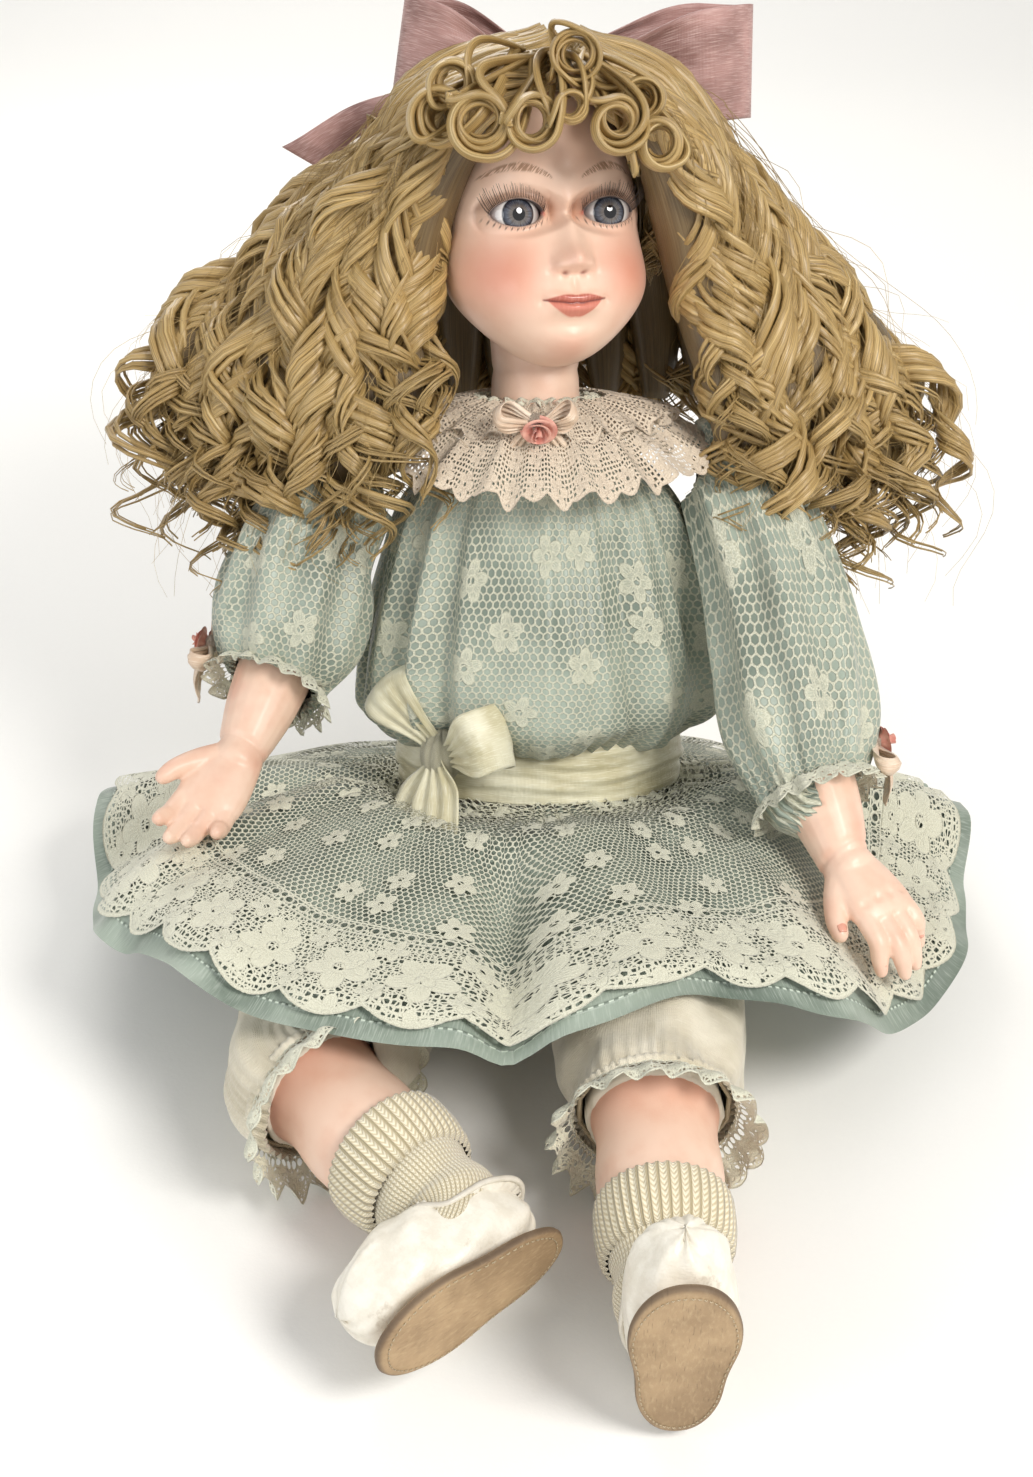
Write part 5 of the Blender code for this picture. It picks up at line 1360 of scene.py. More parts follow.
def make_cuff(side, outward, cuff, along):
    body = f"arm_{side}"
    at = frame_along(cuff, along, Vector((0, 0, 1)))
    trim = border_lace(f"cuff_lace_{side}", CUFF_FRILL_WIDTH, repeat=0.012, deep=0.012, tint=1.02)

    def ruffle(turn, run):
        angle = 2 * math.pi * turn
        wave = np.sin(15 * angle)
        radius = 0.0178 + 0.0090 * run + 0.0022 * run * wave + 0.0016 * np.sin(math.pi * run)
        return round_at(radius, angle, -0.001 + 0.0125 * run + 0.0010 * run * np.cos(15 * angle))

    frill = cloth(f"cuff_frill_{side}", ruffle, 240, 16, (0.18, CUFF_FRILL_WIDTH), at)
    finished(frill, trim, body, f"cuff_trim_{side}", slot="lace")
    cut_cloth(frill, CUFF_FRILL_WIDTH)

    aside = (outward - along * outward.dot(along)).normalized()
    knot = cuff - along * 0.0065 + aside * 0.0300
    upright = Vector((0, -0.3, 1))
    up = (upright - aside * aside.dot(upright)).normalized()
    seat = basis(up.cross(aside).normalized(), -aside, up, knot)
    bow = small_bow(f"cuff_bow_ribbon_{side}", seat, 0.0175)
    finished(bow, bpy.data.materials["small_bow_satin"], body, f"cuff_bow_{side}", slot="cream_satin")
    bud = grids(f"cuff_rosebud_{side}", bud_grids(0.0058, seat @ Matrix.Translation((0, -0.0040, 0))))
    finished(bud, bpy.data.materials["rosebud_satin"], body, slot="cream_satin")


def melted_mesh(rough, voxel, rounds):
    """A rough object's forms run together into one skin, then smoothed a number of rounds."""
    melt = rough.modifiers.new("melt", "REMESH")
    melt.mode = "VOXEL"
    melt.voxel_size = voxel
    smooth = rough.modifiers.new("smooth", "SMOOTH")
    smooth.factor = 0.5
    smooth.iterations = rounds
    graph = bpy.context.evaluated_depsgraph_get()
    graph.update()
    mesh = bpy.data.meshes.new_from_object(rough.evaluated_get(graph))
    mesh.polygons.foreach_set("use_smooth", [True] * len(mesh.polygons))
    rough.modifiers.clear()
    return mesh


def melted(name, sheets, voxel, matrix, rounds):
    """Closed forms run together into one smooth skin."""
    rough = grids(name + "_rough", [capped(s) for s in sheets], matrix)
    mesh = melted_mesh(rough, voxel, rounds)
    bpy.data.objects.remove(rough)
    obj = bpy.data.objects.new(name, mesh)
    obj.matrix_world = matrix
    bpy.context.scene.collection.objects.link(obj)
    return obj


def hand_flush(skin, spot):
    """Rosier patches over the hand."""
    return skin.noise(spot, 60.0, 1.0).within(0.45, 0.80) * 0.30


def make_forearm(side):
    arm = ARMS[side]
    elbow, wrist, tips = arm["elbow"], arm["wrist"], arm["tips"]
    hand = frame_along(wrist, tips - wrist, arm["palm"])
    across = hand.to_3x3() @ Vector((0, 1, 0))
    thumb_side = math.copysign(1, across.dot(arm["thumb"]))
    length = (tips - wrist).length
    to_hand = hand.inverted()

    def own(point):
        return to_hand @ point

    forms = []
    rows = [
        (*own(elbow), FOREARM_RADIUS - 0.002),
        (*own(elbow.lerp(wrist, 0.30)), FOREARM_RADIUS),
        (*own(elbow.lerp(wrist, 0.62)), FOREARM_RADIUS - 0.0012),
        (*own(elbow.lerp(wrist, 0.88)), WRIST_RADIUS + 0.0010),
        (0, 0, 0, WRIST_RADIUS - 0.0006),
        (0, 0, length * 0.12, WRIST_RADIUS - 0.0004),
        (0, 0, length * 0.20, WRIST_RADIUS - 0.0030),
    ]
    path = curve_through(rows, 30)
    forms.append(tube_grid(path[:, :3], path[:, 3], 20))

    palm_rows = (
        (0, 0, -0.002, 0.0095, 0.0072),
        (0, 0, length * 0.16, 0.0118, 0.0080),
        (0.0004, 0, length * 0.34, 0.0134, 0.0078),
        (0.0008, 0, length * 0.50, 0.0138, 0.0066),
        (0.0010, 0, length * 0.60, 0.0122, 0.0048),
    )
    palm = curve_through(palm_rows, 18)
    points, uvs, closed = tube_grid(palm[:, :3], 1.0, 20, hint=(1.0, 0.0, 0.0))
    centre = palm[:, None, :3]
    away = points - centre
    away[..., 1] *= palm[:, 3][:, None]
    away[..., 0] *= palm[:, 4][:, None]
    away[..., 2] = 0
    forms.append((centre + away, uvs, closed))

    curl = FINGER_CURL[side]
    for offset, reach, spread in FINGERS:
        y = offset * thumb_side
        wide = spread * thumb_side
        end = length * (0.98 * reach + 0.02)
        stations = (
            (0.0006, y * 0.85, length * 0.44, 0.0043),
            (0.0010, y, length * 0.56, 0.0042),
            (0.0012 + 0.0020 * curl, y + wide * 0.006, (length * 0.56 + end) / 2, 0.0039),
            (0.0024 + 0.0058 * curl, y + wide * 0.013, end - 0.0045, 0.0035),
            (0.0036 + 0.0090 * curl, y + wide * 0.016, end - 0.0012, 0.0026),
        )
        finger = curve_through(stations, 16)
        forms.append(tube_grid(finger[:, :3], finger[:, 3], 12))
        forms.append(ball_grid(finger[-1, :3], (0.0025,) * 3, 12, 8))
    thumb_rows = (
        (0.0012, thumb_side * 0.0060, length * 0.12, 0.0058),
        (0.0030, thumb_side * 0.0120, length * 0.26, 0.0054),
        (0.0046, thumb_side * 0.0172, length * 0.40, 0.0043),
        (0.0054, thumb_side * 0.0196, length * 0.52, 0.0034),
    )
    thumb = curve_through(thumb_rows, 14)
    forms.append(tube_grid(thumb[:, :3], thumb[:, 3], 14))
    forms.append(ball_grid(thumb[-1, :3], (0.0032,) * 3, 12, 8))
    skin = melted(f"porcelain_arm_{side}", forms, 0.00075, hand, 5)
    coords = np.empty(len(skin.data.vertices) * 3)
    skin.data.vertices.foreach_get("co", coords)
    coords = coords.reshape(-1, 3)
    dimple = np.zeros(len(coords))
    back = eased((0.001 - coords[:, 0]) / 0.004)
    for offset, _, _ in FINGERS:
        spot = np.array((offset * thumb_side * 0.95, length * 0.47))
        away = np.hypot(coords[:, 1] - spot[0], coords[:, 2] - spot[1])
        dimple += 0.0008 * np.exp(-((away / 0.0017) ** 2)) * back
    crease = 0.0007 * bump(coords[:, 2], -0.001, 0.0012)
    radial = unit(coords * np.array((1, 1, 0)))
    coords[:, 0] += dimple
    coords -= radial * crease[:, None]
    skin.data.vertices.foreach_set("co", coords.ravel())
    finished(skin, bpy.data.materials["hand_bisque"], f"arm_{side}", f"forearm_{side}", slot="bisque")

    places = []
    for offset, reach, spread in FINGERS:
        y = offset * thumb_side + spread * thumb_side * 0.0145
        end = length * (0.98 * reach + 0.02)
        spot = np.array((0.0030 + 0.0074 * curl - 0.0030, y, end - 0.0022))
        way = np.array((0.0012 + 0.0032 * curl, spread * thumb_side * 0.003, 0.0033))
        places.append((spot, way, (0.0015, 0.0019)))
    thumb_spot = thumb[-2, :3] + np.array((-0.0030, 0, 0.0004))
    places.append((thumb_spot, thumb[-1, :3] - thumb[-3, :3], (0.0018, 0.0021)))

    nails = []
    for spot, way, size in places:
        plate = frame_along(Vector(spot), Vector(way).normalized(), Vector((-1, 0, 0)))

        def shape(turn, run, size=size):
            y = (turn - 0.5) * 2 * size[0]
            z = (run - 0.5) * 2 * size[1]
            round_off = np.sqrt(np.clip(1 - (2 * run - 1) ** 2 * 0.55, 0.2, 1))
            return stacked(0.0006 - y**2 * 160 - z**2 * 40, y * round_off, z)

        points, uvs, closed = cloth_grid(shape, 8, 8, (0.003, 0.004))
        nails.append((moved(points, plate), uvs, closed))
    nail = grids(f"nails_{side}", nails, hand)
    thicken(nail, 0.00025)
    finished(nail, bpy.data.materials["nail_bisque"], f"arm_{side}", slot="bisque")


def nail_paint():
    nail = Finish("nail_bisque", Roughness=0.30, Coat_Weight=0.4)
    spot = nail.spot("UV")
    colour = nail.mix(nail.noise(spot, 600.0), shade(226, 168, 146), shade(208, 142, 122))
    return nail.done(colour, 0.30)


# ---------------------------------------------------------------- legs
def cotton(name):
    cloth_finish = Finish(name, Roughness=0.9, Sheen_Weight=0.35, Sheen_Roughness=0.5)
    spot = cloth_finish.spot("UV")
    u, v = spot.part("X"), spot.part("Y")
    cloud = cloth_finish.noise(spot, 45.0, 4.0)
    slub = cloth_finish.noise(cloth_finish.joined(u * 3.0, v * 40.0), 40.0, 2.0)
    colour = cloth_finish.mix(cloud.within(0.30, 0.70), shade(226, 218, 198), shade(204, 194, 170))
    colour = cloth_finish.mix(slub.within(0.5, 0.8) * 0.4, colour, shade(238, 232, 214))
    creases = cloth_finish.noise(spot, 130.0, 4.0, 0.6)
    height = creases * 0.8 + weave(u, v, 0.0007) * 0.25 + slub * 0.2
    return cloth_finish.done(colour, 0.88, height=height, depth=0.0008)


def wool_knit(name, rib=False):
    """Small V stitches in columns, or ribs with deep furrows between them, with painted shade between the
    stitches and in the furrows.
    """
    knit = Finish(name, Roughness=0.95, Sheen_Weight=0.5, Sheen_Roughness=0.5)
    spot = knit.spot("UV")
    u, v = spot.part("X"), spot.part("Y")
    gauge = RIB_GAUGE if rib else KNIT_GAUGE
    column = (u / gauge).maths("FRACT") - 0.5
    lean = (v / 0.0013 + abs(column) * 1.5).maths("FRACT") - 0.5
    stitch = (1 - abs(lean) * 1.6) * (abs(column) * math.pi).cosine()
    furrow = (abs(column) * 2.0).within(0.62, 1.0)
    fuzz = knit.noise(spot, 2600.0, 3.0)
    # Painted shade between the stitches and painted light on their crowns.
    colour = knit.mix(stitch.within(0.15, 0.8), shade(206, 192, 158), shade(244, 236, 212))
    # Painted shade: darker in the furrows.
    colour = knit.mix(furrow * (0.75 if rib else 0.35), colour, shade(184, 168, 130))
    height = stitch * 0.6 - furrow * (0.9 if rib else 0.3) + fuzz * 0.3
    return knit.done(colour, 0.95, height=height, depth=0.0007)


def shoe_leather():
    hide = Finish("white_shoe_leather", Roughness=0.38, Coat_Weight=0.25, Coat_Roughness=0.3)
    spot = hide.spot("UV")
    object_spot = hide.spot()
    pores = hide.cells(spot, 1500.0, "Distance", "F1", 1.0)
    creases = hide.noise(object_spot, 160.0, 4.0, 0.6)
    scuff = hide.noise(object_spot, 70.0, 5.0, 0.7)
    colour = hide.mix(creases.within(0.35, 0.65) * 0.5, shade(238, 233, 220), shade(214, 206, 188))
    low = 1 - (spot.part("Y") / 0.004).within(0.0, 1.0)
    colour = hide.mix(low * 0.65, colour, shade(92, 74, 56))
    colour = hide.mix(scuff.within(0.62, 0.72) * 0.4, colour, shade(168, 152, 128))
    return hide.done(colour, 0.34 + scuff * 0.22, height=creases * 0.8 - pores * 0.10, depth=0.0006)


def sole_leather():
    hide = Finish("tan_sole_leather", Roughness=0.6)
    spot = hide.spot()
    edge = hide.spot("UV").part("Y")
    fibre = hide.noise(hide.stretched(spot, (1.0, 2.4, 1.0)), 320.0, 4.0, 0.65)
    cloud = hide.noise(spot, 46.0, 4.0)
    scratch = hide.noise(hide.stretched(spot, (9.0, 120.0, 9.0)), 18.0, 2.0)
    colour = hide.mix(cloud.within(0.3, 0.7), shade(182, 154, 118), shade(150, 124, 92))
    colour = hide.mix(fibre.within(0.45, 0.75) * 0.4, colour, shade(204, 180, 144))
    colour = hide.mix(scratch.within(0.66, 0.72) * 0.35, colour, shade(112, 90, 66))
    rim = (edge - 0.5).fall(0.16)
    colour = hide.mix(rim * 0.75, colour, shade(66, 50, 40))
    height = fibre * 0.6 - scratch.within(0.66, 0.72) * 0.4
    return hide.done(colour, 0.5 + fibre * 0.25, height=height, depth=0.0004)


def foot_frame(leg):
    """Origin at the ankle, +X to the toe, +Z up the shin."""
    shin = (leg["knee"] - leg["ankle"]).normalized()
    toe = (leg["toe"] - shin * leg["toe"].dot(shin)).normalized()
    return basis(toe, shin.cross(toe), shin, leg["ankle"])


def foot_points(way, grow):
    """A foot with a flat underside, long in +X, from unit directions."""
    half_length = SHOE_LENGTH / 2 - 0.0050 + grow
    half_width = SHOE_WIDTH / 2 - 0.0050
    wx, wy, wz = way[..., 0], way[..., 1], way[..., 2]
    forward = 0.5 + 0.5 * wx
    instep = 1.0 - 0.45 * eased(forward)
    lift = np.where(wz > 0, 0.0205 * instep, FOOT_HEIGHT * 0.80)
    flat = np.where(wz < 0, -np.abs(wz) ** 0.5, wz)
    waist = 1 - 0.10 * bump(wx, -0.15, 0.35)
    return stacked(
        SHOE_LENGTH / 2 - HEEL_BACK + half_length * wx,
        (half_width * (0.84 + 0.16 * eased(forward)) * waist + grow) * wy,
        (lift + grow) * flat - 0.006,
    )


SOLE_LEVEL = -FOOT_HEIGHT * 0.80 - 0.006 - 0.0040


def mouth_angle(spot):
    """Which way round the shoe's opening a point is."""
    return np.arctan2(spot[1] / SHOE_MOUTH_HALF_WIDTH, (spot[0] - SHOE_MOUTH_AT) / SHOE_MOUTH_HALF_LENGTH)


def make_shoe_upper(side, hide, body, foot):
    across, rings = 120, 70
    turns = np.linspace(0, 2 * math.pi, across, endpoint=False)
    turn, rise = np.meshgrid(turns, np.linspace(0, math.pi, rings))
    way = stacked(np.cos(rise), np.sin(rise) * np.cos(turn), np.sin(rise) * np.sin(turn))
    points = foot_points(way, 0.0040)
    toe = eased((way[..., 0] - 0.35) / 0.5) * eased(way[..., 2] / 0.3)
    spokes = np.arctan2(way[..., 1], way[..., 2] + 0.2)
    pleats = 0.0009 * np.abs(np.sin(11 * spokes)) * toe * (1 - eased((way[..., 0] - 0.90) / 0.1))
    points = points + way * (pleats + 0.0006 * np.sin(5 * turn + 9 * way[..., 0]))[..., None]
    ahead = points[..., 0] - SHOE_MOUTH_AT
    opening = (ahead / SHOE_MOUTH_HALF_LENGTH) ** 2 + (points[..., 1] / SHOE_MOUTH_HALF_WIDTH) ** 2
    inside = (points[..., 2] > -0.004) & (opening < 1)
    share = np.where(inside, 1 / np.sqrt(np.maximum(opening, 0.01)), 1.0)
    snapped = points.copy()
    snapped[..., 0] = SHOE_MOUTH_AT + ahead * share
    snapped[..., 1] = points[..., 1] * share
    slide = np.clip((snapped[..., 0] - SHOE_MOUTH_AT) / SHOE_MOUTH_HALF_LENGTH, -1, 1)
    snapped[..., 2] = np.where(inside, np.minimum(points[..., 2], 0.0050 - 0.0025 * slide), points[..., 2])
    snapped, faces = pierced(snapped, inside)
    uvs = np.stack([snapped[..., 0], snapped[..., 2] - SOLE_LEVEL], axis=-1)
    upper = blank_mesh(f"shoe_leather_{side}", snapped, faces, uvs, foot)
    form = bmesh.new()
    form.from_mesh(upper.data)
    bmesh.ops.remove_doubles(form, verts=form.verts, dist=0.00001)
    loose = [v for v in form.verts if not v.link_faces]
    bmesh.ops.delete(form, geom=loose, context="VERTS")
    bmesh.ops.recalc_face_normals(form, faces=form.faces)
    rim = {tuple(v.co) for e in form.edges if e.is_boundary for v in e.verts}
    form.to_mesh(upper.data)
    form.free()
    thicken(upper, 0.0011, -1.0)
    finished(upper, hide, body, f"shoe_upper_{side}", slot="white_leather")

    angle = np.linspace(-math.pi, math.pi, 90, endpoint=False)
    rim = np.array(sorted(rim, key=mouth_angle))
    rim_angle = mouth_angle(rim.T)
    loop = [np.interp(angle, rim_angle, rim[:, k], period=2 * math.pi) for k in range(3)]
    loop = np.stack(loop, axis=1)
    for _ in range(4):
        loop = (np.roll(loop, 1, 0) + 2 * loop + np.roll(loop, -1, 0)) / 4
    loop = np.concatenate([loop, loop[:2]])
    binding = grids(f"shoe_binding_{side}", [tube_grid(loop, 0.0011, 10)], foot)
    finished(binding, hide, body, slot="white_leather")


def make_sole(side, sole_hide, body, foot):
    count = 140
    half = SHOE_WIDTH / 2 - 0.0006
    around = np.linspace(0, 2 * math.pi, count, endpoint=False)
    x = SHOE_LENGTH / 2 - HEEL_BACK + (SHOE_LENGTH / 2) * np.cos(around)
    forward = 0.5 + 0.5 * np.cos(around)
    width = half * (0.80 + 0.20 * eased(forward)) * (1 - 0.14 * bump(np.cos(around), -0.20, 0.35))
    y = width * np.sign(np.sin(around)) * np.abs(np.sin(around)) ** 0.86
    outline = np.stack([x, y], axis=1)
    middle = outline.mean(axis=0)
    shares = (0.0, 0.55, 0.86, 0.955, 0.985, 1.0, 0.990, 0.955, 0.80, 0.0)
    heights = (0.0, 0.0, 0.0, 0.0001, 0.0006, 0.0018, 0.0030, 0.0036, 0.0036, 0.0036)
    bottom = SOLE_LEVEL - 0.0044
    rows = []
    for share, height in zip(shares, heights):
        rows.append(np.column_stack([middle + (outline - middle) * share, np.full(count, bottom + height)]))
    points = np.stack(rows)
    v = np.array([0.0, 0.1, 0.2, 0.30, 0.42, 0.5, 0.6, 0.8, 0.9, 1.0])
    uvs = np.stack(np.meshgrid(v, np.linspace(0, 0.2, count + 1), indexing="ij")[::-1], axis=-1)
    sole = grids(f"sole_{side}", [(points, uvs, True)], foot)
    finished(sole, sole_hide, body, f"shoe_sole_{side}", slot="sole_leather")
    stitches = []
    inner = middle + (outline - middle) * 0.905
    for step in range(0, count, 2):
        a, b = inner[step], inner[(step + 1) % count]
        path = np.array([(*a, bottom - 0.0001), (*((a + b) / 2), bottom - 0.00035), (*b, bottom - 0.0001)])
        stitches.append(tube_grid(path, 0.00022, 5))
    seam = grids(f"sole_stitches_{side}", stitches, foot)
    finished(seam, bpy.data.materials["waxed_thread"], body, slot="thread")


def knee_flush(skin, spot):
    """A rosy knee, fading down the shin."""
    return (spot.part("Z") - 0.004).fall(0.020) * 0.55


def make_leg(side, sign, finishes):
    leg = LEGS[side]
    body = f"leg_{side}"
    hip = mirrored(HIP, sign)
    knee, ankle = leg["knee"], leg["ankle"]
    foot = foot_frame(leg)
    shin_way = (ankle - knee).normalized()
    at_knee = frame_along(knee, shin_way, Vector((0, 0, 1)))
    length = (ankle - knee).length
    rows = curve_through(
        (
            (0, 0, -0.012, KNEE_RADIUS - 0.006),
            (0, 0, 0.000, KNEE_RADIUS - 0.001),
            (0.0004, 0, length * 0.10, KNEE_RADIUS + 0.0002),
            (0, 0, length * 0.24, KNEE_RADIUS - 0.0018),
            (-0.0016, 0, length * 0.42, KNEE_RADIUS - 0.0008),
            (-0.0010, 0, length * 0.66, (KNEE_RADIUS + ANKLE_RADIUS) / 2),
            (0, 0, length, ANKLE_RADIUS - 0.0006),
            (0, 0, length + 0.010, ANKLE_RADIUS - 0.004),
        ),
        50,
    )
    shin = grids(f"porcelain_shin_{side}", [capped(tube_grid(rows[:, :3], rows[:, 3], 56))], at_knee)
    finished(shin, finishes["shin"], body, f"lower_leg_{side}", slot="bisque")

    knee_here = foot.inverted() @ knee
    shin_top = knee_here.normalized() * (knee_here.length * 0.44)
    sock_rows = (
        (*shin_top, ANKLE_RADIUS + (KNEE_RADIUS - ANKLE_RADIUS) * 0.42 + 0.0022),
        (*(shin_top * 0.55), ANKLE_RADIUS + 0.0034),
        (0.0, 0, 0.004, ANKLE_RADIUS + 0.0022),
        (0.008, 0, -0.006, ANKLE_RADIUS - 0.0004),
        (0.026, 0, -0.0125, 0.0135),
    )

    def slouch(angle, run):
        rolls = np.sin(9 * run * math.pi + 1.5 * np.sin(angle + sign))
        return 0.0010 * rolls * bump(run, 0.42, 0.28) + 0.0003 * np.sin(3 * angle)

    sock = cloth(f"sock_knit_{side}", path_sheet(sock_rows, slouch), 96, 60, (0.125, 0.060), foot)
    finished(sock, finishes["knit"], body, f"sock_{side}", slot="knit")
    cut_cloth(sock, 0.12)
    cuff_rows = (
        (*(shin_top * 1.06), ANKLE_RADIUS + 0.0058),
        (*(shin_top * 1.02), ANKLE_RADIUS + 0.0080),
        (*(shin_top * 0.80), ANKLE_RADIUS + 0.0080),
        (*(shin_top * 0.56), ANKLE_RADIUS + 0.0062),
        (*(shin_top * 0.50), ANKLE_RADIUS + 0.0036),
    )

    def ribs(angle, run):
        return 0.00055 * np.cos(RIBS_ROUND * angle) + 0.0007 * np.sin(2 * angle + 3 * run + sign)

    size = (RIBS_ROUND * RIB_GAUGE, 0.024)
    cuff = cloth(f"sock_cuff_{side}", path_sheet(cuff_rows, ribs), 352, 24, size, foot)
    finished(cuff, finishes["rib"], body, slot="knit")
    cut_cloth(cuff, 0.12)
    make_shoe_upper(side, finishes["leather"], body, foot)
    make_sole(side, finishes["sole"], body, foot)
    make_pantaloon(side, sign, finishes, hip, knee, ankle)


def make_pantaloon(side, sign, finishes, hip, knee, ankle):
    body = f"leg_{side}"
    thigh_way = (knee - hip).normalized()
    hem = knee.lerp(ankle, 0.10)
    start = hip + thigh_way * 0.020
    leg_rows = (
        (*start, PANTALOON_RADIUS - 0.012),
        (*hip.lerp(knee, 0.34), PANTALOON_RADIUS - 0.001),
        (*hip.lerp(knee, 0.62), PANTALOON_RADIUS),
        (*hip.lerp(knee, 0.86), PANTALOON_RADIUS - 0.001),
        (*knee.lerp(ankle, 0.02), PANTALOON_RADIUS - 0.0065),
        (*hem, KNEE_RADIUS + 0.0062),
    )

    def gathered(angle, run):
        close = bump(run, 1.0, 0.16)
        fine = 0.0012 * np.sin(38 * angle + 2 * np.sin(4 * angle)) * close
        broad = 0.0022 * np.sin(7 * angle + 3 * run + sign) * bump(run, 0.6, 0.4)
        cross = 0.0012 * np.sin(22 * run + 2 * np.sin(2 * angle + sign)) * bump(run, 0.75, 0.25)
        return fine + broad * 0.8 + cross - 0.0008

    pantaloon = cloth(f"pantaloon_leg_{side}", path_sheet(leg_rows, gathered), 200, 90, (0.22, 0.14))
    finished(pantaloon, finishes["cotton"], body, f"pantaloon_{side}", slot="cotton")
    cut_cloth(pantaloon, 0.23)

    at = frame_along(hem, hem - knee.lerp(ankle, -0.10), Vector((0, 0, 1)))

    def frill(turn, run):
        angle = 2 * math.pi * turn
        wave = np.sin(17 * angle + 0.8 * np.sin(3 * angle))
        radius = KNEE_RADIUS + 0.0060 + 0.0085 * eased(run * 1.3) + 0.0023 * run * wave
        return round_at(radius, angle, -0.0005 + 0.0165 * run + 0.0012 * run * np.cos(17 * angle))

    lace = cloth(f"pantaloon_frill_{side}", frill, 300, 20, (0.27, PANTALOON_FRILL_WIDTH), at)
    finished(lace, finishes["frill"], body, f"pantaloon_lace_{side}", slot="lace")
    cut_cloth(lace, PANTALOON_FRILL_WIDTH)

    band = cloth(f"pantaloon_band_{side}", gathered_band, 220, 8, (0.20, 0.005), at)
    finished(band, finishes["cotton"], body, slot="cotton")


def gathered_band(turn, run):
    angle = 2 * math.pi * turn
    radius = KNEE_RADIUS + 0.0058 + 0.0013 * np.sin(math.pi * run) + 0.0004 * np.sin(60 * angle)
    return round_at(radius, angle, -0.0030 + 0.0042 * run)


def make_arms_and_legs():
    porcelain("hand_bisque", hand_flush)
    nail_paint()
    plain_finishes()
    sleeve_fabric = lace_over_satin("sleeve_fabric")
    frill_lace = border_lace(
        "pantaloon_frill_lace", PANTALOON_FRILL_WIDTH, repeat=0.0150, deep=0.0150, tint=1.12
    )
    finishes = {
        "shin": porcelain("shin_bisque", knee_flush),
        "knit": wool_knit("sock_wool"),
        "rib": wool_knit("sock_rib_wool", rib=True),
        "leather": shoe_leather(),
        "sole": sole_leather(),
        "cotton": cotton("pantaloon_cotton"),
        "frill": frill_lace,
    }
    for side, sign in SIDES.items():
        make_sleeve(side, sign, sleeve_fabric)
        make_forearm(side)
        make_leg(side, sign, finishes)


# ---------------------------------------------------------------- hidden pieces
def plain_finishes():
    calico = Finish("calico", Roughness=0.9, Sheen_Weight=0.3)
    spot = calico.spot()
    x, y, z = spot.part("X"), spot.part("Y"), spot.part("Z")
    threads = x.wave(0.0006) * 0.4 + z.wave(0.0006) * 0.4 + y.wave(0.0006) * 0.2
    nap = calico.noise(spot, 300.0, 3.0)
    colour = calico.mix(nap.within(0.3, 0.7), shade(214, 202, 176), shade(190, 176, 148))
    calico.done(colour, 0.9, height=threads * 0.5 + nap * 0.5, depth=0.0003)

    cord = Finish("waxed_thread", Roughness=0.6)
    spot = cord.spot()
    twist = (spot.part("X") + spot.part("Y") + spot.part("Z")).wave(0.0008)
    # Painted shade and light: darker in the grooves of the twist, lighter on its ridges.
    colour = cord.mix(twist, shade(172, 152, 118), shade(222, 208, 178))
    cord.done(colour, 0.6, height=twist, depth=0.0002)

    steel = Finish("spring_steel", Metallic=1.0, Roughness=0.32)
    spot = steel.spot()
    brushed = steel.noise(steel.stretched(spot, (4.0, 4.0, 90.0)), 90.0, 3.0)
    colour = steel.mix(brushed.within(0.3, 0.7), shade(196, 196, 198), shade(150, 150, 154))
    steel.done(colour, 0.24 + brushed * 0.2, height=brushed, depth=0.00005)

    card = Finish("pate_card", Roughness=0.85)
    fibre = card.noise(card.spot(), 500.0, 4.0)
    colour = card.mix(fibre, shade(170, 144, 108), shade(138, 114, 82))
    card.done(colour, 0.85, height=fibre, depth=0.0002)

    plaster = Finish("eye_plaster", Roughness=0.95)
    grit = plaster.noise(plaster.spot(), 900.0, 4.0)
    colour = plaster.mix(grit, shade(232, 228, 218), shade(208, 202, 190))
    plaster.done(colour, 0.95, height=grit, depth=0.0002)


def padded_copy(node, name, material, body, slot):
    """A stuffed form: the frame's plain solid melted smooth."""
    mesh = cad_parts[node].data.copy()
    obj = bpy.data.objects.new(name, mesh)
    bpy.context.scene.collection.objects.link(obj)
    obj.matrix_world = IN_PLACE
    obj.data = melted_mesh(obj, 0.0016, 7)
    finished(obj, material, body, node, slot=slot)


def make_hidden():
    materials = bpy.data.materials
    calico, cotton_cloth = materials["calico"], materials["pantaloon_cotton"]
    padded_copy("cloth_body", "stuffed_body", calico, "torso", "calico")
    padded_copy("pantaloons_seat", "pantaloon_seat_cotton", cotton_cloth, "torso", "cotton")
    for side in SIDES:
        padded_copy(f"upper_arm_{side}", f"stuffed_arm_{side}", calico, f"arm_{side}", "calico")
        padded_copy(f"thigh_{side}", f"stuffed_thigh_{side}", calico, f"leg_{side}", "calico")
    keep = {"shoulder_plate": "neck_bisque", "crown_pate": "pate_card"}
    for node in ("neck_bolt", "neck_nut", "neck_washer", "neck_spring"):
        keep[node] = "spring_steel"
    for side in SIDES:
        keep[f"arm_tie_{side}"] = "waxed_thread"
        keep[f"leg_tie_{side}"] = "waxed_thread"
        keep[f"eye_plaster_{side}"] = "eye_plaster"
    for node, material in keep.items():
        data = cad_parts[node].data
        data.materials.clear()
        data.materials.append(materials[material])


# ---------------------------------------------------------------- wig
HAIR_DEPTH = 0.013
WIG_MIDDLE = np.array((0.0, 0.09, 0.27))
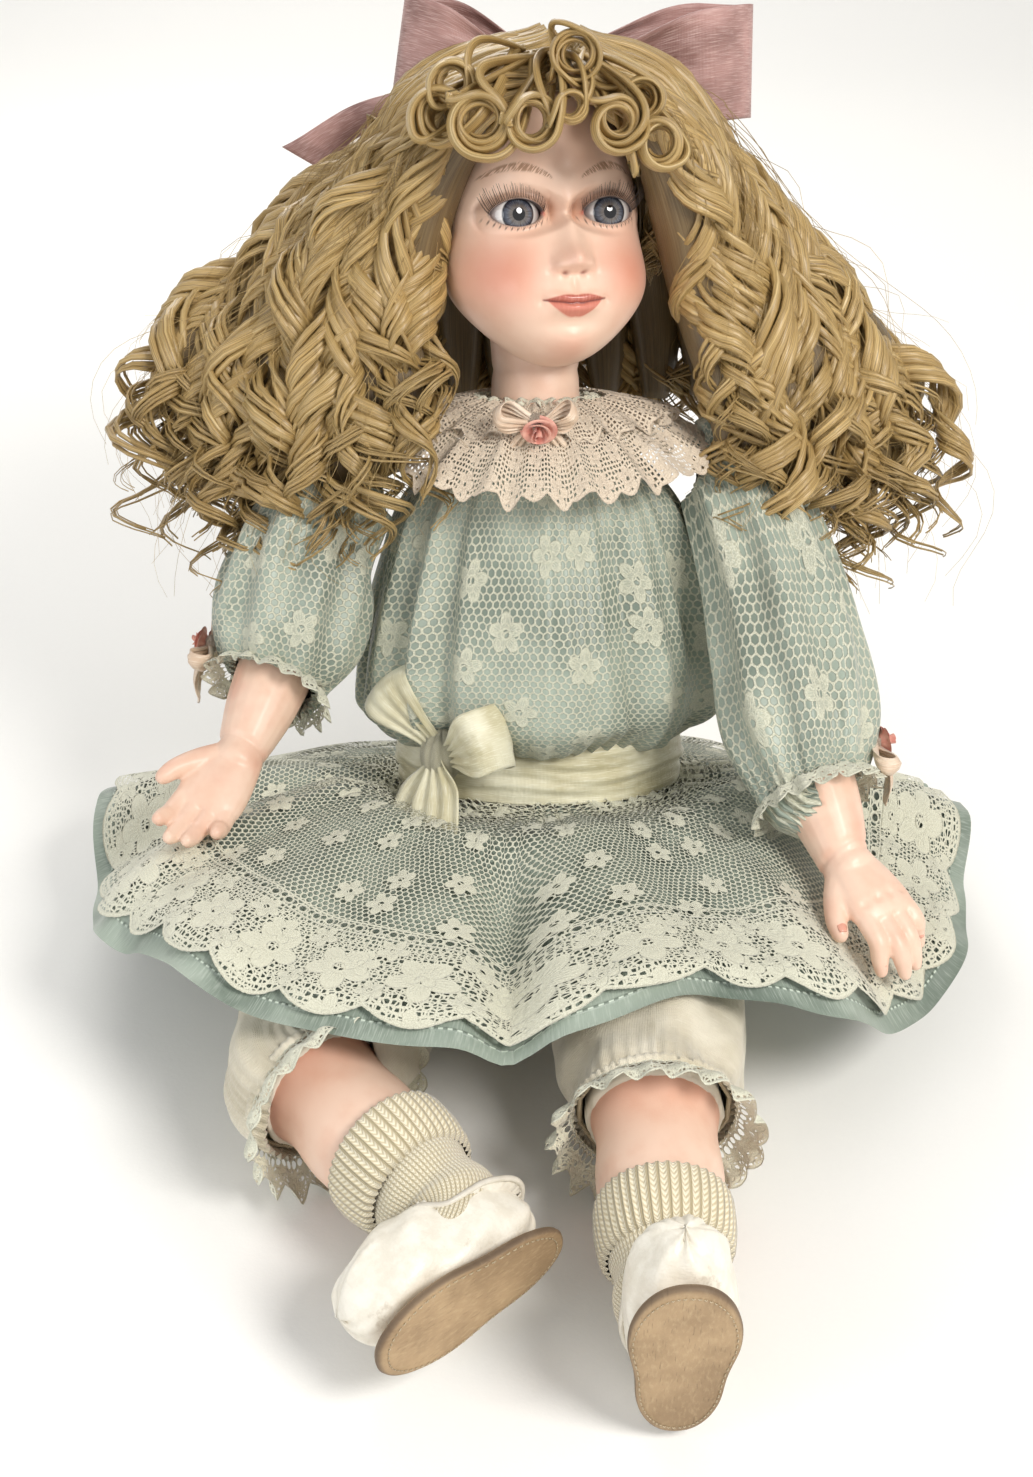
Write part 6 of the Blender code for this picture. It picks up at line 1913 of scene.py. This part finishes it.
# Each mass is a set of guide tresses, from the parting down to the ends of the ringlets.
GUIDES = {
    "right": (
        (
            (0.000, 0.048, 0.344), (-0.028, 0.048, 0.332), (-0.048, 0.050, 0.300),
            (-0.054, 0.046, 0.266), (-0.050, 0.024, 0.236), (-0.036, 0.000, 0.212),
        ),
        (
            (0.002, 0.058, 0.347), (-0.036, 0.054, 0.330), (-0.062, 0.054, 0.292),
            (-0.072, 0.040, 0.252), (-0.070, 0.012, 0.206), (-0.062, -0.008, 0.164),
        ),
        (
            (0.003, 0.070, 0.349), (-0.040, 0.066, 0.328), (-0.076, 0.062, 0.290),
            (-0.094, 0.046, 0.244), (-0.100, 0.020, 0.190), (-0.096, 0.000, 0.130),
        ),
        (
            (0.003, 0.084, 0.349), (-0.042, 0.084, 0.328), (-0.077, 0.084, 0.290),
            (-0.118, 0.066, 0.244), (-0.128, 0.038, 0.190), (-0.122, 0.014, 0.132),
        ),
        (
            (0.003, 0.098, 0.346), (-0.044, 0.102, 0.324), (-0.080, 0.102, 0.286),
            (-0.124, 0.084, 0.240), (-0.150, 0.056, 0.202), (-0.150, 0.030, 0.148),
        ),
        (
            (0.002, 0.110, 0.340), (-0.046, 0.116, 0.314), (-0.080, 0.114, 0.278),
            (-0.128, 0.096, 0.238), (-0.164, 0.072, 0.216), (-0.164, 0.050, 0.176),
        ),
    ),
    "left": (
        (
            (0.016, 0.050, 0.346), (0.044, 0.054, 0.328), (0.060, 0.058, 0.296),
            (0.068, 0.058, 0.262), (0.078, 0.036, 0.230), (0.086, 0.012, 0.192),
        ),
        (
            (0.016, 0.060, 0.348), (0.050, 0.062, 0.326), (0.072, 0.062, 0.290),
            (0.084, 0.054, 0.248), (0.092, 0.024, 0.196), (0.090, 0.000, 0.142),
        ),
        (
            (0.015, 0.072, 0.350), (0.048, 0.072, 0.326), (0.078, 0.070, 0.286),
            (0.098, 0.058, 0.240), (0.108, 0.030, 0.190), (0.106, 0.006, 0.134),
        ),
        (
            (0.014, 0.084, 0.349), (0.052, 0.086, 0.326), (0.081, 0.084, 0.284),
            (0.120, 0.068, 0.238), (0.134, 0.044, 0.190), (0.136, 0.024, 0.134),
        ),
        (
            (0.013, 0.098, 0.346), (0.054, 0.104, 0.320), (0.084, 0.102, 0.280),
            (0.124, 0.082, 0.236), (0.154, 0.052, 0.186), (0.156, 0.032, 0.132),
        ),
        (
            (0.012, 0.110, 0.340), (0.054, 0.118, 0.310), (0.086, 0.114, 0.274),
            (0.128, 0.096, 0.236), (0.160, 0.072, 0.208), (0.158, 0.050, 0.164),
        ),
    ),
    "back": (
        (
            (-0.004, 0.112, 0.338), (-0.040, 0.132, 0.306), (-0.078, 0.142, 0.268),
            (-0.104, 0.138, 0.226), (-0.108, 0.126, 0.186), (-0.102, 0.116, 0.156),
        ),
        (
            (-0.002, 0.114, 0.338), (-0.022, 0.142, 0.306), (-0.048, 0.156, 0.262),
            (-0.062, 0.154, 0.216), (-0.064, 0.142, 0.172), (-0.060, 0.130, 0.142),
        ),
        (
            (0.002, 0.116, 0.338), (0.000, 0.146, 0.306), (-0.004, 0.160, 0.260),
            (-0.010, 0.158, 0.212), (-0.008, 0.146, 0.168), (-0.006, 0.132, 0.138),
        ),
        (
            (0.006, 0.114, 0.338), (0.024, 0.142, 0.306), (0.044, 0.156, 0.262),
            (0.052, 0.154, 0.216), (0.054, 0.142, 0.172), (0.052, 0.130, 0.142),
        ),
        (
            (0.008, 0.112, 0.338), (0.044, 0.132, 0.304), (0.080, 0.140, 0.264),
            (0.102, 0.136, 0.224), (0.108, 0.124, 0.184), (0.104, 0.114, 0.154),
        ),
    ),
}


def hair_paint(name, shade_by=0.0):
    """Combed ash-gold strands running along V, with painted highlights and painted shade in streaks; shade_by
    darkens it all as painted shade where the locks turn under.
    """
    hair = Finish(name, Roughness=0.30, Coat_Weight=0.35, Coat_Roughness=0.28)
    spot = hair.spot("UV")
    along, across = spot.part("X"), spot.part("Y")
    fine = hair.noise(hair.joined(along * 18.0, across * 3400.0), 1.0, 3.0, 0.6)
    broad = hair.noise(hair.joined(along * 9.0, across * 620.0), 1.0, 3.0, 0.6)
    clump = hair.noise(hair.spot(), 26.0, 2.0)
    colour = hair.mix(fine.within(0.28, 0.72), shade(116, 90, 46), shade(212, 180, 118))
    # Painted highlights in the light streaks, and below, painted shade in the dark streaks.
    colour = hair.mix(broad.within(0.52, 0.82) * 0.8, colour, shade(240, 218, 164))
    colour = hair.mix((1 - broad.within(0.18, 0.44)) * 0.6, colour, shade(84, 62, 28))
    colour = hair.mix(clump.within(0.45, 0.75) * 0.35, colour, shade(158, 126, 72))
    # Painted shade over all of the hair, by shade_by.
    if shade_by:
        colour = hair.mix(shade_by, colour, shade(58, 42, 20))
    return hair.done(colour, 0.25 + fine * 0.22, height=fine * 0.7 + broad * 0.5, depth=0.0005)


def between(guides, place):
    """A guide tress part way across a mass."""
    table = np.array(guides, float)
    low = min(int(place * (len(table) - 1)), len(table) - 2)
    part = place * (len(table) - 1) - low
    return table[low] * (1 - part) + table[low + 1] * part


def tress(stations, chance, width, loose, rings=62, reach=1.0, parts=5):
    """One lock of strands: it waves down its guide, winds tighter towards its end and narrows to a tip."""
    run = 1 - (1 - np.linspace(0, 1, rings)) ** 1.4
    path = curve_through(stations, 400)[(run * reach * 399).astype(int)]
    length = distances(path)
    _, first, second = frames_of(path, (0.2, -1.0, 0.1))
    pitch = chance.uniform(0.052, 0.084)
    hand = 1.0 if chance.random() < 0.5 else -1.0
    tight = 1 + 1.5 * eased((run - 0.62) / 0.38)
    phase = chance.uniform(0, 6.28) + 2 * math.pi * np.cumsum(np.gradient(length) * tight) / pitch
    size = loose * (0.10 + 0.90 * eased((run - 0.06) / 0.50))
    size = size * (1 + 0.28 * np.sin(7 * run + chance.uniform(0, 6.28)))
    size = size * (1 + 0.25 * eased((run - 0.75) / 0.25))
    turn = hand * phase
    offset = first * (np.cos(turn) * size)[:, None] + second * (np.sin(turn) * size)[:, None]
    path = path + offset
    taper = (0.50 + 0.50 * eased(run / 0.12)) * (1 - 0.86 * eased((run - 0.70) / 0.30))
    outward = offset * eased((run - 0.2) / 0.2)[:, None] + np.array((0.0, -0.0004, 0.0005)) + first * 0.001
    tangents = unit(np.gradient(path, axis=0))
    normal = unit(outward - tangents * (outward * tangents).sum(axis=1, keepdims=True))
    flat = np.cross(tangents, normal)
    angle = np.linspace(0, 2 * math.pi, 6, endpoint=False)[None, :, None]
    strips = []
    for part in range(parts):
        aside = (part / (parts - 1) * 2 - 1) + chance.gauss(0, 0.10)
        stray = chance.uniform(0, 6.28)
        wander = 0.0007 * np.sin(run * chance.uniform(14, 26) + stray) * eased(run / 0.2)
        hung = 0.0010 * chance.gauss(0, 1.0) * run
        middle = path + flat * (aside * width * taper * 0.86 + wander)[:, None]
        middle = middle + normal * (-0.30 * width * aside**2 * taper + hung + wander)[:, None]
        thick = width * taper * chance.uniform(0.26, 0.40)
        ring = flat[:, None] * np.cos(angle) + normal[:, None] * (np.sin(angle) * 0.75)
        points = middle[:, None] + ring * thick[:, None, None]
        stop = rings - int(chance.uniform(0, 0.10) * rings)
        points = points[:stop]
        u, v = np.meshgrid(length[:stop], np.linspace(0, width * 1.8, 7), indexing="ij")
        shift = chance.uniform(0, 3)
        strips.append(capped((points, np.stack([u + shift, v + shift], axis=-1), True)))
    return strips


def strand(stations, chance, loose):
    """A single fine hair that has come away from its lock."""
    path = curve_through(stations, 40)
    path = path[int(chance.uniform(4, 14)) : int(chance.uniform(28, 40))]
    run = np.linspace(0, 1, len(path))
    _, first, second = frames_of(path, (0.2, -1.0, 0.1))
    phase = chance.uniform(0, 6.28) + run * chance.uniform(8, 22)
    size = loose * (0.3 + run)
    path = path + first * (np.cos(phase) * size)[:, None] + second * (np.sin(phase) * size)[:, None]
    return tube_grid(path, 0.00016 * (1 - 0.6 * run), 4)


def jittered(stations, chance, spread, out):
    """A guide moved aside a little, more towards its end."""
    table = np.array(stations, float)
    grow = np.linspace(0.15, 1.0, len(table))[:, None]
    aside = np.array([chance.gauss(0, spread), chance.gauss(0, spread), chance.gauss(0, spread * 0.8)])
    wander = np.array([[chance.gauss(0, spread * 0.35) for _ in range(3)] for _ in table])
    outward = unit(table - WIG_MIDDLE) * out
    return table + (aside + wander) * grow + outward * grow


def skull_point(way, lift):
    """A point on the wig at a height over the head, from a direction in the head's frame."""
    way = unit(np.asarray(way, float))
    x, y, z = way[..., 0], way[..., 1], way[..., 2]
    deep = np.where(y < 0, HEAD_FRONT, HEAD_BACK)
    tall = np.where(z < 0, HEAD_DOWN, HEAD_UP)
    return stacked(x * (HEAD_HALF_WIDTH + lift), y * (deep + lift), z * (tall + lift))


def make_scalp(under):
    """The wig's base, from the crown down to the hairline, in the under hair with its painted shade."""

    def shape(turn, run):
        angle = 2 * math.pi * turn
        forward = eased((0.10 - np.sin(angle)) / 0.75)
        lowest = math.radians(112) - math.radians(74) * forward
        rise = lowest * run
        way = stacked(np.sin(rise) * np.cos(angle), np.sin(rise) * np.sin(angle), np.cos(rise))
        return skull_point(way, 0.0072 - 0.0058 * eased((run - 0.75) / 0.25))

    scalp = cloth("wig_scalp", shape, 120, 50, (0.30, 0.10), HEAD)
    thicken(scalp, 0.0010, -1.0)
    finished(scalp, under, "head", "hair_crown", slot="hair")


def make_crown(material, under):
    make_scalp(under)
    strips = []
    chance = random.Random(11)
    for index in range(150):
        side = -1 if index % 2 else 1
        back = (index // 2) / 74
        start = unit(np.array((0.05 * side, -0.34 + 1.05 * back, 1.0 - 0.55 * back**2)))
        drop = chance.uniform(0.85, 1.0)
        end = unit(np.array((side * (0.95 - 0.55 * back**2), -0.16 + 1.2 * back, -0.35 * drop)))
        lift = HAIR_DEPTH * chance.uniform(0.72, 1.06)
        rows = []
        for step in range(7):
            t = step / 6
            arch = math.sin(math.pi * t)
            way = unit(start * (1 - t) + end * t + np.array((side * 0.30, 0.1, 0.25)) * arch * 0.6)
            rows.append(tuple(skull_point(way, lift * (0.72 + 0.28 * arch))))
        strips += tress(rows, chance, chance.uniform(0.0034, 0.0056), 0.0036, rings=34, parts=4)
    crown = grids("wig_crown", strips, HEAD)
    finished(crown, material, "head", "wig_cap", slot="hair")


def pin_curl(centre, radius, width, chance, tilt, turns, tail):
    """A lock wound flat into a ring, its outer end led off to a tail."""
    normal = Vector(tilt).normalized()
    at = frame_along(Vector(centre), normal, Vector((0, 0, 1)))
    t = np.linspace(0, 1, 64)
    angle = 2 * math.pi * turns * t + chance.uniform(0, 6.28)
    size = radius * (0.62 + 0.38 * t)
    own = stacked(size * np.cos(angle), size * np.sin(angle), 0.006 * (t - 0.5))
    path = moved(own, at)
    lead = np.array(tail, float)
    more = np.linspace(0, 1, 22)[1:, None]
    way = path[-1] - path[-2]
    way = way / np.linalg.norm(way) * 0.02
    curve = (1 - more) ** 2 * path[-1] + 2 * (1 - more) * more * (path[-1] + way) + more**2 * lead
    path = np.concatenate([path, curve])
    axis = np.array(normal)
    tangents = unit(np.gradient(path, axis=0))
    broad = unit(axis - tangents * (tangents @ axis)[:, None])
    thin = np.cross(tangents, broad)
    run = np.linspace(0, 1, len(path))
    radii = width * (0.45 + 0.55 * eased(run / 0.25))
    turn = np.linspace(0, 2 * math.pi, 12, endpoint=False)[None, :, None]
    groove = 1 + 0.12 * np.cos(3 * turn + 1.0)
    ring = broad[:, None] * (np.cos(turn) * groove) + thin[:, None] * (np.sin(turn) * 0.40 * groove)
    points = path[:, None] + ring * radii[:, None, None]
    length = distances(path)
    u, v = np.meshgrid(length, np.linspace(0, width * 5, 13), indexing="ij")
    return capped((points, np.stack([u, v + chance.uniform(0, 2)], axis=-1), True))


def make_fringe(material):
    chance = random.Random(5)
    rings = (
        ((0.0125, 0.036, 0.3560), 0.0092, 0.0040, (0.006, 0.060, 0.352)),
        ((-0.0225, 0.029, 0.3330), 0.0118, 0.0066, (-0.004, 0.058, 0.349)),
        ((-0.0050, 0.027, 0.3345), 0.0100, 0.0056, (0.002, 0.060, 0.350)),
        ((0.0100, 0.027, 0.3400), 0.0062, 0.0040, (0.006, 0.058, 0.350)),
        ((0.0265, 0.029, 0.3335), 0.0092, 0.0056, (0.014, 0.060, 0.350)),
        ((0.0430, 0.035, 0.3245), 0.0098, 0.0060, (0.022, 0.062, 0.346)),
        ((-0.0370, 0.038, 0.3330), 0.0110, 0.0064, (-0.010, 0.062, 0.348)),
        ((-0.0330, 0.042, 0.3440), 0.0090, 0.0050, (-0.008, 0.066, 0.350)),
        ((0.0370, 0.046, 0.3360), 0.0080, 0.0050, (0.018, 0.066, 0.348)),
    )
    strips = []
    for centre, radius, width, tail in rings:
        for layer in range(3):
            aside = np.array((chance.gauss(0, 0.0006), 0.0016 * layer, chance.gauss(0, 0.0006)))
            tilt = (chance.gauss(0, 0.15), -0.9, 0.35)
            size, turns = radius * (1 - 0.10 * layer), 1.2 + 0.25 * layer
            strips.append(pin_curl(np.array(centre) + aside, size, width * 0.62, chance, tilt, turns, tail))
    fringe = grids("wig_fringe", strips)
    finished(fringe, material, "head", "hair_fringe", slot="hair")


def make_masses(material, under):
    nodes = {
        "right": ("hair_right_front", "hair_right_side"),
        "left": ("hair_left_front", "hair_left_side"),
        "back": ("hair_back",),
    }
    counts = {"right": 80, "left": 80, "back": 74}
    for mass, guides in GUIDES.items():
        chance = random.Random(len(mass) * 7)
        strips = []
        for index in range(counts[mass]):
            place = (index + chance.uniform(0, 1)) / counts[mass]
            inner = (index * 0.618) % 1.0
            rows = jittered(between(guides, place), chance, 0.0060, 0.001 - 0.020 * inner)
            width, loose = chance.uniform(0.0040, 0.0078), chance.uniform(0.0056, 0.0100)
            strips += tress(rows, chance, width, loose, reach=chance.uniform(0.86, 1.0))
        hair = grids(f"wig_{mass}", strips)
        bend_with_neck(hair, material, nodes[mass])

        # Tubes inside each mass in the under hair's painted shade, dark behind its locks.
        core = []
        for index in range(9):
            rows = between(guides, 0.14 + 0.86 * index / 8)
            rows = rows - unit(rows - WIG_MIDDLE) * np.linspace(0.008, 0.022, len(rows))[:, None]
            path = curve_through(rows, 40)[4:35]
            radii = 0.003 + 0.0115 * np.sin(math.pi * np.linspace(0.10, 0.93, len(path)))
            core.append(capped(tube_grid(path, radii, 14)))
        inner_mass = grids(f"wig_under_{mass}", core)
        bend_with_neck(inner_mass, under, ())

        stray = []
        for _ in range(170):
            rows = jittered(between(guides, chance.random()), chance, 0.010, 0.006)
            stray.append(strand(rows, chance, 0.007))
        fly = grids(f"loose_hair_{mass}", stray)
        bend_with_neck(fly, material, ())


def bend_with_neck(hair, material, nodes):
    """Gives the hair its material, bakes its placing into its points and hides any CAD nodes that it stands
    for.
    """
    hair.data.materials.clear()
    hair.data.materials.append(material)
    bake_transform(hair)
    if nodes:
        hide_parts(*nodes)


def make_hair_bow():
    pink = satin("hair_bow_satin", shade(232, 202, 196), shade(192, 150, 144), shade(138, 102, 96), 0.27)

    def loop(side, wide, tall, tilt):
        root = Vector((0.004 + side * 0.006, 0.133, 0.322))
        out = Vector((side * math.cos(tilt), 0.0, math.sin(tilt)))
        up = Vector((-side * math.sin(tilt), 0.0, math.cos(tilt)))
        lean = basis(out, Vector((0, 1, 0)), up, root)

        def shape(turn, run):
            angle = 2 * math.pi * turn
            x = wide * (0.5 - 0.5 * np.cos(angle))
            y = 0.012 * np.sin(angle) * (0.35 + 0.65 * eased(x / wide * 1.6))
            open_up = 0.30 + 0.70 * eased(x / (wide * 0.75))
            z = (run - 0.5) * tall * open_up
            fold = 0.0026 * np.sin(7 * (run - 0.5) * math.pi) * (1 - eased(x / (wide * 0.8)))
            return stacked(x, y + fold, z + 0.002 * np.sin(angle * 2))

        points, uvs, closed = cloth_grid(shape, 80, 26, (wide * 2.2, tall))
        return moved(points, lean), uvs, closed

    def tail(side, long, tilt):
        root = Vector((0.002 + side * 0.004, 0.135, 0.320))
        along = Vector((side * math.cos(tilt), -0.06, -math.sin(tilt)))
        cross_way = Vector((side * math.sin(tilt), 0.0, math.cos(tilt)))
        lay = basis(along.normalized(), Vector((0, 1, 0)), cross_way, root)

        def shape(turn, run):
            x = long * turn
            z = (run - 0.5) * 0.036 * (0.35 + 0.65 * eased(turn / 0.35))
            y = 0.006 * np.sin(3.5 * turn * math.pi)
            y = y + 0.0025 * np.sin(4 * (run - 0.5) * math.pi) * (1 - turn)
            x = x - 0.012 * eased((turn - 0.8) / 0.2) * (1 - np.abs(2 * run - 1))
            return stacked(x, y, z)

        points, uvs, closed = cloth_grid(shape, 60, 20, (long, 0.036))
        return moved(points, lay), uvs, closed

    pieces = [
        loop(1, 0.076, 0.046, 0.04),
        loop(-1, 0.056, 0.042, 0.16),
        tail(-1, 0.106, 0.42),
        tail(1, 0.070, 0.75),
        ball_grid((0.004, 0.129, 0.322), (0.010, 0.009, 0.014)),
    ]
    bow = grids("hair_bow_ribbon", pieces)
    thicken(bow, RIBBON_WALL)
    finished(bow, pink, "head", "hair_bow", slot="mauve_satin")


def make_wig():
    hair = hair_paint("ash_gold_hair")
    # The under hair: the same hair with painted shade over it, for the scalp and the cores of the masses.
    under = hair_paint("under_hair", 0.72)
    make_crown(hair, under)
    make_fringe(hair)
    make_masses(hair, under)
    make_hair_bow()


# ---------------------------------------------------------------- the studio
def make_studio():
    stage = Finish("backdrop_paper", Roughness=0.9)
    spot = stage.spot()
    grain = stage.noise(spot, 700.0, 3.0)
    tone = stage.mix(grain.within(0.3, 0.7) * 0.10, shade(244, 243, 240), shade(236, 235, 232))
    paper = stage.done(tone, 0.9, height=grain, depth=0.00005)
    sweep = np.linspace(0.1, math.pi / 2, 12)
    reach = np.concatenate([np.linspace(-3.0, 1.2, 12), 1.2 + 0.8 * np.sin(sweep)])
    rise = np.concatenate([np.zeros(12), 0.8 * (1 - np.cos(sweep))])
    reach, rise = np.append(reach, 2.0), np.append(rise, 3.0)
    across = np.linspace(-3.0, 3.0, 9)
    points = stacked(across[:, None], reach[None], rise[None] - 0.0006)
    u, v = np.meshgrid(across, reach, indexing="ij")
    floor = grids("backdrop", [(points, np.stack([u, v], -1), False)])
    floor.data.materials.append(paper)

    def light(name, place, aim, size, power, colour):
        lamp = bpy.data.lights.new(name, "AREA")
        lamp.shape = "DISK"
        lamp.size = size
        lamp.energy = power
        lamp.color = colour
        obj = bpy.data.objects.new(name, lamp)
        obj.location = place
        obj.rotation_euler = (Vector(aim) - Vector(place)).to_track_quat("-Z", "Y").to_euler()
        bpy.context.scene.collection.objects.link(obj)

    light("key", (0.75, -0.85, 1.15), (0.0, 0.0, 0.16), 0.55, 17.0, (1.0, 0.97, 0.93))
    light("fill", (-1.2, -0.9, 0.7), (0.0, 0.0, 0.15), 1.1, 7.0, (0.94, 0.97, 1.0))
    light("rim", (-0.3, 1.1, 1.1), (0.0, 0.05, 0.25), 0.7, 9.0, (1.0, 0.98, 0.95))
    world = bpy.data.worlds.new("studio")
    world.use_nodes = True
    world.node_tree.nodes["Background"].inputs["Color"].default_value = (1.0, 1.0, 1.0, 1)
    world.node_tree.nodes["Background"].inputs["Strength"].default_value = 0.55
    bpy.context.scene.world = world
    bpy.context.scene.view_settings.view_transform = "Standard"


def make_camera():
    aim = Vector((-0.0096, -0.018, 0.095))
    height, distance = math.radians(34), 0.88
    camera = bpy.data.cameras.new("camera")
    camera.sensor_fit = "VERTICAL"
    camera.sensor_height = 36
    camera.lens = 52.55
    camera.clip_start = 0.01
    obj = bpy.data.objects.new("camera", camera)
    obj.location = aim + Vector((0, -math.cos(height), math.sin(height))) * distance
    obj.rotation_euler = (math.pi / 2 - height, 0, 0)
    bpy.context.scene.collection.objects.link(obj)
    bpy.context.scene.camera = obj


make_camera()
make_studio()
make_head()
make_neck()
make_eyes()
make_bodice()
make_sash()
make_collar()
make_skirt()
make_arms_and_legs()
make_hidden()
make_wig()
